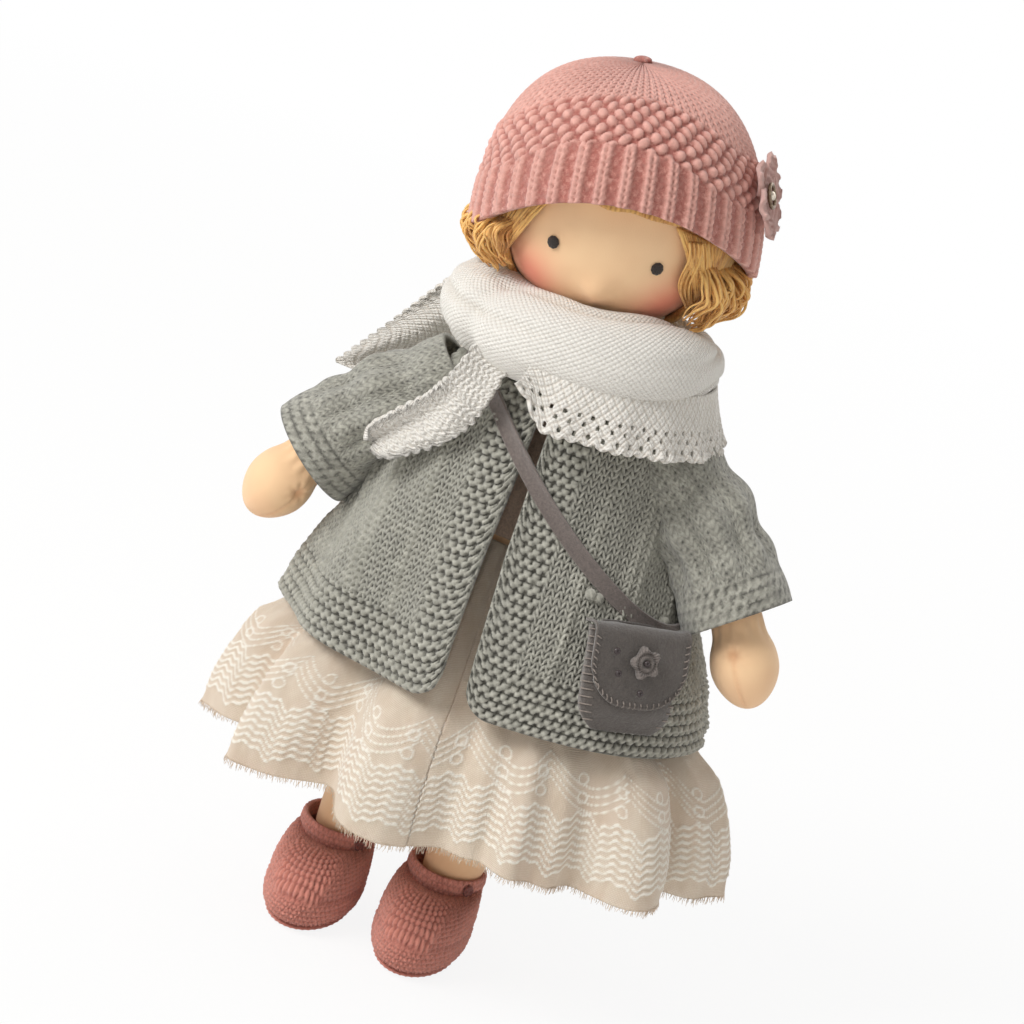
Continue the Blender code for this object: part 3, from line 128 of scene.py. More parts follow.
class DollBody(bpy.types.PropertyGroup):
    """Sizes of the stuffed body."""
    torso_width: length("Torso width", "Width of the torso", 0.070)
    torso_depth: length("Torso depth", "Depth of the torso", 0.052)
    torso_base: length("Torso base", "Height of the torso's lower end", 0.104)
    shoulder: length("Shoulder top", "Height of the torso's upper end", 0.199)
    head_width: length("Head width", "Width of the head", 0.074)
    head_depth: length("Head depth", "Depth of the head", 0.072)
    head_height: length("Head height", "Height of the head", 0.076)
    head_centre: length("Head centre", "Height of the head's middle", 0.2590)
    head_shift: place("Head shift", "How far the head sits to the doll's right", -0.0045)
    head_turn: angle("Head turn", "How far the head is turned to the left", 11)
    head_lean: angle("Head lean", "How far the head leans over", -3.5)
    eye_spacing: length("Eye spacing", "Distance between the eyes", 0.0325)
    eye_radius: length("Eye radius", "Radius of an embroidered eye", 0.0020)
    eye_rise: place("Eye rise", "Height of the eyes from the head's middle", -0.0110)
    nose_drop: length("Nose drop", "How far the nose is below the head's middle", 0.0220)
    arm_radius: length("Arm radius", "Radius of the stuffed arm", 0.0095)
    arm_pivot_x: length("Shoulder", "Distance of the shoulder from the middle", 0.035)
    arm_pivot_z: length("Shoulder height", "Height of the shoulder", 0.187)
    arm_reach: length("Arm reach", "How far the hand reaches out", 0.053)
    arm_forward: length("Arm forward", "How far the hand reaches to the front", 0.013)
    arm_drop: length("Arm drop", "How far the hand hangs below the shoulder", 0.062)
    arm_bow: length("Arm bow", "How far the arm bends outwards", 0.0065)
    leg_radius: length("Leg radius", "Radius of the stuffed leg", 0.0112)
    hip_x: length("Hip", "Distance of the hip from the middle", 0.020)
    hip_z: length("Hip height", "Height of the hip", 0.106)
    ankle_z: length("Ankle height", "Height of the ankle", 0.0155)
    foot_shift: place("Foot shift", "How far the feet stand to the doll's right of the hips", 0.010)
    foot_forward: length("Foot forward", "How far the foot's middle is in front of the ankle", 0.010)
    shoe_grow: length("Shoe room", "How much wider the shoe is than the foot", 0.0035)
    strap_base: length("Strap base", "Height of the ankle strap's lower edge", 0.0236)
    strap_tall: length("Strap tall", "Height of the ankle strap", 0.0060)
    foot_width: length("Foot width", "Width of the foot", 0.025)
    foot_length: length("Foot length", "Length of the foot", 0.047)
    foot_height: length("Foot height", "Height of the foot", 0.019)
    skin: colour("Skin", "Colour of the cotton skin", (250, 211, 166))
    skin_shade: colour("Skin shade", "Colour of the skin in its creases", (220, 156, 112))
    blush: colour("Blush", "Colour of the cheeks", (238, 136, 110))
    eye: colour("Eye", "Colour of the eyes' thread", (34, 24, 18))


class DollYarn(bpy.types.PropertyGroup):
    """Gauge and colours of the knitting."""
    stitch: length("Stitch", "Width of one knitted stitch", 0.0028)
    row: length("Row", "Height of one knitted row", 0.0023)
    relief: length("Relief", "How far a stitch stands out", 0.0010)
    hat_stitch: length("Hat stitch", "Width of one stitch of the hat", 0.0027)
    hat_row: length("Hat row", "Height of one row of the hat", 0.0021)
    scarf_stitch: length("Scarf stitch", "Width of one stitch of the scarf", 0.0019)
    scarf_row: length("Scarf row", "Height of one row of the scarf", 0.0014)
    grey: colour("Grey yarn", "Lit colour of the cardigan", (172, 170, 158))
    grey_shade: colour("Grey yarn, deep", "Colour between the cardigan's stitches", (62, 60, 54))
    rose: colour("Rose yarn", "Lit colour of the hat", (232, 172, 158))
    rose_shade: colour("Rose yarn, deep", "Colour between the hat's stitches", (170, 94, 82))
    petal: colour("Petal yarn", "Colour of the flower", (222, 178, 168))
    white: colour("White yarn", "Lit colour of the scarf", (255, 251, 243))
    white_shade: colour("White yarn, deep", "Colour between the scarf's stitches", (226, 214, 198))
    shoe: colour("Shoe yarn", "Lit colour of the shoes", (232, 150, 132))
    shoe_shade: colour("Shoe yarn, deep", "Colour between the shoes' stitches", (160, 82, 70))


class DollCloth(bpy.types.PropertyGroup):
    """Sizes and colours of the sewn clothes, hair and bag."""
    hem_width: length("Hem width", "Width of the skirt at its hem", 0.170)
    hem_depth: length("Hem depth", "Depth of the skirt at its hem", 0.112)
    hem_height: length("Hem height", "Height of the skirt's hem", 0.0565)
    waist_height: length("Waist height", "Height of the waist seam", 0.152)
    fold: length("Fold", "Depth of the skirt's folds", 0.0045)
    linen: colour("Linen", "Colour of the skirt", (242, 231, 214))
    linen_shade: colour("Linen, deep", "Colour of the skirt between its threads", (206, 182, 156))
    linen_warm: colour("Linen, warm", "Colour of the skirt's faded patches", (214, 180, 156))
    thread: colour("Embroidery", "Colour of the embroidery", (252, 246, 234))
    # The bodice colour is the linen darkened as painted shade, for the dress front where it lies in shade
    # under the cardigan.
    bodice: colour("Bodice", "Colour of the dress front", (206, 180, 160))
    side_shift: length("Side shift", "How far the skirt hangs over to the left", 0.005)
    coat_hem: length("Coat hem", "Height of the cardigan's hem", 0.102)
    coat_neck: length("Coat neck", "Height of the cardigan's neck", 0.2045)
    coat_width: length("Coat width", "Width of the cardigan's hem", 0.148)
    coat_depth: length("Coat depth", "Depth of the cardigan's hem", 0.102)
    coat_neck_width: length("Coat neck width", "Width of the cardigan's neck", 0.050)
    coat_neck_depth: length("Coat neck depth", "Depth of the cardigan's neck", 0.040)
    coat_opening: length("Coat opening", "Half the gap between the fronts", 0.006)
    coat_seam: length("Coat seam", "Gap at the cardigan's side seams", 0.001)
    sleeve_radius: length("Sleeve radius", "Radius of the sleeves", 0.0165)
    bag_width: length("Bag width", "Width of the bag", 0.033)
    bag_height: length("Bag height", "Height of the bag's pouch", 0.034)
    bag_depth: length("Bag depth", "Depth of the bag's pouch", 0.0092)
    felt_thick: length("Felt", "Thickness of the bag's felt", 0.0013)
    flap_length: length("Flap length", "How far the flap hangs down in front", 0.024)
    flap_hinge_in: length("Flap fold", "How far in front of the back the flap folds", 0.0024)
    rosette_radius: length("Rosette radius", "Radius of the bag's rosette", 0.0054)
    rosette_thick: length("Rosette thickness", "Thickness of the bag's rosette", 0.0026)
    bead_radius: length("Bead radius", "Radius of a sewn bead", 0.0011)
    strap_band: length("Strap width", "Width of the bag's strap", 0.0052)
    strap_chest: length("Strap chest", "Height where the strap crosses the chest", 0.194)
    scarf_width: length("Scarf width", "Width of the scarf's roll", 0.098)
    scarf_depth: length("Scarf depth", "Depth of the scarf's roll", 0.090)
    scarf_thick: length("Scarf thickness", "Thickness of the scarf's roll", 0.030)
    scarf_tall: length("Scarf tall", "Height of the scarf's roll", 0.0255)
    scarf_top: length("Scarf top", "Height of the scarf's upper edge", 0.2290)
    scarf_fall: length("Scarf fall", "How far the scarf's ends may fall", 0.100)
    drape_width: length("Drape width", "Width of the lace drape", 0.014)
    drape_flare: length("Drape flare", "How far the lace drape stands out", 0.008)
    tail_width: length("Tail width", "Width of the scarf's front end", 0.013)
    hat_width: length("Hat width", "Width of the hat's middle surface", 0.0894)
    hat_depth: length("Hat depth", "Depth of the hat's middle surface", 0.0884)
    hat_top_rise: place("Hat top", "Height of the hat's top from the head's middle", 0.0449)
    hat_back_drop: place("Hat back", "Drop of the hat's edge behind", 0.0205)
    hat_front_rise: place("Hat front", "Rise of the hat's edge in front", 0.0065)
    hat_lean: angle("Hat lean", "How far the hat leans over", -5.0)
    flower_turn: angle("Flower turn", "Where the flower sits round the hat", -18)
    flower_share: bpy.props.FloatProperty(name="Flower height", description="Share up the hat", default=0.21)
    flower_radius: length("Flower radius", "Radius of the crocheted flower", 0.0125)
    hair: colour("Hair", "Lit colour of the hair", (242, 190, 112))
    hair_shade: colour("Hair, deep", "Colour between the strands", (170, 104, 50))
    felt: colour("Felt", "Colour of the bag", (92, 84, 78))
    strap: colour("Strap", "Colour of the bag's strap", (124, 112, 106))
    rosette: colour("Rosette", "Colour of the bag's rosette", (128, 118, 112))
    bead: colour("Bead", "Colour of the beads", (70, 62, 62))
    bronze: colour("Bronze", "Colour of the flower's ring and the shoes' buttons", (104, 88, 70))


class DollStage(bpy.types.PropertyGroup):
    """Camera, floor and light."""
    azimuth: angle("Azimuth", "Where the camera stands round the doll", 11)
    elevation: angle("Elevation", "How far above the level the camera stands", 17)
    roll: angle("Roll", "How far the picture is turned", 18)
    lens: bpy.props.FloatProperty(name="Lens", description="Focal length", default=85, unit="CAMERA")
    field: length("Field", "Width of the picture at the doll", 0.332)
    aim_x: place("Aim X", "Where the camera aims, across", -0.0067)
    aim_z: place("Aim Z", "Where the camera aims, up", 0.153)
    key_power: bpy.props.FloatProperty(name="Key", description="Power of the large lamp", default=20.5,
                                       min=0)
    fill_power: bpy.props.FloatProperty(name="Fill", description="Power of the far lamp", default=0.6, min=0)
    back_power: bpy.props.FloatProperty(name="Back", description="Power of the lamp behind", default=7.0,
                                        min=0)
    world_light: bpy.props.FloatProperty(name="World", description="Light from all round", default=0.48,
                                         min=0)
    floor: colour("Floor", "Colour of the floor", (250, 249, 247))
    paper_share: bpy.props.FloatProperty(name="Paper", description="How white the floor shows", default=0.88,
                                         min=0, max=1)
    floor_reach: bpy.props.FloatProperty(name="Floor reach", description="Half the floor's width",
                                         default=60,
                                         unit="LENGTH", min=0)


def settings(context):
    """The doll's settings of the open scene."""
    scene = context.scene
    return scene.doll_body, scene.doll_yarn, scene.doll_cloth, scene.doll_stage


def table_at(rows, share):
    """Columns of a table at each share, on a smooth curve through its rows."""
    rows = np.array(rows, float)
    share = np.clip(np.asarray(share, float), rows[0, 0], rows[-1, 0])
    spot = np.clip(np.searchsorted(rows[:, 0], share, side="right") - 1, 0, len(rows) - 2)
    earlier, later = rows[np.maximum(spot - 1, 0)], rows[np.minimum(spot + 2, len(rows) - 1)]
    before, after = rows[spot], rows[spot + 1]
    span = (after[..., 0] - before[..., 0])[..., None]
    t = (share - before[..., 0])[..., None] / span
    slope_in = (after - earlier) / (after[..., :1] - earlier[..., :1]) * span
    slope_out = (later - before) / (later[..., :1] - before[..., :1]) * span
    curve = (
        (2 * t**3 - 3 * t**2 + 1) * before + (t**3 - 2 * t**2 + t) * slope_in
        + (3 * t**2 - 2 * t**3) * after + (t**3 - t**2) * slope_out
    )
    return np.moveaxis(curve[..., 1:], -1, 0)


def smooth(value, low, high):
    """0 below low, 1 above high and a soft step between."""
    t = np.clip((np.asarray(value, float) - low) / (high - low), 0, 1)
    return t * t * (3 - 2 * t)


def unit(vectors):
    """Vectors at length 1."""
    return vectors / np.maximum(np.linalg.norm(vectors, axis=-1, keepdims=True), 1e-12)


def stack(x, y, z):
    """Points from three arrays of coordinates."""
    return np.stack(np.broadcast_arrays(x, y, z), axis=-1).astype(float)


def uneven(points, size, seed=0, octaves=2):
    """A soft random value from -1 to 1 at each point, the same each run."""
    total = np.zeros(points.shape[:-1])
    source = np.random.default_rng(seed)
    for octave in range(octaves):
        for _ in range(5):
            way = source.normal(size=3)
            phase = source.uniform(0, FULL_TURN)
            reach = points @ (way / np.linalg.norm(way)) * (2.2 / size) * 2**octave
            total += np.sin(reach * source.uniform(0.7, 1.5) + phase) / 2**octave / 5
    return total * 1.6


def normals_of(points, closed):
    """Outward normals of a grid of points; rows run along, columns across."""
    if closed:
        across = np.roll(points, -1, axis=1) - np.roll(points, 1, axis=1)
    else:
        across = np.gradient(points, axis=1)
    along = np.gradient(points, axis=0)
    return unit(np.cross(across, along))


def new_object(name, verts, faces, values=None, uv=None, period=None):
    """A mesh object from arrays; faces may be a list of arrays, values are numbers kept at its points."""
    groups = [faces] if isinstance(faces, np.ndarray) else list(faces)
    loops = np.concatenate([group.ravel() for group in groups])
    sizes = np.concatenate([np.full(len(group), group.shape[1]) for group in groups])
    mesh = bpy.data.meshes.new(name)
    mesh.vertices.add(len(verts))
    mesh.vertices.foreach_set("co", np.ascontiguousarray(verts, np.float32).ravel())
    mesh.loops.add(len(loops))
    mesh.loops.foreach_set("vertex_index", np.ascontiguousarray(loops, np.int32))
    mesh.polygons.add(len(sizes))
    starts = np.concatenate(((0,), np.cumsum(sizes)[:-1]))
    mesh.polygons.foreach_set("loop_start", np.ascontiguousarray(starts, np.int32))
    mesh.update(calc_edges=True)
    for key, value in (values or {}).items():
        kept = mesh.attributes.new(key, "FLOAT", "POINT")
        kept.data.foreach_set("value", np.ascontiguousarray(value, np.float32).ravel())
    spots = mesh.attributes.new("spot", "FLOAT_VECTOR", "POINT")
    spots.data.foreach_set("vector", np.ascontiguousarray(verts / MM, np.float32).ravel())
    if uv is not None:
        layer = mesh.uv_layers.new(name="stitches")
        corners = uv[loops].astype(float)
        if period:
            highest = np.repeat(np.maximum.reduceat(corners[:, 0], starts), sizes)
            corners[:, 0] += period * (highest - corners[:, 0] > period / 2)
        layer.data.foreach_set("uv", np.ascontiguousarray(corners, np.float32).ravel())
    mesh.shade_smooth()
    mesh.validate()
    made = bpy.data.objects.new(name, mesh)
    bpy.context.scene.collection.objects.link(made)
    return made


def grid_faces(rows, columns, closed, start=0, flip=False):
    """Quads of a grid of points."""
    row, column = np.meshgrid(np.arange(rows - 1), np.arange(columns - (not closed)), indexing="ij")
    near, far = column.ravel(), (column.ravel() + 1) % columns
    base = row.ravel() * columns + start
    quads = np.stack((base + near, base + far, base + columns + far, base + columns + near), axis=1)
    return quads[:, ::-1] if flip else quads


def rim_faces(rows, columns, step, closed, start):
    """Faces that join the face of a sheet to its coarser back, which starts at vertex start."""
    back_rows = (rows - 1) // step + 1
    back_columns = columns // step if closed else (columns - 1) // step + 1
    reach = np.arange(step + 1)

    def band(front, back, flip):
        front = front[:, ::-1] if flip else front
        back = back if flip else back[:, ::-1]
        return np.concatenate((front, back), axis=1)

    across = np.arange(back_columns if closed else back_columns - 1)[:, None]
    low = (across * step + reach) % columns
    behind = (across + np.arange(2)) % back_columns
    faces = [
        band(low, start + behind, True),
        band(low + (rows - 1) * columns, start + behind + (back_rows - 1) * back_columns, False),
    ]
    if not closed:
        up = np.arange(back_rows - 1)[:, None]
        side = (up * step + reach) * columns
        behind = (up + np.arange(2)) * back_columns
        faces.append(band(side, start + behind, False))
        faces.append(band(side + columns - 1, start + behind + back_columns - 1, True))
    return faces


def sheet(name, points, relief=None, thick=0.0, closed=False, depth=None, uv=None, step=1, **more):
    """A sheet of cloth over a grid of points: its face stands out by relief, its back lies thick behind."""
    rows, columns = points.shape[:2]
    rows -= (rows - 1) % step
    columns -= columns % step if closed else (columns - 1) % step
    out = normals_of(points, closed)
    relief = np.zeros(points.shape[:2]) if relief is None else relief
    depth = np.ones(points.shape[:2]) if depth is None else depth
    if uv is None:
        uv = np.stack(np.meshgrid(np.arange(points.shape[1]), np.arange(points.shape[0])), axis=-1) / 10.0
    kept = [(points + out * relief[..., None]), (points - out * thick), uv, depth, *more.values()]
    kept = [value[:rows, :columns] for value in kept]
    face, back, uv, values = kept[0], kept[1][::step, ::step], kept[2], dict(zip(("depth", *more), kept[3:]))
    total = rows * columns
    faces = [
        grid_faces(rows, columns, closed),
        grid_faces(back.shape[0], back.shape[1], closed, total, flip=True),
        *rim_faces(rows, columns, step, closed, total),
    ]
    verts = np.concatenate((face.reshape(-1, 3), back.reshape(-1, 3)))
    # The back's values are 0.8 of the face's, so its depth paints the back darker as painted shade.
    values = {
        key: np.concatenate((value.ravel(), value[::step, ::step].ravel() * 0.8)) for key,
        value in values.items()
    }
    period = (uv[0, 1, 0] - uv[0, 0, 0]) * columns if closed else None
    uv = np.concatenate((uv.reshape(-1, 2), uv[::step, ::step].reshape(-1, 2)))
    return new_object(name, verts, faces, values, uv, period)


def lace(name, points, holes, relief=None, thick=0.0, depth=None, uv=None):
    """An open sheet with holes, marked at its points, that go right through."""
    rows, columns = points.shape[:2]
    out = normals_of(points, False)
    relief = np.zeros((rows, columns)) if relief is None else relief
    depth = np.ones((rows, columns)) if depth is None else depth
    total = rows * columns
    quads = grid_faces(rows, columns, False)
    quads = quads[~holes.ravel()[quads].any(axis=1)]
    edges = np.concatenate([quads[:, [corner, (corner + 1) % 4]] for corner in range(4)])
    keys = np.sort(edges, axis=1)
    _, first, uses = np.unique(keys[:, 0] * total + keys[:, 1], return_index=True, return_counts=True)
    rim = edges[first[uses == 1]]
    rim = np.stack((rim[:, 1], rim[:, 0], rim[:, 0] + total, rim[:, 1] + total), axis=1)
    verts = np.concatenate(((points + out * relief[..., None]).reshape(-1, 3),
                            (points - out * thick).reshape(-1, 3)))
    faces = np.concatenate((quads, quads[:, ::-1] + total, rim))
    used = np.unique(faces)
    renumber = np.zeros(len(verts), np.int64)
    renumber[used] = np.arange(len(used))
    # The back's depth is 0.8 of the face's: painted shade on the back.
    depth = np.concatenate((depth.ravel(), depth.ravel() * 0.8))[used]
    uv = np.zeros((rows, columns, 2)) if uv is None else uv
    uv = np.concatenate((uv.reshape(-1, 2), uv.reshape(-1, 2)))[used]
    return new_object(name, verts[used], renumber[faces], {"depth": depth}, uv)


def flat_size(points, closed):
    """Width, length and area of the cloth that a grid of points was cut from."""
    loop = np.concatenate((points, points[:, :1]), axis=1) if closed else points
    across = np.linalg.norm(np.diff(loop, axis=1), axis=2)
    along = np.linalg.norm(np.diff(loop, axis=0), axis=2)
    area = float((((across[1:] + across[:-1]) / 2) * ((along[:, 1:] + along[:, :-1]) / 2)).sum())
    width, height = float(across.sum(axis=1).max()), float(along.sum(axis=0).max())
    return (width, height), min(max(area, 0.31 * width * height), width * height)


def ball(name, rule, around, along, values=None, uv_scale=1.0):
    """A closed ball whose rule gives points for height share, ring share and angle."""
    height = (1 - np.cos(np.linspace(0, math.pi, along + 1)[1:-1])) / 2
    turn = np.arange(around) * FULL_TURN / around
    h, a = np.meshgrid(height, turn, indexing="ij")
    ring = np.sqrt(np.maximum(0, 1 - (2 * h - 1) ** 2))
    body = rule(h, ring, a)
    poles = rule(np.array([0.0, 1.0]), np.array([0.0, 0.0]), np.array([0.0, 0.0]))
    verts = np.concatenate((body.reshape(-1, 3), poles))
    quads = grid_faces(len(height), around, True)
    low, high = len(verts) - 2, len(verts) - 1
    turns = np.arange(around)
    nexts = (turns + 1) % around
    top = (len(height) - 1) * around
    caps = np.concatenate((
        np.stack((nexts, turns, np.full(around, low), np.full(around, low)), axis=1),
        np.stack((top + turns, top + nexts, np.full(around, high), np.full(around, high)), axis=1),
    ))
    uv = np.concatenate((
        np.stack((a / FULL_TURN * uv_scale, h * uv_scale), axis=-1).reshape(-1, 2), ((0, 0), (0, uv_scale)),
    ))
    return ball_object(name, verts, quads, caps, values, uv)


def ball_object(name, verts, quads, caps, values, uv):
    """Joins the quads and the three-cornered caps of a ball into one mesh."""
    mesh = bpy.data.meshes.new(name)
    faces = [tuple(face) for face in quads.tolist()] + [tuple(face[:3]) for face in caps.tolist()]
    mesh.from_pydata(verts.tolist(), [], faces)
    spots = mesh.attributes.new("spot", "FLOAT_VECTOR", "POINT")
    spots.data.foreach_set("vector", np.ascontiguousarray(verts / MM, np.float32).ravel())
    for key, rule in (values or {}).items():
        kept = mesh.attributes.new(key, "FLOAT", "POINT")
        kept.data.foreach_set("value", np.ascontiguousarray(rule(verts), np.float32).ravel())
    layer = mesh.uv_layers.new(name="stitches")
    corners = np.zeros(len(mesh.loops), np.int32)
    mesh.loops.foreach_get("vertex_index", corners)
    layer.data.foreach_set("uv", np.ascontiguousarray(uv[corners], np.float32).ravel())
    mesh.shade_smooth()
    made = bpy.data.objects.new(name, mesh)
    bpy.context.scene.collection.objects.link(made)
    return made


def tubes(name, lines, radii, sides=6, values=None):
    """Round strands along lines of points; radii give the radius at each point of each line."""
    verts, walls, ends, kept, start = [], [], [], [], 0
    turn = np.arange(sides) * FULL_TURN / sides
    for number, (line, radius) in enumerate(zip(lines, radii)):
        line = np.asarray(line, float)
        ahead = unit(np.gradient(line, axis=0))
        side = unit(np.cross(ahead, (0.31, 0.2, 0.93)))
        up = np.cross(side, ahead)
        ring = side[:, None] * np.cos(turn)[None, :, None] + up[:, None] * np.sin(turn)[None, :, None]
        body = line[:, None] + ring * np.broadcast_to(radius, len(line))[:, None, None]
        verts.append(body.reshape(-1, 3))
        walls.append(grid_faces(len(line), sides, True, start, flip=True))
        loop = start + np.arange(sides)
        ends.append(np.stack((loop, loop[::-1] + (len(line) - 1) * sides)))
        kept.append(np.full(len(line) * sides, (values[number] if values is not None else 1.0)))
        start += len(line) * sides
    faces = [np.concatenate(walls), np.concatenate(ends)]
    return new_object(name, np.concatenate(verts), faces, {"depth": np.concatenate(kept)})


def finish_piece(made, body, material, nodes=()):
    """Give a piece its material, hide the solids that it stands for, and give it the body that it moves
    with.
    """
    made.data.materials.clear()
    made.data.materials.append(material)
    if nodes:
        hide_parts(*nodes)
    if body:
        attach(made, body)
    return made


def node(tree, kind, inputs=None, output=0, **choices):
    """Add a shader node with its choices and inputs, and give back one of its outputs."""
    made = tree.nodes.new(kind)
    for key, value in choices.items():
        setattr(made, key, value)
    for key, value in (inputs or {}).items():
        if isinstance(value, bpy.types.NodeSocket):
            tree.links.new(value, made.inputs[key])
        else:
            made.inputs[key].default_value = value
    return made.outputs[output]


def mixed(tree, share, first, second, way="MIX"):
    """A colour between two colours."""
    made = tree.nodes.new("ShaderNodeMix")
    made.data_type = "RGBA"
    made.blend_type = way
    for socket, value in zip((made.inputs[0], made.inputs[6], made.inputs[7]), (share, first, second)):
        if isinstance(value, bpy.types.NodeSocket):
            tree.links.new(value, socket)
        else:
            socket.default_value = value if isinstance(value, float) else (*value[:3], 1)
    return made.outputs[2]


def ranged(tree, value, low, high, to_low=0.0, to_high=1.0):
    """A value brought from one range to another, and kept inside it."""
    return node(tree, "ShaderNodeMapRange", {0: value, 1: low, 2: high, 3: to_low, 4: to_high})


def blank_material(name, roughness, sheen=0.0, metallic=0.0):
    """A material with its shader, whose even values are set on the shader's own sockets."""
    made = bpy.data.materials.new(name)
    made.use_nodes = True
    tree = made.node_tree
    shader = tree.nodes["Principled BSDF"]
    shader.inputs["Roughness"].default_value = roughness
    shader.inputs["Metallic"].default_value = metallic
    shader.inputs["Sheen Weight"].default_value = sheen
    shader.inputs["Sheen Roughness"].default_value = 0.6
    shader.inputs["Specular IOR Level"].default_value = 0.25
    spot = node(tree, "ShaderNodeAttribute", output=1, attribute_name="spot")
    return made, tree, shader, spot


def noise(tree, spot, scale, detail=3.0, roughness=0.6, stretch=None):
    """Soft random values; scale is in waves for each millimetre."""
    if stretch:
        spot = node(tree, "ShaderNodeMapping", {0: spot, 3: stretch})
    inputs = {"Vector": spot, "Scale": scale, "Detail": detail, "Roughness": roughness}
    return node(tree, "ShaderNodeTexNoise", inputs)


def bumped(tree, shader, height, distance, strength=1.0):
    """Fine relief on a shader, its distance in metres."""
    bump = node(tree, "ShaderNodeBump", {"Height": height, "Distance": distance, "Strength": strength})
    tree.links.new(bump, shader.inputs["Normal"])


def yarn_material(name, lit, deep, fleck=0.10, roughness=0.88, sheen=0.35, patch=0.10):
    """Knitted yarn: painted shade between the stitches, uneven dye, fibres and loose ends."""
    made, tree, shader, spot = blank_material(name, roughness, sheen)
    depth = node(tree, "ShaderNodeAttribute", output=2, attribute_name="depth")
    fibre = noise(tree, spot, 2.4, 4.0, 0.75)
    heather = noise(tree, spot, 0.55, 3.0, 0.6)
    wide = noise(tree, spot, 0.045, 2.0)
    # Painted shade: the depth value, jittered by fibre noise, puts the deep colour into the hollows between
    # the stitches and the lit colour on their crests.
    rise = node(tree, "ShaderNodeMath", {0: depth, 1: ranged(tree, fibre, 0.3, 0.7, -0.16, 0.16)},
                operation="ADD")
    body = mixed(tree, ranged(tree, rise, 0.02, 0.80), deep, lit)
    pale = tuple(min(1.0, value * 1.35 + 0.03) for value in lit)
    dark = tuple(value * 0.62 for value in lit)
    body = mixed(tree, ranged(tree, heather, 0.50, 0.72, 0.0, fleck * 4), body, pale)
    body = mixed(tree, ranged(tree, heather, 0.30, 0.50, fleck * 4, 0.0), body, dark)
    body = mixed(tree, ranged(tree, wide, 0.35, 0.65, 0.0, patch), body, dark)
    tree.links.new(body, shader.inputs["Base Color"])
    strand = noise(tree, spot, 3.2, 5.0, 0.8)
    bumped(tree, shader, strand, 0.45 * MM, 0.9)
    return made


LEG_LEAN_SHARE = 0.31
LEG_LONG_SHARE = 0.92
LEG_WIDE_SHARE = 0.190


def leg_height(across, along, wide, tall):
    """One leg of a knitted stitch: a slanting rounded strand; across is its distance from the middle."""
    best = np.zeros(np.broadcast(across, along).shape)
    lean = np.array((LEG_LEAN_SHARE * wide, tall))
    lean = lean / np.linalg.norm(lean)
    for shift in (-1, 0, 1):
        x = (across - 0.25) * wide
        y = (along - np.floor(along) - 0.5 + shift) * tall
        ahead = (x * lean[0] + y * lean[1]) / (LEG_LONG_SHARE * tall)
        aside = (x * lean[1] - y * lean[0]) / (LEG_WIDE_SHARE * wide)
        best = np.maximum(best, np.sqrt(np.maximum(0, 1 - ahead**2 - aside**2)))
    return best


def stocking(s, r, wide, tall):
    """Smooth knitting: columns of V shapes."""
    return leg_height(np.abs(s - np.floor(s) - 0.5), r, wide, tall)


def purl(s, r, pitch=2.0):
    """Rows of rounded bumps, each row half a stitch over; pitch is the rows from ridge to ridge."""
    best = np.zeros(np.broadcast(s, r).shape)
    ridge = np.floor(r / pitch)
    for shift in (-1, 0, 1):
        level = ridge + shift
        x = s + 0.5 * (level % 2)
        x = x - np.floor(x) - 0.5
        y = r / pitch - level - 0.5
        bump = 1 - (x / 0.46) ** 2 - ((y + 0.22 * np.cos(FULL_TURN * x)) / 0.50) ** 2
        best = np.maximum(best, np.sqrt(np.maximum(0, bump)))
    return best


def garter_ridges(s, r):
    """Garter stitch: r counts ridges; each is a zigzag of rounded bumps with a furrow on either side."""
    v = r - np.floor(r) - 0.5
    shifted = s + 0.37 * np.floor(r)
    best = np.zeros(np.broadcast(s, r).shape)
    for over, level in ((0.0, 0.17), (0.5, -0.17)):
        x = shifted + over
        x = x - np.floor(x) - 0.5
        bump = 1 - (x / 0.42) ** 2 - ((v - level + 0.10 * np.cos(FULL_TURN * x)) / 0.33) ** 2
        best = np.maximum(best, np.sqrt(np.maximum(0, bump)))
    return best


def moss(s, r, wide=1.0, tall=1.0):
    """Bumps set like a chessboard."""
    best = np.zeros(np.broadcast(s, r).shape)
    for shift in (-1, 0, 1):
        level = np.floor(r / tall) + shift
        x = s / wide / 2 + 0.5 * (level % 2)
        x = (x - np.floor(x) - 0.5) * 2
        y = r / tall - level - 0.5
        bump = 1 - (x / 0.62) ** 2 - (y / 0.72) ** 2
        best = np.maximum(best, np.sqrt(np.maximum(0, bump)))
    return best


def ribs(s, r, wide, tall, share=0.55):
    """One knit, one purl: raised columns with deep furrows between them."""
    pair = s / 2 - np.floor(s / 2)
    ridge = smooth(np.cos(FULL_TURN * (pair - 0.25)), -0.55, 0.55)
    knit = leg_height(np.abs(np.clip((pair - 0.25) * 2, -0.5, 0.5)), r, wide, tall)
    furrow = purl(s, r, 1.0) * 0.35
    return ridge * (share + (1 - share) * knit) + (1 - ridge) * furrow * 0.5


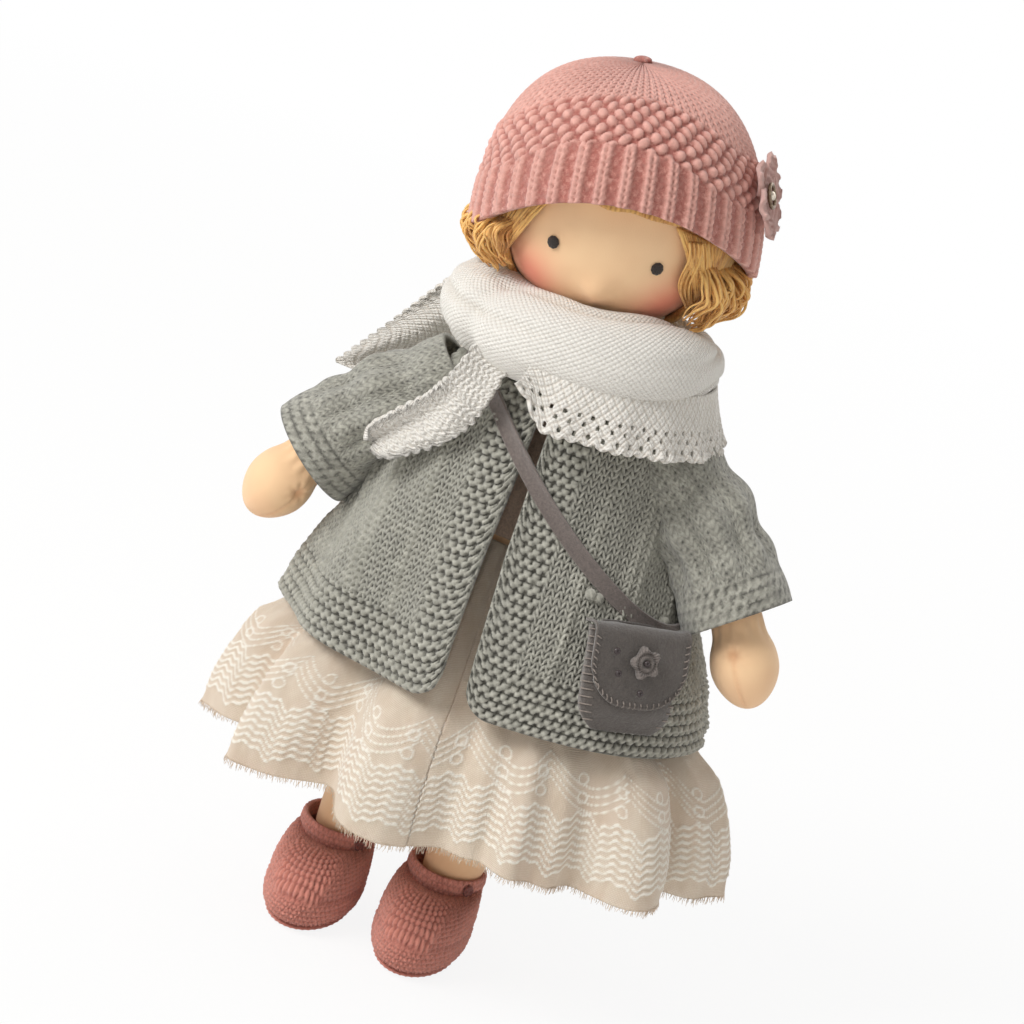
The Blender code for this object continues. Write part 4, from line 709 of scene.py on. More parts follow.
def knit_material(name, lit, deep, wide, tall, **looks):
    """Yarn whose V shaped stitches are drawn from the stitch counts kept in the sheet's UV map, in relief
    and as painted shade.
    """
    made = yarn_material(name, lit, deep, **looks)
    tree = made.node_tree
    spots = node(tree, "ShaderNodeUVMap", uv_map="stitches")
    parts = tree.nodes.new("ShaderNodeSeparateXYZ")
    tree.links.new(spots, parts.inputs[0])

    def calc(way, first, second=0.0, third=0.0):
        return node(tree, "ShaderNodeMath", {0: first, 1: second, 2: third}, operation=way)

    across = calc("ABSOLUTE", calc("SUBTRACT", calc("FRACT", parts.outputs[0]), 0.5))
    x = calc("MULTIPLY", calc("SUBTRACT", across, 0.25), wide)
    row = calc("SUBTRACT", calc("FRACT", parts.outputs[1]), 0.5)
    reach = math.hypot(LEG_LEAN_SHARE * wide, tall)
    lean_x, lean_y = LEG_LEAN_SHARE * wide / reach, tall / reach
    long, broad = LEG_LONG_SHARE * tall, LEG_WIDE_SHARE * wide
    best = None
    for shift in (-1, 0, 1):
        y = calc("MULTIPLY", calc("ADD", row, float(shift)), tall)
        ahead = calc("MULTIPLY_ADD", x, lean_x / long, calc("MULTIPLY", y, lean_y / long))
        aside = calc("MULTIPLY_ADD", x, lean_y / broad, calc("MULTIPLY", y, -lean_x / broad))
        bulge = calc("SUBTRACT", calc("SUBTRACT", 1.0, calc("POWER", ahead, 2.0)), calc("POWER", aside, 2.0))
        best = bulge if best is None else calc("MAXIMUM", best, bulge)
    stitch = calc("SQRT", calc("MAXIMUM", best, 0.0))
    plain = node(tree, "ShaderNodeAttribute", output=2, attribute_name="plain")
    depth = next(one for one in tree.nodes if one.type == "ATTRIBUTE" and one.attribute_name == "depth")
    # Painted shade: the drawn V stitches, with part of the depth value, set how far each spot turns from the
    # deep colour to the lit one.
    drawn = calc("MULTIPLY_ADD", stitch, 0.62, calc("MULTIPLY", depth.outputs[2], 0.38))
    both = calc("ADD", calc("MULTIPLY", plain, drawn),
                calc("MULTIPLY", calc("SUBTRACT", 1.0, plain), depth.outputs[2]))
    for link in list(depth.outputs[2].links):
        if link.to_node.type == "MATH" and link.to_node.operation == "ADD":
            tree.links.new(both, link.to_socket)
    bump = next(one for one in tree.nodes if one.type == "BUMP")
    strand = bump.inputs["Height"].links[0].from_socket
    height = calc("MULTIPLY_ADD", calc("MULTIPLY", stitch, plain), 1.5, calc("MULTIPLY", strand, 0.5))
    tree.links.new(height, bump.inputs["Height"])
    return made


HEAD_SHARES = ((0, 0.96, 0.96), (0.3, 1.0, 1.0), (0.5, 0.985, 0.97), (0.62, 0.99, 1.0), (1, 1.0, 1.0))


def head_matrix(body):
    """Where the head's own frame stands."""
    lean = Matrix.Rotation(body.head_turn, 4, "Z") @ Matrix.Rotation(body.head_lean, 4, "Y")
    return Matrix.Translation((body.head_shift, 0, body.head_centre)) @ lean


def head_rule(body, spread=0.0):
    """The head's surface in its own frame."""
    def rule(height, ring, turn):
        wide, deep = table_at(HEAD_SHARES, height)
        return stack(
            (body.head_width / 2 + spread) * wide * ring * np.cos(turn),
            (body.head_depth / 2 + spread) * deep * ring * np.sin(turn),
            (body.head_height / 2 + spread) * (2 * height - 1),
        )
    return rule


def face_seat(body, across, rise, spread=0.0):
    """A point of the face, across from its middle and up from the head's middle."""
    height = 0.5 + rise / (body.head_height + 2 * spread)
    wide, deep = table_at(HEAD_SHARES, height)
    ring = math.sqrt(1 - (2 * height - 1) ** 2)
    reach_x = (body.head_width / 2 + spread) * float(wide) * ring
    reach_y = (body.head_depth / 2 + spread) * float(deep) * ring
    return np.array((across, -reach_y * math.sqrt(max(0.0, 1 - (across / reach_x) ** 2)), rise))


CHEEK_ACROSS_SHARE = 0.56
CHEEK_DROP_SHARE = 0.60
CHEEK_REACH = 0.0100


class DOLL_OT_head(bpy.types.Operator):
    """Build the head's skin with its nose, cheeks and eye line, and the two embroidered eyes"""
    bl_idname = "doll.head"
    bl_label = "Head"

    def execute(self, context):
        body = settings(context)[0]
        base = head_rule(body)
        nose = face_seat(body, 0.0, -body.nose_drop)
        cheeks = [
            face_seat(body, side * CHEEK_ACROSS_SHARE * body.head_width / 2, -CHEEK_DROP_SHARE
                      * body.head_height / 2)
            for side in (-1, 1)
        ]

        def near(points, centre, reach):
            return np.exp(-np.sum(((points - centre) / reach) ** 2, axis=-1))

        def rule(height, ring, turn):
            points = base(height, ring, turn)
            out = unit(points)
            rise = near(points, nose, np.array((0.0044, 0.006, 0.0040))) * 0.0030
            for cheek in cheeks:
                rise = rise + near(points, cheek, CHEEK_REACH * 1.2) * 0.0010
            front = smooth(-points[..., 1], 0.005, 0.028)
            line = np.exp(-((points[..., 2] - body.eye_rise) / 0.006) ** 2) * front
            rise = rise - line * 0.0008
            return points + out * rise[..., None]

        def blush(points):
            return sum(near(points, cheek, CHEEK_REACH) for cheek in cheeks)

        def shade(points):
            under = near(points, nose - np.array((0, 0, 0.0042)), np.array((0.0055, 0.006, 0.0022)))
            low = smooth(-points[..., 2], 0.020, 0.036)
            return np.clip(0.75 * under + 0.25 * low, 0, 1)

        head = ball("head_cover", rule, 128, 96, {"blush": blush, "shade": shade}, 60.0)
        skin = skin_material("cotton_skin", body)
        head.matrix_world = head_matrix(body)
        finish_piece(head, "head", skin, ("head_skin", "nose"))
        for name, side in (("left", 1), ("right", -1)):
            seat = face_seat(body, side * body.eye_spacing / 2, body.eye_rise)
            out = unit(seat * np.array((1, 1, 0.4)))
            turn = Vector(out).to_track_quat("Z", "Y").to_matrix().to_4x4()

            def dome(height, ring, turn_round):
                reach = body.eye_radius * ring * (1 + 0.03 * np.cos(9 * turn_round))
                return stack(reach * np.cos(turn_round), reach * np.sin(turn_round),
                             body.eye_radius * 0.5 * (2 * height - 1))

            eye = ball(f"eye_thread_{name}", dome, 48, 20)
            eye.matrix_world = head_matrix(body) @ Matrix.Translation(Vector(seat * 0.994)) @ turn
            finish_piece(eye, "head", thread_material("eye_thread", body.eye), (f"eye_{name}",))
        return {"FINISHED"}


def skin_material(name, body):
    """Cotton tricot: fine columns, soft colour changes, blush on the cheeks."""
    made = bpy.data.materials.get(name)
    if made:
        return made
    made, tree, shader, spot = blank_material(name, 0.72, 0.25)
    blush = node(tree, "ShaderNodeAttribute", output=2, attribute_name="blush")
    shade = node(tree, "ShaderNodeAttribute", output=2, attribute_name="shade")
    wide = noise(tree, spot, 0.05, 2.0)
    lit, deep = tuple(body.skin), tuple(body.skin_shade)
    base = mixed(tree, ranged(tree, wide, 0.3, 0.7, 0.0, 0.22), lit, deep)
    base = mixed(tree, ranged(tree, shade, 0.0, 1.0, 0.0, 0.55), base, deep)
    base = mixed(tree, ranged(tree, blush, 0.05, 0.95, 0.0, 0.88), base, tuple(body.blush))
    tree.links.new(base, shader.inputs["Base Color"])
    columns = node(tree, "ShaderNodeTexWave", {"Vector": spot, "Scale": 1.9, "Distortion": 0.6}, 1)
    grain = noise(tree, spot, 2.2, 3.0)
    height = node(tree, "ShaderNodeMath", {0: columns, 1: 0.35, 2: grain}, operation="MULTIPLY_ADD")
    bumped(tree, shader, height, 0.06 * MM, 0.8)
    return made


def thread_material(name, shade):
    """Smooth thread, wound close."""
    made = bpy.data.materials.get(name)
    if made:
        return made
    made, tree, shader, spot = blank_material(name, 0.6, 0.2)
    fine = noise(tree, spot, 3.0, 3.0)
    pale = tuple(min(1.0, value * 1.9 + 0.02) for value in shade)
    tree.links.new(mixed(tree, ranged(tree, fine, 0.35, 0.8), tuple(shade), pale),
                   shader.inputs["Base Color"])
    bumped(tree, shader, fine, 0.2 * MM)
    return made


HAT_BOW_SHARE = 2.4
HAT_ROUND_SHARE = 0.82
RIB_BAND = 16 * MM
MOSS_BAND = 18 * MM
HAT_STITCHES = 80


def hat_matrix(body, cloth):
    """Where the hat's own frame stands."""
    return head_matrix(body) @ Matrix.Rotation(cloth.hat_lean, 4, "Y")


def hat_surface(cloth, turn, share, spread=0.0):
    """The hat's middle surface, share 0 at the edge and 1 at the crown."""
    front = (1 - np.sin(turn)) / 2
    edge = -cloth.hat_back_drop + (cloth.hat_front_rise + cloth.hat_back_drop) * front**HAT_BOW_SHARE
    rise = np.sin(QUARTER * share) ** HAT_ROUND_SHARE
    reach = np.maximum(np.cos(QUARTER * share), 0) ** HAT_ROUND_SHARE
    return stack(
        (cloth.hat_width / 2 + spread) * reach * np.cos(turn),
        (cloth.hat_depth / 2 + spread) * reach * np.sin(turn),
        edge + (cloth.hat_top_rise + spread - edge) * rise,
    )


def even_rows(surface, turns, count, end=1.0):
    """Points of a surface at even lengths along each of its columns, and how far along each one is."""
    fine = np.linspace(0, end, 400)
    t, s = np.meshgrid(turns, fine)
    points = surface(t, s)
    steps = np.linalg.norm(np.diff(points, axis=0), axis=2)
    reach = np.concatenate((np.zeros((1, len(turns))), np.cumsum(steps, axis=0)))
    wanted = np.linspace(0, 1, count)
    shares = np.stack([np.interp(wanted * reach[-1, k], reach[:, k], fine) for k in range(len(turns))],
                      axis=1)
    t = np.broadcast_to(turns, shares.shape)
    return surface(t, shares), wanted[:, None] * reach[-1][None, :]


class DOLL_OT_hat(bpy.types.Operator):
    """Knit the hat: ribs, a moss stitch band and a plain crown, with its flower"""
    bl_idname = "doll.hat"
    bl_label = "Hat"

    def execute(self, context):
        body, yarn, cloth, _ = settings(context)
        around, rows = HAT_STITCHES * 6, 150
        turns = np.arange(around) * FULL_TURN / around
        points, climb = even_rows(lambda t, s: hat_surface(cloth, t, s, -0.3 * MM), turns, rows, 0.985)
        stitch = np.broadcast_to(turns / FULL_TURN * HAT_STITCHES, climb.shape)
        row = climb / yarn.hat_row
        ring = np.linalg.norm(points[..., :2], axis=-1)
        width = FULL_TURN * ring / HAT_STITCHES
        wave = uneven(points, 0.02, 4) * 1.5 * MM
        in_ribs = 1 - smooth(climb + wave, RIB_BAND - 0.7 * MM, RIB_BAND + 0.7 * MM)
        in_moss = (1 - in_ribs) * (1 - smooth(climb + wave, RIB_BAND + MOSS_BAND - MM, RIB_BAND
                                              + MOSS_BAND + MM))
        in_crown = 1 - in_ribs - in_moss
        lumpy = 1 + 0.22 * uneven(points, 0.004, 7)
        rib = ribs(stitch, row, yarn.hat_stitch, yarn.hat_row, 0.36)
        bumps = moss(stitch + 0.25 * np.sin(row), row, 0.88, 1.25) * lumpy
        plain = stocking(stitch, row, yarn.hat_stitch, yarn.hat_row) * np.clip(width / yarn.hat_stitch,
            0.2, 1)
        columns = 0.5 + 0.5 * np.cos(FULL_TURN * stitch)
        crown = 0.45 * plain + 0.50 * (1 - columns)
        relief = in_ribs * rib * 1.7 * MM + in_moss * bumps * 1.5 * MM + in_crown * crown * 1.1 * MM
        relief = relief + uneven(points, 0.03, 2) * 0.5 * MM
        # Painted shade: depth is low in the furrows of the ribs, between the moss bumps and between the
        # crown's columns, and high on their crests.
        depth = in_ribs * rib + in_moss * (bumps * 1.05 - 0.02) + in_crown * (0.42 + 0.62 * crown)
        uv = np.stack((stitch, row), axis=-1)
        hat = sheet("knitted_hat", points, relief, 1.6 * MM, True, depth, uv, 3, plain=in_crown * 0.55)
        hat.matrix_world = hat_matrix(body, cloth)
        wool = knit_material(
            "rose_wool", tuple(yarn.rose), tuple(yarn.rose_shade), yarn.hat_stitch / MM, yarn.hat_row / MM,
            fleck=0.12, patch=0.14,
        )
        finish_piece(hat, "hat", wool, ("hat",))
        flat, area = flat_size(points[::5, ::6], True)
        self.knot(body, cloth, wool)
        self.flower(body, yarn, cloth)
        return {"FINISHED"}

    def knot(self, body, cloth, wool):
        """The drawn-in end of the crown."""
        top = cloth.hat_top_rise

        def rule(height, ring, turn):
            reach = 2.6 * MM * ring * (1 + 0.16 * np.cos(7 * turn + 5 * height))
            return stack(reach * np.cos(turn), reach * np.sin(turn), top + 1.5 * MM * (2 * height - 1))

        knot = ball("hat_knot", rule, 56, 24)
        knot.matrix_world = hat_matrix(body, cloth)
        finish_piece(knot, "hat", wool)

    def flower(self, body, yarn, cloth):
        """Six crocheted petals, their raised rims, the ring and its bead."""
        turn, share = cloth.flower_turn, cloth.flower_share
        spot = np.array(((turn, share), (turn + 0.05, share), (turn, share + 0.05)))
        seat, beside, above = hat_surface(cloth, spot[:, 0], spot[:, 1])
        out = unit(np.cross(beside - seat, above - seat))
        aim = Vector(out).to_track_quat("Z", "Y").to_matrix().to_4x4()
        frame = hat_matrix(body, cloth) @ Matrix.Translation(Vector(seat + out * 2.4 * MM)) @ aim
        wool = yarn_material("petal_wool", tuple(yarn.petal), tuple(yarn.rose_shade), fleck=0.05)
        across, along = 30, 26
        u, v = np.meshgrid(np.linspace(-1, 1, across), np.linspace(0, 1, along))
        petals = []
        for number in range(6):
            reach = cloth.flower_radius * (0.16 + 0.84 * v)
            half = cloth.flower_radius * 0.38 * np.sqrt(np.maximum(0.02, 1 - (2 * v - 1.06) ** 2 * 0.90))
            aside = half * u
            rise = 1.6 * MM * np.sin(math.pi * v * 0.8) + 1.5 * MM * (v * u) ** 2 + 0.9 * MM * v**3
            rise = rise + 0.5 * MM * math.sin(number * 2.4)
            spin = number * FULL_TURN / 6 + 0.2
            points = stack(
                reach * math.cos(spin) - aside * math.sin(spin), reach * math.sin(spin) + aside
                * math.cos(spin), rise,
            )
            rows = 0.5 + 0.5 * np.cos(FULL_TURN * (v * 5 + 0.35 * np.abs(u)))
            rim = smooth(np.maximum(np.abs(u), v), 0.72, 0.95)
            relief = (0.45 * rows * (1 - rim) + 0.8 * rim * (0.8 + 0.2 * np.cos(24 * u + 30 * v))) * MM
            # Painted shade: depth is low between the crochet rows and high on the raised rims.
            petal = sheet(f"flower_petal_{number + 1}", points[:, ::-1], relief[:, ::-1], 0.9 * MM,
                          depth=(0.35 + 0.4 * rows * (1 - rim) + 0.6 * rim)[:, ::-1])
            petals.append(petal)
        self.join_petals(petals, frame, wool)
        bronze = metal_material("aged_bronze", tuple(cloth.bronze))
        self.ring(frame, bronze)

    def join_petals(self, petals, frame, wool):
        """Place the petals; the first stands for the flower's solid."""
        for petal in petals:
            petal.matrix_world = frame
            finish_piece(petal, "hat", wool, ("hat_flower",) if petal is petals[0] else ())

    def ring(self, frame, bronze):
        """A thin metal ring with a small bead in it."""
        def hoop(height, ring, angle):
            return stack(1.5 * MM * ring * np.cos(angle), 1.5 * MM * ring * np.sin(angle),
                         2.9 * MM + 1.1 * MM * (2 * height - 1))

        count, sides = 64, 12
        a = np.arange(count) * FULL_TURN / count
        b = np.arange(sides) * FULL_TURN / sides
        a, b = np.meshgrid(a, b, indexing="ij")
        out = 3.6 * MM + 0.62 * MM * np.cos(b)
        verts = stack(out * np.cos(a), out * np.sin(a), 2.9 * MM + 0.62 * MM * np.sin(b)).reshape(-1, 3)
        first = np.arange(count * sides)
        ring_next = (first + sides) % (count * sides)
        side_next = first // sides * sides + (first + 1) % sides
        faces = np.stack((first, ring_next, (side_next + sides) % (count * sides), side_next), axis=1)
        hoop_piece = new_object("flower_hoop", verts, faces, {"depth": np.ones(len(verts))})
        hoop_piece.matrix_world = frame
        finish_piece(hoop_piece, "hat", bronze, ("hat_flower_ring",))
        bead = ball("flower_bead", hoop, 32, 20)
        bead.matrix_world = frame
        finish_piece(bead, "hat", metal_material("pale_bead", (0.45, 0.40, 0.33)))


def metal_material(name, shade):
    """Worn metal: uneven shine and uneven colour."""
    made = bpy.data.materials.get(name)
    if made:
        return made
    made, tree, shader, spot = blank_material(name, 0.4, 0.0, 0.75)
    worn = noise(tree, spot, 1.2, 3.0)
    pale = tuple(min(1.0, value * 1.8 + 0.05) for value in shade)
    tree.links.new(mixed(tree, ranged(tree, worn, 0.35, 0.7), shade, pale), shader.inputs["Base Color"])
    tree.links.new(ranged(tree, worn, 0.3, 0.7, 0.55, 0.28), shader.inputs["Roughness"])
    bumped(tree, shader, worn, 0.1 * MM)
    return made


COAT_SHARES = (
    (0, 1.0, 1.0), (0.173, 0.878, 0.90), (0.365, 0.694, 0.733), (0.558, 0.52, 0.567), (0.75, 0.388, 0.433),
    (0.846, 0.337, 0.367), (0.93, 0.265, 0.267), (0.97, 0.163, 0.167), (1, 0, 0),
)
SLEEVE_SHARES = ((0, 1.06), (0.3, 1.0), (0.7, 0.97), (0.9, 1.05), (1, 1.06))
SLEEVE_START_SHARE = -0.04
CUFF_END_SHARE = 0.66
FRONT_BAND = 14 * MM
HEM_BAND = 19 * MM
CUFF_BAND = 11 * MM
GARTER_WIDE = 3.0 * MM
GARTER_TALL = 3.5 * MM
CORNER = 9 * MM


def side_lean(cloth, height):
    """How far the loose clothes hang over to the doll's left at a height."""
    fall = np.maximum(0, cloth.waist_height - height) / (cloth.waist_height - cloth.hem_height)
    return cloth.side_shift * fall


def coat_surface(cloth, turn, share, spread=0.0):
    """The cardigan's middle surface, share 0 at the hem and 1 at the neck."""
    wide, deep = table_at(COAT_SHARES, share)
    height = cloth.coat_hem + (cloth.coat_neck - cloth.coat_hem) * share
    half_wide = (cloth.coat_neck_width + (cloth.coat_width - cloth.coat_neck_width) * wide) / 2 + spread
    half_deep = (cloth.coat_neck_depth + (cloth.coat_depth - cloth.coat_neck_depth) * deep) / 2 + spread
    lean = side_lean(cloth, height)
    return stack(lean + half_wide * np.cos(turn), half_deep * np.sin(turn), height)


def lengths_over(points):
    """How far each point of a grid lies along its row and along its column."""
    across = np.linalg.norm(np.diff(points, axis=1), axis=2)
    along = np.linalg.norm(np.diff(points, axis=0), axis=2)
    rows, columns = points.shape[:2]
    return (
        np.concatenate((np.zeros((rows, 1)), np.cumsum(across, axis=1)), axis=1),
        np.concatenate((np.zeros((1, columns)), np.cumsum(along, axis=0))),
    )


def knitted(points, x, y, garter, yarn, seed, chains=()):
    """Relief and depth, whose low values are painted shade, of plain knitting with garter stitch where
    garter is 1; x and y are lengths.
    """
    lumpy = 1 + 0.18 * uneven(points, 0.0035, seed)
    drift_x = x + 0.25 * MM * uneven(points, 0.012, seed + 1)
    drift_y = y + 0.45 * MM * uneven(points, 0.016, seed + 2)
    bumps = garter_ridges(drift_x / GARTER_WIDE, drift_y / GARTER_TALL) * lumpy
    stitch, row = drift_x / yarn.stitch, drift_y / yarn.row
    plain = stocking(stitch, row, yarn.stitch, yarn.row) * lumpy
    raised = np.zeros(x.shape)
    for chain in chains:
        raised = np.maximum(raised, np.exp(-(((drift_x - chain) / (0.55 * yarn.stitch)) ** 2)))
    raised = raised * (1 - garter)
    flat = plain * (1 - 0.25 * raised) + 0.75 * raised * (0.4 + plain)
    relief = garter * bumps * 1.6 * MM + (1 - garter) * (flat * 1.3 * MM + 0.1 * MM)
    # Painted shade: depth is low in the furrows between the garter ridges and between the stitches, and high
    # on the raised chains and crests.
    depth = garter * (0.08 + 0.97 * bumps) + (1 - garter) * (1.02 * flat - 0.04)
    return relief, depth, np.stack((stitch, row), axis=-1), (1 - garter) * (1 - raised) * 0.6


def grey_wool(yarn):
    """The cardigan's heather yarn."""
    made = bpy.data.materials.get("grey_wool")
    if made:
        return made
    return knit_material("grey_wool", tuple(yarn.grey), tuple(yarn.grey_shade), yarn.stitch / MM,
                         yarn.row / MM,
                         fleck=0.16, patch=0.10)


class DOLL_OT_cardigan(bpy.types.Operator):
    """Knit the cardigan's back, its two fronts with garter bands, and its small bobbles"""
    bl_idname = "doll.cardigan"
    bl_label = "Cardigan"

    def execute(self, context):
        _, yarn, cloth, _ = settings(context)
        seam = cloth.coat_seam / cloth.coat_width
        gap = cloth.coat_opening / cloth.coat_depth
        self.panel(yarn, cloth, "left", gap - QUARTER, -seam, 232, 1)
        self.panel(yarn, cloth, "right", 2 * QUARTER + seam, 3 * QUARTER - gap, 232, 2)
        self.panel(yarn, cloth, "back", seam, 2 * QUARTER - seam, 331, 3)
        self.bobbles(yarn, cloth)
        return {"FINISHED"}

    def panel(self, yarn, cloth, name, start, end, columns, seed):
        """One panel between two angles; the opening's edge is rounded off at the hem."""
        rows = 250 if name != "back" else 226
        turn, share = np.meshgrid(np.linspace(start, end, columns), np.linspace(0.0, 0.985, rows))
        flat = coat_surface(cloth, turn, share, -0.5 * MM)
        x, y = lengths_over(flat)
        if name == "right":
            x = x[:, -1:] - x
        if name == "back":
            x = x - x[:, -1:] / 2
        tall = cloth.coat_neck - cloth.coat_hem
        if name != "back":
            near = np.clip(1 - x[:1] / CORNER, 0, 1)
            raised = CORNER * (1 - np.sqrt(1 - near**2)) / tall
            share = share + raised * (1 - share) ** 6
        points = coat_surface(cloth, turn, share, -0.5 * MM)
        x, y = lengths_over(points)
        if name == "right":
            x = x[:, -1:] - x
        if name == "back":
            x = x - x[:, -1:] / 2
        out = normals_of(points, False)
        gather = smooth(share, 0.30, 0.75) * (1 - smooth(share, 0.93, 0.99))
        fold = 0.55 * np.cos(x / (7.5 * MM) * FULL_TURN / 2 + 0.8 * seed) * gather
        sway = 2.2 * np.cos(turn * 9 + 0.5 * np.sin(5 * share) + seed) * (1 - smooth(share, 0.10, 0.70))
        points = points + out * ((fold + sway * (0.15 if name == "left" else 0.9)) * MM)[..., None]
        hem = 1 - smooth(y, HEM_BAND - 0.6 * MM, HEM_BAND + 0.6 * MM)
        band = np.zeros(x.shape) if name == "back" else 1 - smooth(x, FRONT_BAND - 0.5 * MM, FRONT_BAND
            + 0.5 * MM)
        chains = () if name == "back" else (25 * MM, 40 * MM, 43 * MM, 58 * MM)
        relief, depth, uv, plain = knitted(points, x, y, np.maximum(hem, band), yarn, 10 * seed, chains)
        edge = np.minimum(y, 99) if name == "back" else np.minimum(x, y)
        relief = relief * smooth(edge, -0.4 * MM, 0.8 * MM)
        whole = "cardigan_back" if name == "back" else f"cardigan_front_{name}"
        made = sheet(f"knitted_{name}", points, relief, 1.5 * MM, False, depth, uv, 3, plain=plain)
        finish_piece(made, "torso", grey_wool(yarn), (whole,))
        size, area = flat_size(points[::4, ::4], False)
        if name != "back":
            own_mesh(made)

    def bobbles(self, yarn, cloth):
        """Small bobbles on the left front, each a few wound loops."""
        places = ((-0.98, 0.45, 1.9), (-0.93, 0.445, 1.7), (-0.42, 0.40, 1.6))
        for number, (turn, share, radius) in enumerate(places, 1):
            seat = coat_surface(cloth, np.array(turn), np.array(share), 1.1 * MM)

            def rule(height, ring, angle):
                reach = radius * MM * ring * (1 + 0.10 * np.cos(5 * angle + 9 * height))
                return stack(seat[0] + reach * np.cos(angle), seat[1] + reach * np.sin(angle),
                             seat[2] + radius * MM * (2 * height - 1))

            bobble = ball(f"bobble_{number}", rule, 40, 24,
                          {"depth": lambda points: np.full(len(points), 0.9)})
            finish_piece(bobble, "torso", grey_wool(yarn))


def arm_parts(body, side):
    """The shoulder's pivot, the way to the fingertips, and the way out on which the arm bends."""
    pivot = np.array((side * body.arm_pivot_x, 0, body.arm_pivot_z))
    way = np.array((side * body.arm_reach, -body.arm_forward, -body.arm_drop))
    outwards = side * unit(np.cross(way, (0, 1, 0)))
    return pivot, way, outwards


class DOLL_OT_sleeves(bpy.types.Operator):
    """Knit the two sleeves with their garter cuffs"""
    bl_idname = "doll.sleeves"
    bl_label = "Sleeves"

    def execute(self, context):
        body, yarn, cloth, _ = settings(context)
        for name, side, seed in (("left", 1, 21), ("right", -1, 31)):
            pivot, way, outwards = arm_parts(body, side)
            ahead = unit(way)
            across = unit(np.cross(ahead, (0, 1, 0)))
            front = np.cross(across, ahead)
            columns, rows = 300, 202
            turns = np.arange(columns) * FULL_TURN / columns
            turn, share = np.meshgrid(turns, np.linspace(0, 1, rows))

            def surface(turn, share, spread):
                along = SLEEVE_START_SHARE + (CUFF_END_SHARE - SLEEVE_START_SHARE) * share
                reach = cloth.sleeve_radius * table_at(SLEEVE_SHARES, share)[0] + spread
                middle = pivot + way * along[..., None] + outwards * (body.arm_bow
                    * np.sin(math.pi * along))[..., None]
                return middle + reach[..., None] * (
                    across * np.cos(turn)[..., None] + front * np.sin(turn)[..., None]
                )

            long = np.linalg.norm(way) * (CUFF_END_SHARE - SLEEVE_START_SHARE)
            from_cuff = long * (1 - share)
            droop = smooth(from_cuff, CUFF_BAND, CUFF_BAND + 6 * MM) * (1
                - smooth(from_cuff, 30 * MM, 48 * MM))
            fold = 1.0 * np.cos(turn * 9 + 3 * share + seed) * droop
            crease = 1.3 * np.cos(FULL_TURN * share * 2.6 + 1.5 * np.sin(turn)) * smooth(share, 0.05, 0.3)
            crease = crease * (1 - smooth(share, 0.55, 0.75))
            points = surface(turn, share, (fold + crease - 0.6) * MM)
            length_round = FULL_TURN * cloth.sleeve_radius
            x = turn / FULL_TURN * round(length_round / GARTER_WIDE) * GARTER_WIDE
            cuff = 1 - smooth(from_cuff, CUFF_BAND - 0.6 * MM, CUFF_BAND + 0.6 * MM)
            relief, depth, uv, plain = knitted(points, x, from_cuff, cuff, yarn, seed)
            points = points[:, ::-1] if np.dot(np.cross(across, front), ahead) > 0 else points
            made = self.cover(name, points, relief, depth, uv, plain,
                              np.dot(np.cross(across, front), ahead) > 0)
            finish_piece(made, None, grey_wool(yarn), (f"sleeve_{name}",))
            size, area = flat_size(points[::4, ::4], True)
            start, end = pivot - ahead * 2 * MM, pivot + ahead * 14 * MM
            tuple(start)
            tuple(end)
            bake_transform(made)
        return {"FINISHED"}

    def cover(self, name, points, relief, depth, uv, plain, turned):
        """The sleeve's closed sheet, whichever way its grid runs round."""
        if turned:
            relief, depth, uv, plain = (value[:, ::-1] for value in (relief, depth, uv, plain))
        return sheet(f"knitted_sleeve_{name}", points, relief, 1.4 * MM, True, depth, uv, 3, plain=plain)


SKIRT_SHARES = (
    (0, 1.0, 1.0), (0.15, 0.98, 0.95), (0.375, 0.84, 0.755), (0.48, 0.64, 0.56), (0.73, 0.36, 0.32),
    (1, 0, 0),
)
TORSO_SHARES = ((0, 0.90, 0.84), (0.3, 1.0, 1.0), (0.6, 0.94, 0.88), (0.85, 0.94, 0.74), (1, 0.96, 0.64))
TORSO_BLUNTNESS_SHARE = 0.30
SKIRT_FOLDS = 11
LAYER = 0.7 * MM
CLOTH = 1.0 * MM


def torso_rule(body, spread=0.0):
    """The torso's surface."""
    def rule(height, ring, turn):
        wide, deep = table_at(TORSO_SHARES, height)
        swell = ring**TORSO_BLUNTNESS_SHARE
        middle, half = (body.shoulder + body.torso_base) / 2, (body.shoulder - body.torso_base) / 2
        return stack(
            (body.torso_width / 2 + spread) * wide * swell * np.cos(turn),
            (body.torso_depth / 2 + spread) * deep * swell * np.sin(turn),
            middle + (half + spread) * (2 * height - 1),
        )
    return rule


def skirt_surface(body, cloth, turn, share, spread=0.0):
    """The skirt's middle surface, share 0 at the hem and 1 at the waist."""
    at_waist = (cloth.waist_height - body.torso_base) / (body.shoulder - body.torso_base)
    waist_share = table_at(TORSO_SHARES, np.array(at_waist))
    waist_wide = body.torso_width / 2 * waist_share[0] + LAYER + CLOTH
    waist_deep = body.torso_depth / 2 * waist_share[1] + LAYER + CLOTH
    wide, deep = table_at(SKIRT_SHARES, share)
    height = cloth.hem_height + (cloth.waist_height - CLOTH - cloth.hem_height) * share
    fold = cloth.fold * (1 - share) * np.cos(SKIRT_FOLDS * turn)
    half_wide = waist_wide + (cloth.hem_width / 2 - waist_wide) * wide + fold + spread
    half_deep = waist_deep + (cloth.hem_depth / 2 - waist_deep) * deep + fold + spread
    return stack(side_lean(cloth, height) + half_wide * np.cos(turn), half_deep * np.sin(turn), height)


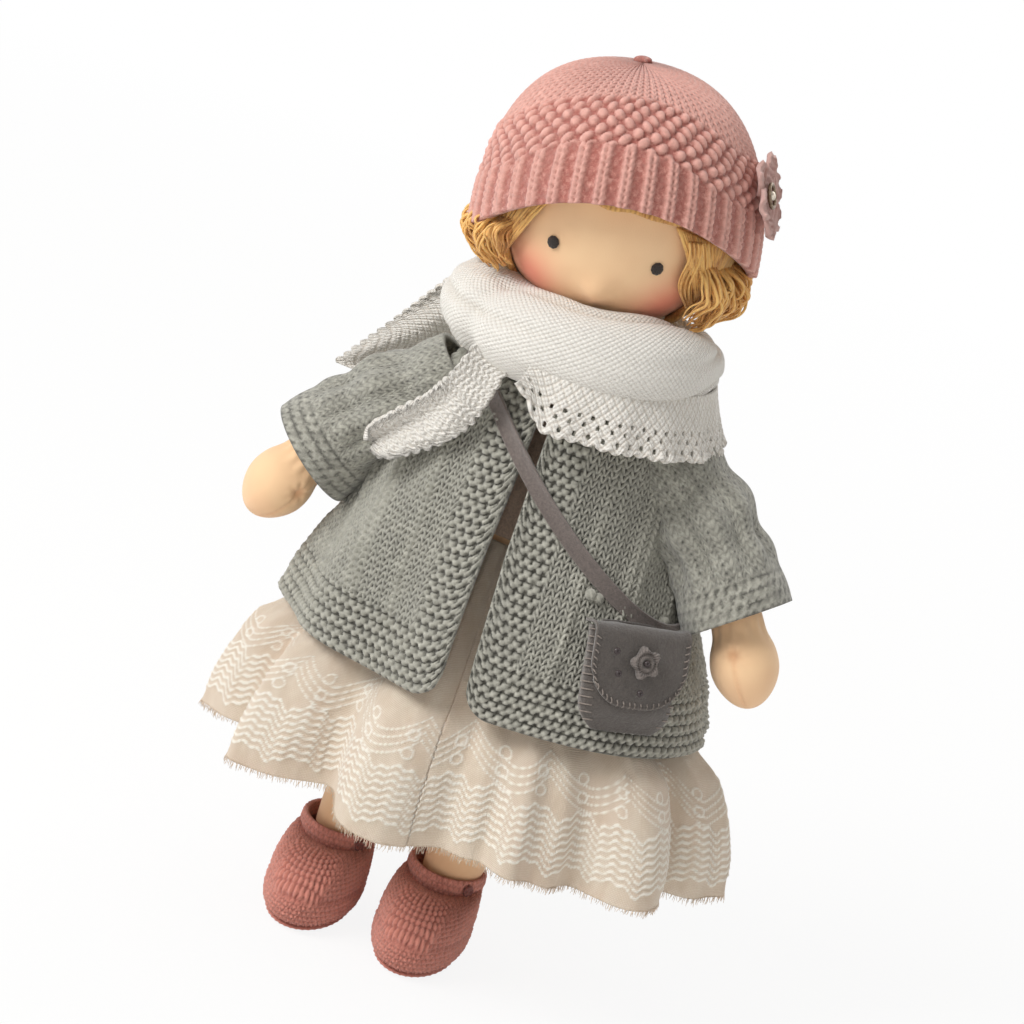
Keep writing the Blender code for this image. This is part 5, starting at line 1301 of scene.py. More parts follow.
class DOLL_OT_skirt(bpy.types.Operator):
    """Sew the gauze skirt in two halves, embroider its hem and fray its edge"""
    bl_idname = "doll.skirt"
    bl_label = "Skirt"

    def execute(self, context):
        body, _, cloth, _ = settings(context)
        gauze = gauze_material(cloth)
        for name, side, seed in (("left", 1, 41), ("right", -1, 51)):
            columns, rows = 400, 170
            start = -QUARTER + 0.001 if side > 0 else QUARTER + 0.001
            turn, share = np.meshgrid(np.linspace(start, start + 2 * QUARTER - 0.002, columns),
                                      np.linspace(0, 1, rows))
            points = self.hung(body, cloth, turn, share, seed)
            x, y = lengths_over(points)
            x = x[0][None, :] + np.zeros_like(x)
            thread = self.embroidery(x if side > 0 else x + 130 * MM, y)
            crush = uneven(points * np.array((1, 1, 0.35)), 0.004, seed + 2, 3)
            relief = (0.12 * crush * (1 - 0.5 * thread) + 0.60 * thread) * MM
            uv = np.stack((x / MM, y / MM), axis=-1)
            made = sheet(f"gauze_{name}", points, relief, 0.5 * MM, False, 0.5 + 0.25 * crush, uv, 3,
                         thread=thread)
            finish_piece(made, None, gauze, (f"skirt_{name}",))
            size, area = flat_size(points[::3, ::3], False)
            self.follow(made, name, side)
            self.fringe(points, name, side, gauze)
        return {"FINISHED"}

    def follow(self, made, name, side):
        """Bake the cloth's place into its mesh."""
        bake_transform(made)

    def hung(self, body, cloth, turn, share, seed):
        """The skirt's cloth with its big folds and the small ones between them."""
        low = 1 - share
        deep = np.exp(-(((turn + QUARTER) / 0.07) ** 2)) + np.exp(-(((turn - 3 * QUARTER) / 0.07) ** 2))
        broad = 4.6 * np.cos(8 * turn + 1.2 * np.sin(3 * turn + 0.7)) * low * (1 - smooth(share, 0.40, 0.75))
        small = 1.6 * np.cos(27 * turn + 1.6 * np.sin(5 * turn)) * low**0.6
        tiny = 0.6 * np.cos(67 * turn + 2.0 * np.sin(9 * turn)) * smooth(share, 0.2, 0.9) * (1
            - smooth(share, 0.95, 1))
        spread = (broad + small + tiny - 4.0 * deep * low) * MM
        points = skirt_surface(body, cloth, turn, share, spread)
        sway = uneven(points, 0.03, seed) * 1.2 * MM * low
        points[..., 2] += 1.1 * MM * np.sin(9 * turn + 0.5) * low**3
        return points + normals_of(points, False) * sway[..., None]

    def embroidery(self, x, y):
        """Bands of wavy chain stitch: scallops above the hem, points on top of them."""
        thread = np.zeros(x.shape)
        wave = 17 * MM
        for line in range(8):
            phase = x / wave
            arch = np.abs(np.sin(math.pi * phase)) ** 0.8
            height = (4 + 2.5 * line) * MM + 3.6 * MM * arch + 0.6 * MM * np.sin(FULL_TURN * phase * 3)
            stitch = 0.75 + 0.25 * np.cos(FULL_TURN * x / (1.3 * MM))
            thread = np.maximum(thread, np.exp(-(((y - height) / (0.60 * MM)) ** 2)) * stitch)
        for line in range(4):
            phase = x / (wave * 2) + 0.15
            peak = 1 - np.abs(2 * (phase - np.floor(phase)) - 1)
            height = (25.5 + 2.6 * line) * MM + 9.5 * MM * peak**1.5
            stitch = 0.7 + 0.3 * np.cos(FULL_TURN * x / (1.3 * MM))
            thread = np.maximum(thread, np.exp(-(((y - height) / (0.52 * MM)) ** 2)) * stitch * 0.85)
        petal_x = (x / wave - np.floor(x / wave) - 0.5) * wave
        for lift in (30, 36):
            round_spot = np.hypot(petal_x, (y - lift * MM) * 1.2)
            thread = np.maximum(thread, 0.7 * np.exp(-(((round_spot - 2.1 * MM) / (0.48 * MM)) ** 2)))
        return thread

    def fringe(self, points, name, side, gauze):
        """Frayed threads along the hem."""
        source = np.random.default_rng(5 if side > 0 else 6)
        edge = points[0]
        lines, radii, shades = [], [], []
        for spot in range(1, len(edge) - 1):
            for _ in range(2):
                share = source.uniform(0, 1)
                root = edge[spot] * (1 - share) + edge[spot + 1] * share
                fall = source.uniform(0.8, 2.6) * MM
                tip = root + np.array((source.normal() * 0.35, source.normal() * 0.35, 0)) * MM
                tip = tip - np.array((0, 0, fall))
                lift = np.array((0, 0, 0.4 * MM))
                middle = (root + tip) / 2 + np.array((source.normal(), source.normal(), 0)) * 0.15 * MM
                lines.append(np.stack((root + lift, middle, tip)))
                radii.append(np.array((0.11, 0.10, 0.06)) * MM)
                shades.append(0.6)
        made = tubes(f"hem_fringe_{name}", lines, radii, 4, shades)
        finish_piece(made, None, gauze)
        self.follow(made, name, side)


def gauze_material(cloth):
    """Crinkled linen gauze: crossing threads with painted shade between them, painted shade in its creases,
    soft stains, raised pale embroidery.
    """
    made, tree, shader, spot = blank_material("linen_gauze", 0.85, 0.25)
    grid = node(tree, "ShaderNodeUVMap", uv_map="stitches")
    warp = node(tree, "ShaderNodeTexWave",
                {"Vector": grid, "Scale": 0.62, "Distortion": 1.5, "Detail": 1.0}, 1)
    turned = node(tree, "ShaderNodeMapping", {0: grid, 2: (0, 0, QUARTER)})
    weft = node(tree, "ShaderNodeTexWave",
                {"Vector": turned, "Scale": 0.55, "Distortion": 2.0, "Detail": 1.0}, 1)
    weave = node(tree, "ShaderNodeMath", {0: warp, 1: weft}, operation="MULTIPLY")
    crease = noise(tree, spot, 0.22, 4.0, 0.65, (1.0, 1.0, 0.35))
    wide = noise(tree, spot, 0.035, 2.0)
    thread = node(tree, "ShaderNodeAttribute", output=2, attribute_name="thread")
    lit, deep = tuple(cloth.linen), tuple(cloth.linen_shade)
    # Painted shade between the threads of the weave.
    base = mixed(tree, ranged(tree, weave, 0.05, 0.6, 0.55, 0.0), lit, deep)
    # Painted shade in the creases: low crease noise, which the bump makes the valleys, turns the cloth to
    # the deep colour.
    base = mixed(tree, ranged(tree, crease, 0.35, 0.62, 0.40, 0.0), base, deep)
    base = mixed(tree, ranged(tree, wide, 0.4, 0.7, 0.0, 0.25), base, tuple(cloth.linen_warm))
    base = mixed(tree, ranged(tree, thread, 0.15, 0.65), base, tuple(cloth.thread))
    tree.links.new(base, shader.inputs["Base Color"])
    height = node(tree, "ShaderNodeMath", {0: crease, 1: 2.2, 2: weave}, operation="MULTIPLY_ADD")
    bumped(tree, shader, height, 0.22 * MM, 0.9)
    return made


class DOLL_OT_body(bpy.types.Operator):
    """Cover the torso and dress it in its bodice, and finish the stuffing, the neck and its thread"""
    bl_idname = "doll.body"
    bl_label = "Body and bodice"

    def execute(self, context):
        body, _, cloth, _ = settings(context)
        skin = skin_material("cotton_skin", body)
        cover = ball("body_cover", torso_rule(body, -0.05 * MM), 96, 64, uv_scale=40.0)
        finish_piece(cover, "torso", skin, ("torso_skin",))
        turn = np.arange(240) * FULL_TURN / 240
        low = (cloth.waist_height - body.torso_base) / (body.shoulder - body.torso_base)
        turns, heights = np.meshgrid(turn, np.linspace(low, 0.994, 90))
        ring = np.sqrt(np.maximum(0, 1 - (2 * heights - 1) ** 2))
        points = torso_rule(body, LAYER + 0.6 * MM)(heights, ring, turns)
        pleats = np.cos(turns * 60) * 0.35 * MM * (1 - smooth(heights, low, low + 0.3))
        crush = uneven(points, 0.006, 61, 3) * 0.15 * MM
        dress = sheet("dress_top", points, pleats + crush, 0.5 * MM, True, np.full(points.shape[:2], 0.6),
                      np.stack((turns * 30, points[..., 2] / MM), axis=-1), 2)
        finish_piece(dress, "torso", bodice_material(cloth), ("dress_bodice",))
        size, area = flat_size(points, True)
        wool = fleece_material()
        for piece in ("torso_stuffing", "head_stuffing", "arm_left_stuffing", "arm_right_stuffing",
                      "leg_left_stuffing", "leg_right_stuffing"):
            repaint(piece, wool)
        repaint("neck", skin)
        repaint("neck_tie_thread", thread_material("tie_thread", (0.55, 0.42, 0.30)))
        return {"FINISHED"}


def repaint(name, material):
    """Give a carried-over solid its finish."""
    for slot in bpy.data.objects[name].material_slots:
        slot.material = material


def bodice_material(cloth):
    """The dress front: the same gauze, its colour darkened as painted shade under the cardigan and the
    scarf.
    """
    made, tree, shader, spot = blank_material("bodice_gauze_in_shade", 0.85, 0.2)
    weave = noise(tree, spot, 1.6, 4.0)
    deep = tuple(value * 0.72 for value in cloth.bodice)
    tree.links.new(mixed(tree, ranged(tree, weave, 0.35, 0.65), deep, tuple(cloth.bodice)),
                   shader.inputs["Base Color"])
    bumped(tree, shader, weave, 0.3 * MM)
    return made


def fleece_material():
    """Loose stuffing wool."""
    made, tree, shader, spot = blank_material("stuffing_wool", 0.95, 0.4)
    tuft = noise(tree, spot, 0.7, 6.0, 0.8)
    tree.links.new(mixed(tree, tuft, (0.66, 0.60, 0.50), (0.86, 0.82, 0.73)), shader.inputs["Base Color"])
    bumped(tree, shader, tuft, 0.6 * MM)
    return made


WING_SHARES = ((-0.51, 0.84, 0.175), (-1.02, 0.66, 0.090), (-1.80, 0.80, 0.600), (-0.98, 0.84, 0.620))
TAIL_SHARES = (
    (-0.41, -0.84, 0.20), (-0.51, -0.84, 0.35), (-0.63, -0.755, 0.45), (-0.84, -0.665, 0.55),
    (-1.04, -0.645, 0.63),
)
DRAPE_SEAT_SHARE = 0.86
DRAPE_DROP_SHARE = 0.45
SCALLOP = 1.4 * MM
SCARF_SWAY = 2.6 * MM
SCARF_LIFT = 7.0 * MM
SCARF_LIFT_TURN = math.radians(-38)
SCALLOP_PITCH = 7.5 * MM


def seed_material(yarn):
    """White wool in fine moss stitch, its relief and its painted shade drawn from the stitch counts in the
    UV map.
    """
    made = bpy.data.materials.get("white_wool")
    if made:
        return made
    made = yarn_material("white_wool", tuple(yarn.white), tuple(yarn.white_shade), 0.03, 0.9, 0.3, 0.05)
    tree = made.node_tree
    spots = node(tree, "ShaderNodeUVMap", uv_map="stitches")
    parts = tree.nodes.new("ShaderNodeSeparateXYZ")
    tree.links.new(spots, parts.inputs[0])
    waves = {}
    for number, key in ((0, "s"), (1, "r")):
        turn = node(tree, "ShaderNodeMath", {0: parts.outputs[number], 1: math.pi}, operation="MULTIPLY")
        for way in ("SINE", "COSINE"):
            wave = node(tree, "ShaderNodeMath", {0: turn}, operation=way)
            waves[key, way] = node(tree, "ShaderNodeMath", {0: wave}, operation="ABSOLUTE")
    bumps = [
        node(tree, "ShaderNodeMath", {0: waves["s", way], 1: waves["r", way]}, operation="MULTIPLY")
        for way in ("SINE", "COSINE")
    ]
    seed = node(tree, "ShaderNodeMath", {0: bumps[0], 1: bumps[1]}, operation="MAXIMUM")
    bump = next(one for one in tree.nodes if one.type == "BUMP")
    strand = bump.inputs["Height"].links[0].from_socket
    height = node(tree, "ShaderNodeMath", {0: seed, 1: 1.6, 2: strand}, operation="MULTIPLY_ADD")
    tree.links.new(height, bump.inputs["Height"])
    depth = next(one for one in tree.nodes if one.type == "ATTRIBUTE" and one.attribute_name == "depth")
    # Painted shade between the moss bumps, multiplied into the depth value.
    shade = ranged(tree, seed, 0.2, 0.8, 0.45, 1.0)
    both = node(tree, "ShaderNodeMath", {0: depth.outputs[2], 1: shade}, operation="MULTIPLY")
    for link in list(depth.outputs[2].links):
        if link.to_node.type == "MATH" and link.to_node.operation == "ADD":
            tree.links.new(both, link.to_socket)
    return made


class DOLL_OT_scarf(bpy.types.Operator):
    """Wind the scarf: its wrap, the lace drape, the wing behind the shoulder and the tail in front"""
    bl_idname = "doll.scarf"
    bl_label = "Scarf"

    def execute(self, context):
        _, yarn, cloth, _ = settings(context)
        wool = seed_material(yarn)
        self.wrap(yarn, cloth, wool)
        self.drape(yarn, cloth, wool)
        self.wing(yarn, cloth, wool)
        self.tail(yarn, cloth, wool)
        return {"FINISHED"}

    def ring(self, cloth, turn, spread):
        """Middle line of the scarf's roll, grown by spread."""
        wide = (cloth.scarf_width - cloth.scarf_thick) / 2 + spread
        deep = (cloth.scarf_depth - cloth.scarf_thick) / 2 + spread
        return stack(wide * np.cos(turn), deep * np.sin(turn), np.zeros(np.shape(turn)))

    def place(self, cloth, shares):
        """A place given as shares of the scarf's half width, its half depth and its fall."""
        return np.array((cloth.scarf_width / 2 * shares[0], cloth.scarf_depth / 2 * shares[1],
                         cloth.scarf_top - cloth.scarf_fall * shares[2]))

    def wrap(self, yarn, cloth, wool):
        """The thick roll round the neck, with its creases and its rounded end at the right front."""
        middle = cloth.scarf_top - cloth.scarf_tall / 2
        columns, rows = 420, 133
        turn, roll = np.meshgrid(np.arange(columns) * FULL_TURN / columns,
                                 np.linspace(math.radians(-118), math.radians(205), rows))
        thick, tall = cloth.scarf_thick / 2, cloth.scarf_tall / 2
        crease = np.zeros(turn.shape)
        for level, sway, phase, deep, wide in (
            (0.55, 0.30, 0.4, 2.6, 0.13), (1.25, 0.42, 2.0, 3.0, 0.16), (2.0, 0.25, 3.6, 2.4, 0.15),
            (-0.42, 0.22, 1.2, 1.5, 0.12),
        ):
            line = level + sway * np.sin(turn * 1.0 + phase) + 0.10 * np.sin(3 * turn + phase)
            fade = 0.55 + 0.45 * np.sin(turn * 2 + phase * 2)
            crease += deep * fade * np.exp(-(((roll - line) / wide) ** 2))
        end_turn = math.radians(-128)
        lap = np.exp(-(((turn - FULL_TURN - end_turn) / 0.10) ** 2)) * smooth(np.cos(roll), -0.3, 0.4)
        swell = 1.3 * smooth(turn - FULL_TURN, end_turn - 0.05, end_turn + 0.55) * (1
            - smooth(turn, 5.6, 6.28))
        out = -1.0 * MM + (swell - crease * 0.8 - 2.2 * lap) * MM
        out = out + SCARF_SWAY * np.maximum(0, -np.cos(turn)) - 1.6 * SCARF_SWAY * np.maximum(0,
            np.cos(turn)) ** 2
        out = out + uneven(stack(np.cos(turn) * 0.04, np.sin(turn) * 0.04, roll * 0.012), 0.02,
                           71) * 0.7 * MM
        centre = self.ring(cloth, turn, 0.0)
        away = unit(self.ring(cloth, turn, 0.0) * np.array((1, 1, 0)))
        points = centre + away * ((thick + out) * np.cos(roll))[..., None]
        lift = SCARF_LIFT * np.exp((np.cos(turn - SCARF_LIFT_TURN) - 1) * 2.5) * smooth(np.sin(roll),
            -0.3, 0.9)
        points[..., 2] = middle + (tall + out) * np.sin(roll) + 1.0 * MM * np.sin(turn * 2 + 1.0) + lift
        stitch = turn / FULL_TURN * 140
        row = roll * (thick + tall) / 2 / yarn.scarf_row
        # Painted shade in the creases: depth drops where the roll is creased.
        depth = 0.98 - np.clip(crease / 3.0, 0, 1) * 0.5
        made = sheet("scarf_roll", points, None, 1.4 * MM, True, depth, np.stack((stitch, row), axis=-1), 3)
        finish_piece(made, None, wool, ("scarf_wrap",))
        size, area = flat_size(points[::3, ::4], True)
        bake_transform(made)

    def drape(self, yarn, cloth, wool):
        """The lace edge over the left shoulder, with eyelets and small points."""
        start, end = math.radians(-98), math.radians(80)
        columns, rows = 560, 57
        u, v = np.meshgrid(np.linspace(0, 1, columns), np.linspace(0, 1, rows))
        turn = start + (end - start) * u
        long = (end - start) * (cloth.scarf_width / 2 + 5 * MM)
        picots = round(long / (SCALLOP_PITCH * 0.62))
        out = cloth.scarf_thick / 2 * DRAPE_SEAT_SHARE + cloth.drape_flare * (1 - v)
        wave = np.abs(np.sin(math.pi * picots * u))
        edge = SCALLOP * wave * (1 - v) ** 3
        ripple = 1.0 * MM * np.cos(FULL_TURN * u * 9 + 1.0) * (1 - v) ** 1.2
        points = self.ring(cloth, turn, out + ripple - 1.6 * SCARF_SWAY * np.maximum(0, np.cos(turn)) ** 2)
        middle = cloth.scarf_top - cloth.scarf_tall / 2
        taper = smooth(u, 0.0, 0.07) * 0.75 + 0.25
        points[..., 2] = (
            middle - cloth.scarf_tall / 2 * DRAPE_DROP_SHARE - cloth.drape_width * (1 - v) * taper - edge
            + 3.5 * MM * v**3
        )
        x, y = u * long, (1 - v) * cloth.drape_width
        y = cloth.drape_width - y
        holes = np.zeros(u.shape, bool)
        for line, lift in enumerate((2.1, 4.3, 6.5)):
            pitch = long / picots
            spot = x / pitch - 0.5 * (line % 2)
            near_x = (spot - np.floor(spot) - 0.5) * pitch
            holes |= np.hypot(near_x / 1.0, y - lift * MM) < 0.50 * MM
        stitch, row = x / yarn.scarf_stitch, y / yarn.scarf_row
        relief = moss(stitch, row) * 0.35 * MM + 0.5 * MM * np.exp(-((y / (0.9 * MM)) ** 2))
        # Painted shade between the moss bumps: depth follows them.
        depth = 0.55 + 0.40 * moss(stitch, row)
        made = lace("scarf_lace", points, holes, relief, 0.9 * MM, depth, np.stack((stitch, row), axis=-1))
        finish_piece(made, None, wool, ("scarf_drape",))
        size, area = flat_size(points[::3, ::4], False)
        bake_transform(made)

    def wing(self, yarn, cloth, wool):
        """The loose end that stands out behind the right shoulder, with a ruffled edge."""
        inner_top, outer_top, outer_low, inner_low = (self.place(cloth, shares) for shares in WING_SHARES)
        u, v = np.meshgrid(np.linspace(0, 1, 110), np.linspace(0, 1, 160))
        top = inner_top + (outer_top - inner_top) * u[..., None]
        low = inner_low + (outer_low - inner_low) * u[..., None]
        points = low + (top - low) * v[..., None]
        slim = (1 - u) * (1 - smooth(v, 0.0, 0.45)) * 0.62
        points = points + (outer_low - inner_low) * slim[..., None]
        long = np.linalg.norm(outer_top - outer_low)
        picots = round(long / (SCALLOP_PITCH * 0.5))
        out = unit(outer_low - inner_low)
        frill = SCALLOP * np.abs(np.sin(math.pi * picots * v)) * u**6
        bow = 3.0 * MM * np.sin(math.pi * u) * np.sin(math.pi * v)
        fold = 1.9 * MM * np.cos(FULL_TURN * (1.6 * u + 0.5 * v) + 0.6) * smooth(v, 0, 0.2) * smooth(1
            - v, 0, 0.2)
        points = points + out * frill[..., None] + np.array((0, 1, 0)) * (bow + fold)[..., None]
        x, y = lengths_over(points)
        stitch, row = x / yarn.scarf_stitch, y / yarn.scarf_row
        bumps = moss(stitch, row)
        if float(normals_of(points, False)[..., 1].mean()) > 0:
            points, bumps, stitch, row = (value[:, ::-1] for value in (points, bumps, stitch, row))
        # Painted shade between the moss bumps: depth follows them.
        made = sheet("scarf_loose_end", points, bumps * 0.35 * MM, 1.1 * MM, False, 0.55 + 0.4 * bumps,
                     np.stack((stitch, row), axis=-1), 1)
        finish_piece(made, None, wool, ("scarf_wing",))
        size, area = flat_size(points[::3, ::3], False)
        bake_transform(made)

    def tail(self, yarn, cloth, wool):
        """The short end that falls and curls at the front."""
        rows = [(number, *self.place(cloth, shares)) for number, shares in enumerate(TAIL_SHARES)]
        last = len(TAIL_SHARES) - 1
        u, v = np.meshgrid(np.linspace(-1, 1, 61), np.linspace(0, 1, 171))

        def line(share):
            return np.moveaxis(table_at(rows, share * last), 0, -1)

        ahead = unit(line(np.minimum(1, v + 0.05)) - line(np.maximum(0, v - 0.05)))
        aside = unit(np.cross(ahead, (0, -1, 0)))
        teeth = 0.9 * MM * np.abs(np.sin(math.pi * 16 * v)) + 0.5 * MM * np.sin(41 * v) ** 2
        tip = np.sqrt(np.clip(1 - ((v - 0.90) / 0.105) ** 2, 0.03, 1)) * (v > 0.90) + (v <= 0.90)
        half = (cloth.tail_width / 2 + teeth * np.abs(u) ** 4) * tip
        half = half * (0.86 + 0.22 * np.sin(math.pi * (v * 1.1)))
        curl = np.cross(aside, ahead)
        wave = 1.5 * MM * np.cos(math.pi * u + 2.5 * v) * smooth(v, 0.1, 0.4) + 1.2 * MM * u**2
        points = line(v) + aside * (half * u)[..., None] + curl * (wave - 0.8 * MM)[..., None]
        x, y = lengths_over(points)
        bumps = purl(x / (2.0 * MM), y / (1.3 * MM))
        towards = normals_of(points, False)
        turned = float(towards[..., 1].mean()) > 0
        if turned:
            points, bumps, x, y = (value[:, ::-1] for value in (points, bumps, x, y))
        # Painted shade between the purl bumps: depth follows them.
        made = sheet("scarf_front_end", points, bumps * 0.7 * MM, 1.3 * MM, False, 0.70 + 0.30 * bumps,
                     np.stack((x / yarn.scarf_stitch, y / yarn.scarf_row), axis=-1), 1)
        finish_piece(made, None, wool, ("scarf_tail",))
        size, area = flat_size(points[::3, ::3], False)
        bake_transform(made)


ARM_SHARES = ((0, 1), (0.25, 1), (0.55, 0.95), (0.72, 0.87), (0.80, 1.10), (0.88, 1.20), (1, 1.12))
LEG_SHARES = ((0, 1), (0.3, 1.03), (0.7, 1.03), (1, 1.07))
FOOT_SHARES = ((0, 0.97, 0.95), (0.35, 1, 1), (0.7, 0.93, 0.92), (1, 0.78, 0.72))
SOFT_END_SHARE = 0.42
JOINT_BACK_SHARE = 0.6
PALM_SHARE = 0.79
DIMPLE_SHARE = 0.80


def limb_rule(route, radius, shares, spread=0.0, tip_share=None):
    """A stuffed limb along a route; past tip_share its end is round like an egg."""
    def rule(height, ring, turn):
        ahead = unit(route(np.minimum(1, height + 0.05)) - route(np.maximum(0, height - 0.05)))
        side = unit(np.cross(ahead, (0, 1, 0)))
        front = np.cross(side, ahead)
        swell = ring**SOFT_END_SHARE
        if tip_share is not None:
            late = np.clip((height - tip_share) / (1 - tip_share), 0, 1)
            swell = np.where(height > 0.5, np.sqrt(np.maximum(0, 1 - late**2.3)), swell)
        reach = (radius * table_at(shares, height)[0] + spread) * swell
        around = side * np.cos(turn)[..., None] + front * np.sin(turn)[..., None]
        return route(height) + ahead * (spread * (2 * height - 1))[..., None] + around * reach[..., None]
    return rule


def leg_parts(body, side):
    """The hip's pivot, the way down to the ankle and the middle of the foot."""
    pivot = np.array((side * body.hip_x, 0, body.hip_z))
    ankle = np.array((side * body.hip_x - body.foot_shift, 0, body.ankle_z))
    return pivot, ankle - pivot, ankle + np.array((0, -body.foot_forward, 0))


class DOLL_OT_limbs(bpy.types.Operator):
    """Cover the arms, with their mitten hands, and the legs with their feet"""
    bl_idname = "doll.limbs"
    bl_label = "Arms and legs"

    def execute(self, context):
        body = settings(context)[0]
        skin = skin_material("cotton_skin", body)
        for name, side, thumb in (("left", 1, -95), ("right", -1, -42)):
            self.arm(body, name, side, math.radians(thumb), skin)
            self.leg(body, name, side, skin)
        return {"FINISHED"}

    def arm(self, body, name, side, thumb, skin):
        """An arm with a gathered dimple where the thumb is sewn, and the mitten's seam to the tip."""
        pivot, way, outwards = arm_parts(body, side)
        start = pivot - unit(way) * body.arm_radius * JOINT_BACK_SHARE

        def route(share):
            share = np.asarray(share, float)[..., None]
            return start + (pivot + way - start) * share + outwards * body.arm_bow * np.sin(math.pi * share)

        base = limb_rule(route, body.arm_radius, ARM_SHARES, 0.0, PALM_SHARE)
        long = float(np.linalg.norm(way))
        one, shares = np.ones(24), np.linspace(DIMPLE_SHARE, 0.985, 24)
        dimple = base(np.array([DIMPLE_SHARE]), np.array([1.0]), np.array([thumb]))[0]
        seam = base(shares, one, one * thumb)

        def rule(height, ring, turn):
            around = (turn - thumb + math.pi) % FULL_TURN - math.pi
            across = around * body.arm_radius * 1.15
            along = (height - DIMPLE_SHARE) * long
            apart = np.hypot(across, along)
            pull = np.cos(7 * np.arctan2(along, across)) * np.exp(-((apart - 3 * MM) / (1.8 * MM)) ** 2)
            rise = -1.5 * np.exp(-((apart / (1.7 * MM)) ** 2)) + 0.22 * pull
            rise = rise + 0.9 * np.exp(-((across / (5 * MM)) ** 2) - ((along + 3.6 * MM) / (3 * MM)) ** 2)
            past = smooth(along, 1.5 * MM, 3 * MM) * smooth(ring, 0.0, 0.35)
            stitch = 0.5 + 0.5 * np.cos(FULL_TURN * along / (1.7 * MM))
            rise = rise - (0.25 + 0.22 * stitch) * np.exp(-((across / (0.55 * MM)) ** 2)) * past
            gather = np.exp(-(((height - 0.715) / 0.035) ** 2))
            rise = rise + 0.3 * gather * np.cos(13 * turn + side)
            points = base(height, ring, turn)
            return points + unit(points - route(height)) * (rise * MM * smooth(ring, 0.0, 0.2))[..., None]

        def shade(points):
            near = np.exp(-(np.linalg.norm(points - dimple, axis=-1) / (1.9 * MM)) ** 2)
            line = np.min(np.linalg.norm(points[:, None] - seam[None], axis=-1), axis=1)
            share = (points - start) @ way / long**2
            wrist = np.exp(-(((share - 0.72) / 0.03) ** 2))
            return np.clip(near + 0.45 * np.exp(-((line / (0.8 * MM)) ** 2)) + 0.5 * wrist, 0, 1)

        # The warm tint at the fingertips, kept in the blush attribute, is painted warm shade.
        def blush(points):
            share = (points - start) @ way / long**2
            return 0.10 * smooth(share, 0.85, 1.0)

        made = ball(f"arm_cover_{name}", rule, 120, 170, {"shade": shade, "blush": blush}, 50.0)
        finish_piece(made, f"arm_{name}", skin, (f"arm_{name}_skin",))

    def leg(self, body, name, side, skin):
        """A leg down to the ankle, and the foot inside the shoe."""
        pivot, way, foot = leg_parts(body, side)
        start = pivot - unit(way) * body.leg_radius * JOINT_BACK_SHARE

        def route(share):
            return start + (pivot + way - start) * np.asarray(share, float)[..., None]

        base = limb_rule(route, body.leg_radius, LEG_SHARES)
        half = np.array((body.foot_width, body.foot_length, body.foot_height)) / 2

        def shade(points):
            return 0.6 * (1 - smooth(points[..., 2], 0.030, 0.042))

        made = ball(f"leg_cover_{name}", base, 64, 90, {"shade": shade}, 40.0)
        finish_piece(made, f"leg_{name}", skin, (f"leg_{name}_skin",))

        def toes(height, ring, turn):
            wide, deep = table_at(FOOT_SHARES, height) * 0.9
            swell = ring**0.45
            flat = stack(wide * swell * np.cos(turn), deep * swell * np.sin(turn), 1.3 * height - 0.95)
            return foot + half * flat

        made = ball(f"foot_cover_{name}", toes, 48, 32, None, 30.0)
        finish_piece(made, f"leg_{name}", skin)


SHOE_SHARES = (
    (0.00, 0.915, 0.915, 0.00, 0.00), (0.10, 1.00, 0.99, 0.06, 0.00), (0.26, 1.06, 1.03, 0.22, 0.00),
    (0.44, 1.06, 1.01, 0.48, 0.02), (0.60, 1.03, 0.92, 0.73, 0.12), (0.74, 0.98, 0.76, 0.91, 0.38),
    (0.87, 0.92, 0.59, 0.99, 0.76), (1.00, 0.86, 0.51, 1.00, 1.00),
)
CROCHET_WIDE = 1.9 * MM
CROCHET_TALL = 1.8 * MM
ROUND_TALL = 1.9 * MM
ROUND_WIDE = 1.9 * MM
COLLAR_HEIGHT = 0.0246
SOLE_TOP = 0.0031


def crochet(s, r):
    """Rows of slanted crochet stitches: s counts stitches, r counts rows."""
    row = np.floor(r)
    v = r - row - 0.5
    u = s + 0.5 * (row % 2) + 0.28 * v
    u = u - np.floor(u) - 0.5
    legs = np.exp(-(((np.abs(u) - 0.20 + 0.22 * v) / 0.17) ** 2))
    return legs * np.sqrt(np.maximum(0, 1 - (2 * v * 0.96) ** 2)) ** 0.7


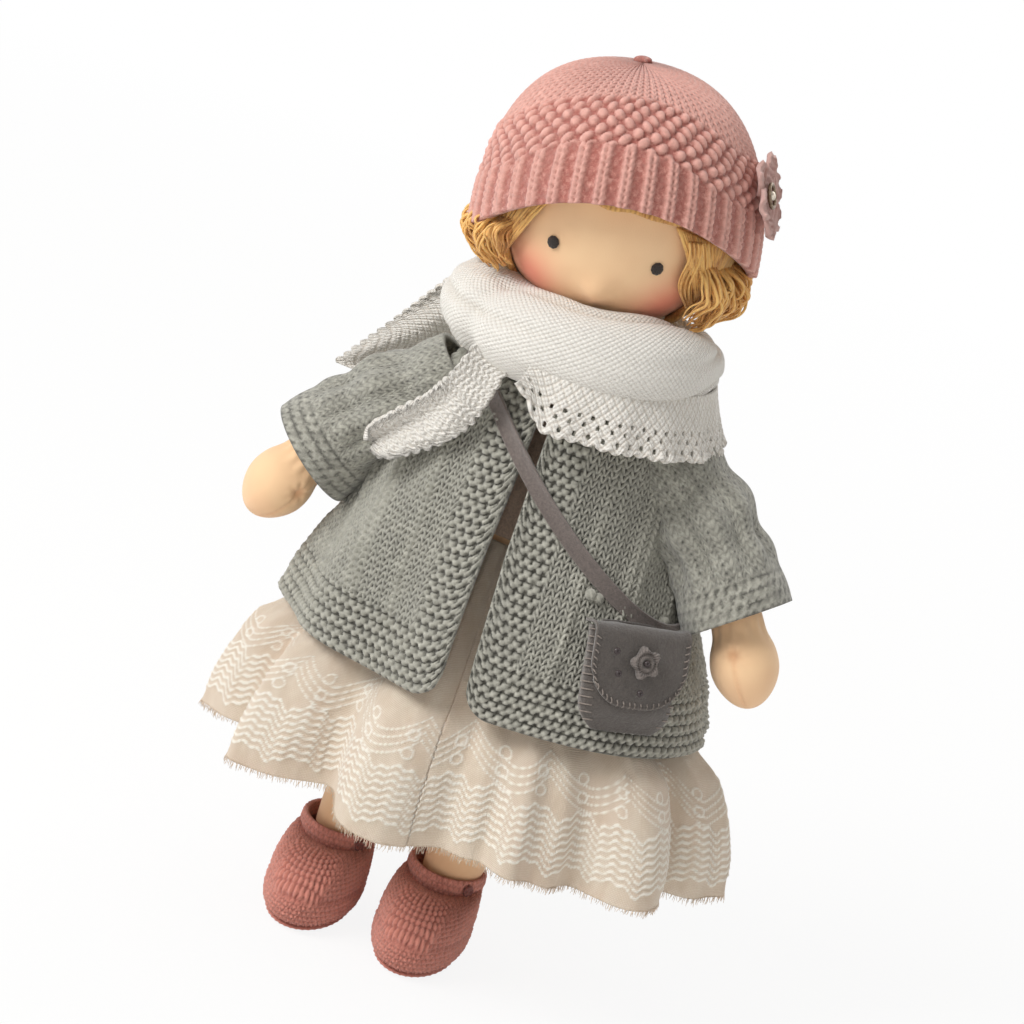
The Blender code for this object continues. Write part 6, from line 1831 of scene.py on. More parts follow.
class DOLL_OT_shoes(bpy.types.Operator):
    """Crochet the shoes: soles, uppers with ribbed toes, ankle straps and buttons"""
    bl_idname = "doll.shoes"
    bl_label = "Shoes"

    def execute(self, context):
        body, yarn, _, _ = settings(context)
        wool = yarn_material("shoe_wool", tuple(yarn.shoe), tuple(yarn.shoe_shade), 0.08, 0.9, 0.3, 0.12)
        for name, side in (("left", 1), ("right", -1)):
            _, _, foot = leg_parts(body, side)
            self.upper(body, name, foot, wool)
            self.sole(body, name, foot, wool)
            self.strap(body, name, foot, wool)
            self.button(body, name, foot)
        return {"FINISHED"}

    def upper(self, body, name, foot, wool):
        """The shoe from its sole up to the ankle, in rows of crochet, with rounds over the toes and a row of
        small holes round its side.
        """
        columns, rows = 240, 150
        turn, share = np.meshgrid(np.arange(columns) * FULL_TURN / columns, np.linspace(0, 1, rows))
        wide, deep, rise, back = table_at(SHOE_SHARES, share)
        half_wide, half_deep = (body.foot_width + body.shoe_grow) / 2, (body.foot_length
            + body.shoe_grow) / 2
        ankle = foot + np.array((0, body.foot_forward - 0.5 * MM, 0))
        points = stack(
            foot[0] + half_wide * wide * np.cos(turn),
            foot[1] + (ankle[1] - foot[1]) * back + half_deep * deep * np.sin(turn),
            SOLE_TOP + (COLLAR_HEIGHT - SOLE_TOP) * rise,
        )
        dip = smooth(-np.sin(turn), 0.2, 1.0) * smooth(share, 0.8, 1.0) * 1.2 * MM
        points[..., 2] -= dip
        along = np.concatenate((np.zeros((1, columns)), np.cumsum(
            np.linalg.norm(np.diff(points, axis=0), axis=2), axis=0)))
        near_x = (points[..., 0] - foot[0])
        toe = smooth(-(points[..., 1] - foot[1]), 2 * MM, 6 * MM) * smooth(points[..., 2], 0.010, 0.015)
        toe = toe * (1 - smooth(np.abs(near_x), 7.5 * MM, 9.5 * MM)) * (1 - smooth(share, 0.80, 0.88))
        s = turn / FULL_TURN * round(FULL_TURN * half_deep * 0.8 / CROCHET_WIDE)
        r = along / CROCHET_TALL
        rows_relief = crochet(s, r)
        place_y = points[..., 1] - foot[1]
        ridge = self.rosette(near_x, place_y + 5.5 * MM)
        holes_row = r - np.floor(r) - 0.5
        edge = np.exp(-(((along - along[round(rows * 0.42)]) / (1.1 * MM)) ** 2))
        holes = edge * (0.5 + 0.5 * np.cos(FULL_TURN * s)) * np.exp(-((holes_row / 0.5) ** 2))
        relief = (rows_relief * (1 - toe) + ridge * toe * 1.1 - 1.2 * holes * (1 - toe)) * 1.0 * MM
        # Painted shade: darker between the crochet stitches and dark in the small holes, and lighter on the
        # raised stitches.
        depth = np.clip(0.30 + 0.80 * (rows_relief * (1 - toe) + ridge * toe) - 0.6 * holes, 0.0, 1)
        made = sheet(f"shoe_upper_{name}", points, relief, 1.5 * MM, True, depth,
                     np.stack((s, r), axis=-1), 3)
        finish_piece(made, f"leg_{name}", wool, (f"shoe_{name}_upper",))
        size, area = flat_size(points[::3, ::4], True)

    def rosette(self, x, y):
        """Rounds of crochet bumps about the middle of the toe."""
        far = np.hypot(x * 1.15, y) / ROUND_TALL
        angle = np.arctan2(y, x) / FULL_TURN
        best = np.zeros(x.shape)
        for shift in (0, 1):
            ring = np.floor(far) + shift
            count = np.maximum(5, np.round(FULL_TURN * ring * ROUND_TALL / ROUND_WIDE))
            across = angle * count + 0.5 * (ring % 2)
            across = across - np.floor(across) - 0.5
            bump = 1 - (across / 0.44) ** 2 - ((far - ring) / 0.52) ** 2
            best = np.maximum(best, np.sqrt(np.maximum(0, bump)))
        return best

    def sole(self, body, name, foot, wool):
        """A flat crocheted sole, worked in rounds."""
        half_wide, half_deep = body.foot_width / 2 * 1.095, body.foot_length / 2 * 1.018

        def rule(height, ring, turn):
            swell = ring**0.30
            rounds = 0.5 + 0.5 * np.cos(FULL_TURN * ring * half_wide / CROCHET_TALL)
            level = (2 * height - 1) * (1 - 0.14 * rounds * (ring < 0.93))
            edge = 1 + 0.012 * np.cos(turn * 44) * smooth(ring, 0.8, 1.0)
            return foot * np.array((1, 1, 0)) + stack(
                half_wide * swell * np.cos(turn) * edge, half_deep * swell * np.sin(turn) * edge,
                SOLE_TOP / 2 * (1 + level) - 0.05 * MM)

        made = ball(f"shoe_sole_{name}", rule, 132, 48, {"depth": lambda points: np.full(len(points), 0.6)})
        finish_piece(made, f"leg_{name}", wool, (f"shoe_{name}_sole",))

    def strap(self, body, name, foot, wool):
        """The band round the ankle: three rows of crochet."""
        columns, rows = 168, 37
        turn, share = np.meshgrid(np.arange(columns) * FULL_TURN / columns, np.linspace(0, 1, rows))
        tall = body.strap_tall
        reach = body.leg_radius + 1.55 * MM + 0.5 * MM * np.sin(math.pi * share)
        points = stack(foot[0] + reach * np.cos(turn), foot[1] + body.foot_forward + reach * np.sin(turn),
                       body.strap_base + tall * share - 0.8 * MM * smooth(-np.sin(turn), 0.1, 1.0)
                       * (1 - share))
        s, r = turn / FULL_TURN * 44, share * 3.0
        bumps = crochet(s, r)
        # Painted shade between the band's crochet stitches: depth follows their bumps.
        made = sheet(f"shoe_band_{name}", points, bumps * 0.65 * MM, 1.1 * MM, True, 0.35 + 0.6 * bumps,
                     np.stack((s, r), axis=-1), 2)
        finish_piece(made, f"leg_{name}", wool, (f"shoe_{name}_strap",))

    def button(self, body, name, foot):
        """A small button with a rim and two holes."""
        aim = math.radians(-40)
        out = np.array((math.cos(aim), math.sin(aim), 0))
        reach = body.leg_radius + 2.9 * MM
        seat = np.array((foot[0], foot[1] + body.foot_forward, body.strap_base + body.strap_tall
                         / 2)) + out * reach
        radius = 2.0 * MM

        def rule(height, ring, turn):
            swell = ring**0.6
            dish = 0.25 * MM * (1 - smooth(ring, 0.45, 0.75)) * (height > 0.5)
            holes = sum(np.exp(-(((ring * np.cos(turn) - side * 0.28) ** 2 + (ring * np.sin(turn)) ** 2)
                                 / 0.012))
                        for side in (-1, 1)) * (height > 0.5)
            return stack(radius * swell * np.cos(turn), radius * swell * np.sin(turn),
                         0.75 * MM * (2 * height - 1) - dish - holes * 0.8 * MM)

        made = ball(f"shoe_button_{name}", rule, 48, 40)
        made.matrix_world = Matrix.Translation(Vector(seat)) @ Vector(out).to_track_quat("Z",
            "Y").to_matrix().to_4x4()
        finish_piece(made, f"leg_{name}", thread_material("button_face", (0.16, 0.045, 0.035)),
                     (f"shoe_{name}_button",))


def felt_material(name, shade):
    """Pressed wool felt: matted fibres, paler along its edges."""
    made = bpy.data.materials.get(name)
    if made:
        return made
    made, tree, shader, spot = blank_material(name, 0.95, 0.45)
    mat = noise(tree, spot, 1.1, 5.0, 0.75)
    hairs = noise(tree, spot, 2.6, 3.0, 0.8, (1.0, 0.35, 1.0))
    pale_edge = node(tree, "ShaderNodeAttribute", output=2, attribute_name="depth")
    shade = tuple(shade)
    dark = tuple(value * 0.55 for value in shade)
    pale = tuple(min(1.0, value * 1.7 + 0.02) for value in shade)
    base = mixed(tree, ranged(tree, mat, 0.30, 0.62), dark, shade)
    base = mixed(tree, ranged(tree, hairs, 0.56, 0.74, 0.0, 0.65), base, pale)
    # Paler along the edges of the felt pieces, where the attribute's value is high.
    base = mixed(tree, ranged(tree, pale_edge, 0.80, 1.0, 0.0, 0.55), base, pale)
    tree.links.new(base, shader.inputs["Base Color"])
    height = node(tree, "ShaderNodeMath", {0: mat, 1: hairs}, operation="ADD")
    bumped(tree, shader, height, 0.35 * MM, 0.9)
    return made


STRAP_LOW = math.radians(-28)
STRAP_HIP = math.radians(-42)
FLAP_ROUND_SHARE = 0.30


class DOLL_OT_bag(bpy.types.Operator):
    """Sew the felt bag: pouch, flap with its stitches, crocheted rosette, beads and strap"""
    bl_idname = "doll.bag"
    bl_label = "Bag"

    def execute(self, context):
        _, _, cloth, _ = settings(context)
        joints = {one["name"]: one for one in frame["record"]["behaviour"]["joints"]}
        self.seat = np.array(joints["bag_swing"]["pos_m"])
        self.hinge = np.array(joints["flap_open"]["pos_m"])
        self.across = unit(np.array(joints["bag_swing"]["axis"], float))
        way = self.hinge - self.seat
        self.out = unit(cloth.flap_hinge_in * way + cloth.felt_thick / 2 * np.cross(self.across, way))
        self.up = np.cross(self.across, self.out)
        felt = felt_material("bag_felt", cloth.felt)
        edge = thread_material("bag_thread", tuple(min(1.0, value * 1.9) for value in cloth.felt))
        self.pouch(cloth, felt, edge)
        self.flap(cloth, felt, edge)
        self.rosette(cloth)
        self.beads(cloth)
        self.strap(cloth)
        return {"FINISHED"}

    def at(self, start, x, y, z):
        """A point in the bag's own directions: across, out from the body, up."""
        x, y, z = np.broadcast_arrays(x, y, z)
        return start + self.across * x[..., None] + self.out * y[..., None] + self.up * z[..., None]

    def pouch(self, cloth, felt, edge):
        """The open pouch with rounded lower corners, its back tab and the stitches on its seam."""
        half, deep, tall = cloth.bag_width / 2, cloth.bag_depth / 2, cloth.bag_height
        turn, share = np.meshgrid(np.arange(132) * FULL_TURN / 132, np.linspace(0, 1, 64))
        top = -cloth.felt_thick - 0.4 * MM
        height = -tall + (tall + top) * share
        low = np.clip(1 - (height + tall) / (10 * MM), 0, 1)
        wide = half * (1 - 0.36 * low**2.4) * (1 - 0.03 * np.sin(math.pi * share))
        thick = 1.2 * MM + (deep - 1.5 * MM) * smooth(height + tall, 0.0, 9 * MM)
        cosine, sine = np.cos(turn), np.sin(turn)
        sag = 0.5 * MM * smooth(sine, 0.0, 1.0) * np.sin(math.pi * share) ** 2
        points = self.at(self.seat, wide * np.sign(cosine) * np.abs(cosine) ** 0.6,
                         deep + (thick + sag) * np.sign(sine) * np.abs(sine) ** 0.8, height)
        crush = uneven(points, 0.006, 81, 2) * 0.22 * MM
        # The pouch is paler along its sides and its top edge.
        pale_edge = np.exp(-((cosine**2 - 1) / 0.03) ** 2) + np.exp(-(((1 - share) / 0.03) ** 2))
        made = sheet("bag_pocket", points, crush, 0.95 * MM, True, np.clip(0.5 + 0.5 * pale_edge, 0, 1),
                     np.stack((turn * 6, height / MM), axis=-1), 2)
        finish_piece(made, "bag", felt, ("bag_pouch",))
        self.tab(cloth, felt)
        lines = []
        for side in (-1, 1):
            for number in range(13):
                level = -tall + 3.0 * MM + number * 2.3 * MM
                low = max(0.0, 1 - (level + tall) / (10 * MM))
                out = half * (1 - 0.36 * low**2.4)
                thick = 1.2 * MM + (deep - 1.5 * MM) * smooth(level + tall, 0.0, 9 * MM)
                round_way = np.array((0.80, 0.52, 0.26, 0.04))
                spots = np.stack((out * np.cos(round_way)**0.6 + 0.2 * MM * np.cos(round_way),
                                  deep + thick * np.sin(round_way)**0.8 + 0.2 * MM * np.sin(round_way)),
                                  axis=-1)
                lines.append(self.at(self.seat, spots[:, 0] * side, spots[:, 1], np.full(4, level)))
        made = tubes("bag_seam_stitches", lines, [np.full(4, 0.24 * MM)] * len(lines), 6)
        finish_piece(made, "bag", edge)

    def tab(self, cloth, felt):
        """The small tab at the back where the strap is sewn on."""
        reach = cloth.bag_width / 2 - 7 * MM
        u, v = np.meshgrid(np.linspace(-1, 1, 31), np.linspace(0, 1, 13))
        points = self.at(self.seat, -u * reach, np.full(u.shape, 0.15 * MM), -7 * MM + 7 * MM * v - 0.4
                         * MM * u**4)
        made = sheet("bag_back_tab", points, None, 1.0 * MM, False, np.full(u.shape, 0.6))
        finish_piece(made, "bag", felt)

    def flap(self, cloth, felt, edge):
        """The flap: over the top, round the front edge and down to its rounded end."""
        half, long = cloth.bag_width / 2 + 0.4 * MM, cloth.flap_length
        drop = cloth.bag_depth + 0.3 * MM + cloth.felt_thick / 2 - cloth.flap_hinge_in
        bend = 3.2 * MM
        u, v = np.meshgrid(np.linspace(-1, 1, 71), np.linspace(0, 1, 84))
        whole = drop + long * (1 - FLAP_ROUND_SHARE * np.abs(u) ** 3.2)
        far = whole * v
        arc = bend * QUARTER
        part = np.clip(far - (drop - bend), 0, arc) / bend
        y = np.minimum(far, drop - bend) + bend * np.sin(part)
        z = -bend * (1 - np.cos(part)) - np.maximum(far - (drop - bend) - arc, 0)
        puff = np.sin(math.pi * np.clip(-z / long, 0, 1)) * (1 - u**2)
        y = y + 1.0 * MM * puff
        narrow = 1 - 0.10 * smooth(v, 0.7, 1.0) ** 2
        rim = np.maximum(np.exp(-(((1 - np.abs(u)) / 0.05) ** 2)), np.exp(-(((1 - v) / 0.035) ** 2)))
        points = self.at(self.hinge, u * half * narrow, y, z)
        crush = uneven(points, 0.005, 83, 2) * 0.2 * MM
        made = sheet("bag_cover_flap", points, crush + 0.45 * MM * rim, 0.75 * MM, False,
                     np.clip(0.5 + 0.5 * rim, 0, 1), np.stack((u * 10, v * 10), axis=-1))
        finish_piece(made, "bag_flap", felt, ("bag_flap",))
        size, area = flat_size(points, False)
        lines = []
        path = np.concatenate((points[30:-1, 1], points[-2, 2:-2], points[-2:30:-1, -2]))
        inner = np.concatenate((points[30:-1, 5], points[-7, 2:-2], points[-2:30:-1, -6]))
        towards = normals_of(points, False)
        lift = np.concatenate((towards[30:-1, 1], towards[-2, 2:-2], towards[-2:30:-1, -2]))
        run = np.concatenate(((0,), np.cumsum(np.linalg.norm(np.diff(path, axis=0), axis=1))))
        for along in np.arange(1.2 * MM, run[-1], 2.1 * MM):
            spot = int(np.searchsorted(run, along))
            start, end, up = inner[spot], path[spot], lift[spot]
            way = unit(end - start) * 1.5 * MM
            bridge = np.array((0.0, 0.45, 0.85, 1.15))
            rise = np.array((0.15, 0.75, 0.70, -0.25)) * MM
            lines.append(end - way + way * bridge[:, None] * 1.1 + up * rise[:, None])
        made = tubes("bag_flap_stitches", lines, [np.full(4, 0.22 * MM)] * len(lines), 6)
        finish_piece(made, "bag_flap", edge)

    def rosette(self, cloth):
        """The crocheted rosette: round petals over a ring of stitches, with a dark bead in it."""
        drop = cloth.bag_depth + 0.3 * MM + cloth.felt_thick - cloth.flap_hinge_in
        radius, thick = cloth.rosette_radius, cloth.rosette_thick
        place = Matrix.Identity(4)
        middle = self.at(self.hinge, np.array(0.0), np.array(drop + 1.0 * MM + thick / 2),
                         np.array(-cloth.flap_length * 0.45))
        for number, axis in enumerate((self.across, -self.up, self.out)):
            place.col[number][:3] = axis
        place.translation = Vector(middle)
        # The deep colour, the rosette's colour at 0.35, is painted shade.
        wool = yarn_material("rosette_wool", tuple(cloth.rosette),
                             tuple(value * 0.35 for value in cloth.rosette),
                             0.10, 0.9, 0.35, 0.1)

        def rule(height, ring, turn):
            petal = 0.5 + 0.5 * np.cos(5 * turn)
            reach = radius * ring**0.8 * (1 - 0.26 * (1 - petal) * smooth(ring, 0.35, 1.0))
            cup = np.exp(-(((ring - 0.72) / 0.22) ** 2)) * (0.55 + 0.45 * petal)
            roll = np.exp(-(((ring - 0.30) / 0.13) ** 2)) * 0.8
            strand = 0.16 * np.cos(26 * turn + 14 * ring) * smooth(ring, 0.15, 0.4)
            level = np.where(height > 0.5, 0.10 + 0.55 * cup + 0.5 * roll + strand * 0.6, -0.5 + 0.5
                             * ring**6)
            return stack(reach * np.cos(turn), reach * np.sin(turn), thick * level)

        # Painted shade: the lower a point lies in the rosette, the lower its depth and the darker it is.
        def depth(points):
            return np.clip(points[..., 2] / thick * 1.3 + 0.25, 0, 1)

        made = ball("bag_crocheted_rosette", rule, 130, 70, {"depth": depth})
        made.matrix_world = place
        finish_piece(made, "bag_flap", wool, ("bag_rosette",))
        self.bead("bag_rosette_bead", np.array(middle) + self.out * thick * 0.42, 1.0 * MM, cloth)

    def bead(self, name, centre, radius, cloth, nodes=()):
        """A small glass bead with its hole towards the front."""
        place = Matrix.Translation(Vector(centre)) @ Vector(self.out).to_track_quat("Z",
            "Y").to_matrix().to_4x4()

        def rule(height, ring, turn):
            dent = np.exp(-((ring / 0.30) ** 2)) * np.sign(height - 0.5) * 0.55
            return stack(radius * ring * np.cos(turn), radius * ring * np.sin(turn),
                         radius * (0.82 * (2 * height - 1) - dent))

        made = ball(name, rule, 32, 32)
        made.matrix_world = place
        finish_piece(made, "bag_flap", bead_material(cloth), nodes)

    def beads(self, cloth):
        """The three beads sewn on the flap."""
        for number in (1, 2, 3):
            low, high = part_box(f"bag_bead_{number}")
            centre = (np.array(low) + np.array(high)) / 2 + self.out * 0.7 * MM
            self.bead(f"sewn_bead_{number}", centre, cloth.bead_radius, cloth, (f"bag_bead_{number}",))

    def strap(self, cloth):
        """The band over the right shoulder and down to the left hip, with a stitched edge."""
        band = cloth.strap_band
        lowest = np.array((math.cos(STRAP_LOW), math.sin(STRAP_LOW), 0))
        tall = cloth.coat_neck - cloth.coat_hem
        hip = self.seat[2] + band / 2 + 0.4 * MM
        top = cloth.coat_neck - band * 0.75

        def out_of(turn, height):
            return coat_surface(cloth, turn, (height - cloth.coat_hem) / tall) @ lowest

        hip_out = float(out_of(np.array(STRAP_HIP), np.array(hip)))
        slope = (cloth.strap_chest - hip) / hip_out
        turn = STRAP_HIP + np.arange(360) * FULL_TURN / 360
        height = np.full(turn.shape, hip)
        for _ in range(60):
            plane = hip + slope * (hip_out - out_of(turn, height))
            height = (height + top - band * np.log1p(np.exp((top - plane) / band))) / 2
            height = np.clip(height, cloth.coat_hem, top)
        share = (height - cloth.coat_hem) / tall
        middle = coat_surface(cloth, turn, share, 2.3 * MM)
        away = unit(coat_surface(cloth, turn, share, 3.3 * MM) - middle)
        ahead = unit(np.roll(middle, -1, axis=0) - np.roll(middle, 1, axis=0))
        aside = unit(np.cross(away, ahead))
        v = np.linspace(-0.5, 0.5, 15)[:, None]
        hollow = -0.25 * MM * np.cos(math.pi * v)
        points = middle + aside * (band * v)[..., None] + away * hollow[..., None]
        edge = np.exp(-(((0.5 - np.abs(v)) / 0.09) ** 2)) * np.ones(turn.shape)
        run = np.concatenate(((0,), np.cumsum(np.linalg.norm(np.diff(middle, axis=0), axis=1))))
        ticks = 0.5 + 0.5 * np.cos(FULL_TURN * run / (2.4 * MM))
        relief = 0.30 * MM * edge + 0.15 * MM * ticks * np.exp(-(((0.33 - np.abs(v)) / 0.06) ** 2))
        made = sheet("bag_band", points, relief, 0.9 * MM, True, np.clip(0.5 + 0.45 * edge, 0, 1),
                     np.stack(np.broadcast_arrays(run[None] / MM, v * 6), axis=-1), 2)
        finish_piece(made, "torso", felt_material("strap_felt", cloth.strap), ("bag_strap",))


def bead_material(cloth):
    """Dark glass of the sewn beads."""
    made = bpy.data.materials.get("bead_glass")
    if made:
        return made
    made, tree, shader, spot = blank_material("bead_glass", 0.18, 0.0)
    cloud = noise(tree, spot, 1.2, 2.0)
    shade = tuple(cloth.bead)
    tree.links.new(mixed(tree, cloud, tuple(value * 0.5 for value in shade),
                         tuple(value * 1.6 for value in shade)),
                   shader.inputs["Base Color"])
    return made


def hair_material(cloth):
    """Mohair: fine shining strands from pale gold to brown; the brown is partly real tone and partly painted
    shade between and under the strands.
    """
    made = bpy.data.materials.get("mohair")
    if made:
        return made
    made, tree, shader, spot = blank_material("mohair", 0.48, 0.2)
    depth = node(tree, "ShaderNodeAttribute", output=2, attribute_name="depth")
    fine = noise(tree, spot, 1.6, 4.0, 0.7, (1.0, 1.0, 0.25))
    wide = noise(tree, spot, 0.12, 2.0)
    lit, deep = tuple(cloth.hair), tuple(cloth.hair_shade)
    # Painted shade: low depth, between and under the strands, turns to the deep colour; strands with a
    # random depth differ in tone for real.
    rise = node(tree, "ShaderNodeMath", {0: depth, 1: ranged(tree, fine, 0.3, 0.7, -0.3, 0.3)},
                operation="ADD")
    base = mixed(tree, ranged(tree, rise, 0.10, 0.85), deep, lit)
    pale = tuple(min(1.0, value * 1.25 + 0.02) for value in lit)
    base = mixed(tree, ranged(tree, wide, 0.45, 0.65, 0.0, 0.5), base, pale)
    tree.links.new(base, shader.inputs["Base Color"])
    bumped(tree, shader, fine, 0.25 * MM, 0.7)
    return made


FACE_EDGE_SHARE = 0.46
WIG_LOW = -32 * MM
HAIR_LOCKS = 13
WIG_FRONT = 4 * MM
CROWN_SHARE = 0.994


class DOLL_OT_hair(bpy.types.Operator):
    """Lay the mohair: the cap under the hat, the curls at the temples and the front lock"""
    bl_idname = "doll.hair"
    bl_label = "Hair"

    def execute(self, context):
        body, _, cloth, _ = settings(context)
        hair = hair_material(cloth)
        self.cap(body, hair)
        for name, side, count, seed in (("left", 1, 190, 5), ("right", -1, 190, 6)):
            self.curls(body, name, side, count, seed, hair)
            self.temple(body, name, side, seed, hair)
        self.lock(body, hair)
        return {"FINISHED"}

    def cap(self, body, hair):
        """The combed cap, open round the face."""
        columns, rows = 330, 76
        climb = np.sin(np.linspace(0, CROWN_SHARE, rows) * FULL_TURN / 4)
        turn, share = np.meshgrid(np.arange(columns) * FULL_TURN / columns, climb)
        front = -np.sin(turn)
        low = WIG_LOW + (WIG_FRONT - WIG_LOW) * smooth(front, FACE_EDGE_SHARE - 0.12, FACE_EDGE_SHARE + 0.22)
        low = low + 0.8 * MM * uneven(np.stack((turn * 0.02, turn * 0, turn * 0), axis=-1), 0.004, 41)
        spread = 2.6 * MM
        rise = low + (body.head_height / 2 + spread - low) * share
        height = 0.5 + rise / (body.head_height + 2 * spread)
        ring = np.sqrt(np.maximum(0, 1 - (2 * height - 1) ** 2))
        points = head_rule(body, spread)(height, ring, turn)
        wave = 0.25 * np.sin(rise / (3.4 * MM) + 5 * np.sin(turn * 3))
        comb = np.abs(np.sin(64 * (turn + wave * 0.06))) ** 0.7
        fine = 0.5 + 0.5 * np.cos(165 * turn + 3 * wave)
        relief = (0.9 * comb + 0.25 * fine - 0.4) * MM * smooth(1 - share, 0.03, 0.15)
        # Painted shade between the combed strands: depth is high on them and low in the grooves.
        made = sheet("wig_cap", points, relief, 1.4 * MM, True, 0.35 + 0.6 * comb * fine,
                     np.stack((turn * 20, rise / MM), axis=-1), 3)
        made.matrix_world = head_matrix(body)
        finish_piece(made, "head", hair, ("wig",))

    def strand(self, start, end, bulge, curl, turns, phase, count=30):
        """One strand from start to end, bulging out, wound into a loose curl towards its end."""
        t = np.linspace(0, 1, count)[:, None]
        line = start + (end - start) * t + bulge * np.sin(math.pi * t**0.9)
        ahead = unit(np.gradient(line, axis=0))
        side = unit(np.cross(ahead, (0.2, 0.9, 0.3)))
        up = np.cross(side, ahead)
        wind = FULL_TURN * turns * t + phase
        reach = curl * (0.25 + 0.75 * t)
        return line + (side * np.cos(wind) + up * np.sin(wind)) * reach

    def curls(self, body, name, side, count, seed, hair):
        """The puff of curls that comes out under the hat at one side."""
        chance = np.random.default_rng(seed)
        lines, radii, depths = [], [], []
        fall = 19 * MM if side > 0 else 15.5 * MM
        for number in range(count):
            lock = number % HAIR_LOCKS
            spread_turn = -0.70 + 1.45 * (lock + 0.5) / HAIR_LOCKS + chance.normal() * 0.055
            turn = spread_turn if side > 0 else math.pi - spread_turn
            height = 0.5 + chance.uniform(-0.30, -0.20) / 2
            ring = math.sqrt(1 - (2 * height - 1) ** 2)
            start = head_rule(body, 2.6 * MM)(np.array(height), np.array(ring), np.array(turn))
            out = unit(start * np.array((1, 1, 0)))
            layer = chance.uniform(0, 1)
            end = start - np.array((0, 0, fall * (0.80 + 0.20 * math.sin(lock * 2.3)))) - out * 1.5 * MM
            bulge = out * (2.0 + 7.5 * layer) * MM * (0.60 + 0.40 * math.cos(spread_turn * 1.5))
            lines.append(self.strand(start, end, bulge, chance.uniform(0.4, 1.0) * MM, 1.9 + 0.2
                                     * math.sin(lock),
                                     lock * 1.9 + chance.normal() * 0.35))
            radii.append(np.linspace(0.62, 0.30, 30) * chance.uniform(0.7, 1.2) * MM)
            # Painted shade: strands that lie closer in, under the others, get a low depth and turn darker;
            # the random factor is tone that differs from strand to strand.
            depths.append(0.25 + 0.7 * layer * chance.uniform(0.6, 1.0))
        made = tubes(f"hair_curls_{name}", lines, radii, 6, depths)
        made.matrix_world = head_matrix(body)
        finish_piece(made, "head", hair, (f"hair_bunch_{name}",))

    def temple(self, body, name, side, seed, hair):
        """Strands that are combed down beside the cheek from under the hat's edge."""
        chance = np.random.default_rng(seed + 20)
        lines, radii, depths = [], [], []
        for number in range(46):
            part = (number + 0.5) / 46
            top = side * (18.5 + 13.5 * part) * MM
            low = side * (30.2 + 4.2 * part) * MM
            t = np.linspace(0, 1, 24)
            across = top + (low - top) * (1 - (1 - t) ** 1.7) + side * 0.25 * MM * np.sin(9 * t + number)
            level = 3.0 * MM - 4 * MM * part - (27.5 - 4 * part) * MM * t
            lift = (1.2 + 1.5 * np.sin(math.pi * t) + 0.5 * math.sin(number * 2.3)) * MM
            line = np.array([
                face_seat(body, float(a), float(z), float(spread)) for a, z,
                spread in zip(across, level, lift)
            ])
            lines.append(line)
            radii.append(np.linspace(0.50, 0.30, 24) * chance.uniform(0.8, 1.25) * MM)
            depths.append(chance.uniform(0.35, 1.0))
        made = tubes(f"hair_temple_{name}", lines, radii, 6, depths)
        made.matrix_world = head_matrix(body)
        finish_piece(made, "head", hair)

    def lock(self, body, hair):
        """The wavy lock that hangs over the left cheek."""
        chance = np.random.default_rng(12)
        lines, radii, depths = [], [], []
        for number in range(20):
            offset = (number / 19 - 0.5) * 4.2 * MM
            t = np.linspace(0, 1, 34)
            pinch = 1 - 0.55 * smooth(t, 0.55, 1.0)
            across = 25.0 * MM + 3.2 * MM * t + offset * pinch + 1.1 * MM * np.sin(7.5 * t + 0.4)
            level = -0.5 * MM - 24.5 * MM * t
            lift = (2.2 + 0.8 * np.cos(5 * t + number * 1.1) + 0.6 * math.cos(number * 2.1)) * MM
            line = np.array([
                face_seat(body, float(a), float(z), float(spread)) for a, z,
                spread in zip(across, level, lift)
            ])
            lines.append(line)
            radii.append(np.linspace(0.46, 0.20, 34) * chance.uniform(0.8, 1.2) * MM)
            depths.append(chance.uniform(0.45, 1.0))
        made = tubes("hair_front_lock", lines, radii, 6, depths)
        made.matrix_world = head_matrix(body)
        finish_piece(made, "head", hair, ("hair_lock",))


FLOOR_NEAR = 0.3
FLOOR_FAR = 1.6


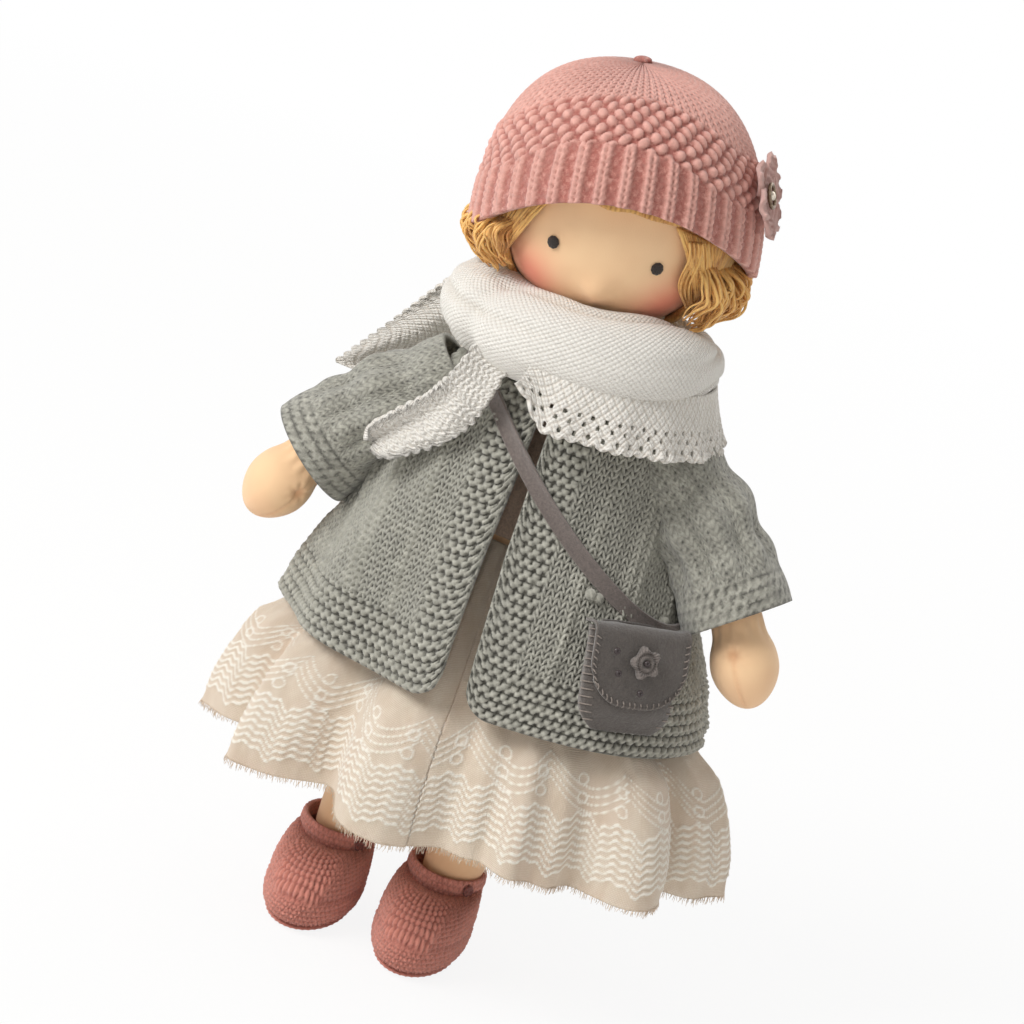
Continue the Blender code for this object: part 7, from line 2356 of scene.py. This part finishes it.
class DOLL_OT_stage(bpy.types.Operator):
    """Set the camera, the pale floor and the soft studio light"""
    bl_idname = "doll.stage"
    bl_label = "Stage"

    def execute(self, context):
        stage = settings(context)[3]
        scene = context.scene
        scene.view_settings.view_transform = "Standard"
        camera = bpy.data.cameras.new("camera")
        camera.lens = stage.lens
        camera.clip_end = 20
        distance = stage.field * stage.lens / camera.sensor_width
        heading = -QUARTER + stage.azimuth
        way = Vector((math.cos(heading) * math.cos(stage.elevation), math.sin(heading)
                      * math.cos(stage.elevation),
                      math.sin(stage.elevation)))
        aim = Vector((stage.aim_x, 0, stage.aim_z))
        holder = bpy.data.objects.new("camera", camera)
        scene.collection.objects.link(holder)
        turn = way.to_track_quat("Z", "Y").to_matrix().to_4x4()
        holder.matrix_world = (
            Matrix.Translation(aim + way * distance) @ turn @ Matrix.Rotation(stage.roll, 4, "Z")
        )
        scene.camera = holder
        self.lamps(scene, stage)
        self.ground(stage)
        return {"FINISHED"}

    def lamps(self, scene, stage):
        """A large lamp at the upper left, weak lamps at the right and behind, and pale light all round."""
        for name, power, size, spot in (
            ("key", stage.key_power, 0.8, Vector((-0.95, -0.85, 1.10))),
            ("fill", stage.fill_power, 1.2, Vector((1.1, -0.7, 0.6))),
            ("back", stage.back_power, 1.2, Vector((0.5, 1.3, 0.9))),
        ):
            lamp = bpy.data.lights.new(name, "AREA")
            lamp.energy = power
            lamp.size = size
            holder = bpy.data.objects.new(name, lamp)
            aim = Vector((0, 0, stage.aim_z))
            holder.matrix_world = (
                Matrix.Translation(aim + spot) @ spot.to_track_quat("Z", "Y").to_matrix().to_4x4()
            )
            scene.collection.objects.link(holder)
        world = bpy.data.worlds.new("studio")
        scene.world = world
        world.use_nodes = True
        tree = world.node_tree
        shown = white_paths(tree)
        light = tree.nodes["Background"]
        light.inputs["Color"].default_value = (1.0, 0.985, 0.965, 1)
        tree.links.new(ranged(tree, shown, 0.0, 1.0, stage.world_light, 1.0), light.inputs["Strength"])

    def ground(self, stage):
        """The floor under the doll."""
        reach = stage.floor_reach
        corners = np.array(((-reach, -reach, 0), (reach, -reach, 0), (reach, reach, 0), (-reach, reach, 0)))
        floor = new_object("floor", corners, np.array(((0, 1, 2, 3),)))
        made = bpy.data.materials.new("floor_paint")
        made.use_nodes = True
        tree = made.node_tree
        shader = tree.nodes["Principled BSDF"]
        shader.inputs["Base Color"].default_value = (*stage.floor, 1)
        shader.inputs["Roughness"].default_value = 1.0
        shader.inputs["Specular IOR Level"].default_value = 0.0
        paper = node(tree, "ShaderNodeEmission", {"Color": (1, 1, 1, 1), "Strength": 1.0})
        blend = tree.nodes.new("ShaderNodeMixShader")
        spot = node(tree, "ShaderNodeTexCoord", output=3)
        far = node(tree, "ShaderNodeVectorMath", {0: spot}, 1, operation="LENGTH")
        white = ranged(tree, far, FLOOR_NEAR, FLOOR_FAR, stage.paper_share, 1.0)
        share = node(tree, "ShaderNodeMath", {0: white_paths(tree), 1: white}, operation="MULTIPLY")
        tree.links.new(share, blend.inputs[0])
        tree.links.new(shader.outputs[0], blend.inputs[1])
        tree.links.new(paper, blend.inputs[2])
        output = next(one for one in tree.nodes if one.type == "OUTPUT_MATERIAL")
        tree.links.new(blend.outputs[0], output.inputs["Surface"])
        floor.data.materials.append(made)


def white_paths(tree):
    """1 for what the camera, a mirror or a glass sees, 0 for light on its way."""
    path = tree.nodes.new("ShaderNodeLightPath")
    seen = node(tree, "ShaderNodeMath", {0: path.outputs["Is Camera Ray"], 1: path.outputs["Is Glossy Ray"]},
                operation="MAXIMUM")
    return node(tree, "ShaderNodeMath", {0: seen, 1: path.outputs["Is Transmission Ray"]},
                operation="MAXIMUM")


class DOLL_PT_panel(bpy.types.Panel):
    """Buttons for the doll's pieces"""
    bl_label = "Doll"
    bl_idname = "DOLL_PT_panel"
    bl_space_type = "VIEW_3D"
    bl_region_type = "UI"
    bl_category = "Doll"

    def draw(self, context):
        for group in settings(context):
            box = self.layout.box()
            for key in group.bl_rna.properties.keys():
                if key not in ("rna_type", "name"):
                    box.prop(group, key)
        for operator in OPERATORS:
            self.layout.operator(operator.bl_idname)


GROUPS = {
    "doll_body": DollBody,
    "doll_yarn": DollYarn,
    "doll_cloth": DollCloth,
    "doll_stage": DollStage,
}
OPERATORS = (
    DOLL_OT_stage,
    DOLL_OT_head,
    DOLL_OT_hat,
    DOLL_OT_cardigan,
    DOLL_OT_sleeves,
    DOLL_OT_body,
    DOLL_OT_skirt,
    DOLL_OT_scarf,
    DOLL_OT_limbs,
    DOLL_OT_shoes,
    DOLL_OT_bag,
    DOLL_OT_hair,
)


def register():
    """Add the doll's settings, operators and panel to Blender."""
    for made in (*GROUPS.values(), *OPERATORS, DOLL_PT_panel):
        bpy.utils.register_class(made)
    for name, group in GROUPS.items():
        setattr(bpy.types.Scene, name, bpy.props.PointerProperty(type=group))


def unregister():
    """Take them out again."""
    for name in GROUPS:
        delattr(bpy.types.Scene, name)
    for made in reversed((*GROUPS.values(), *OPERATORS, DOLL_PT_panel)):
        bpy.utils.unregister_class(made)


def main():
    """Register the doll's classes, then build every piece."""
    register()
    for operator in OPERATORS:
        group, name = operator.bl_idname.split(".")
        getattr(getattr(bpy.ops, group), name)()


if __name__ == "__main__":
    main()
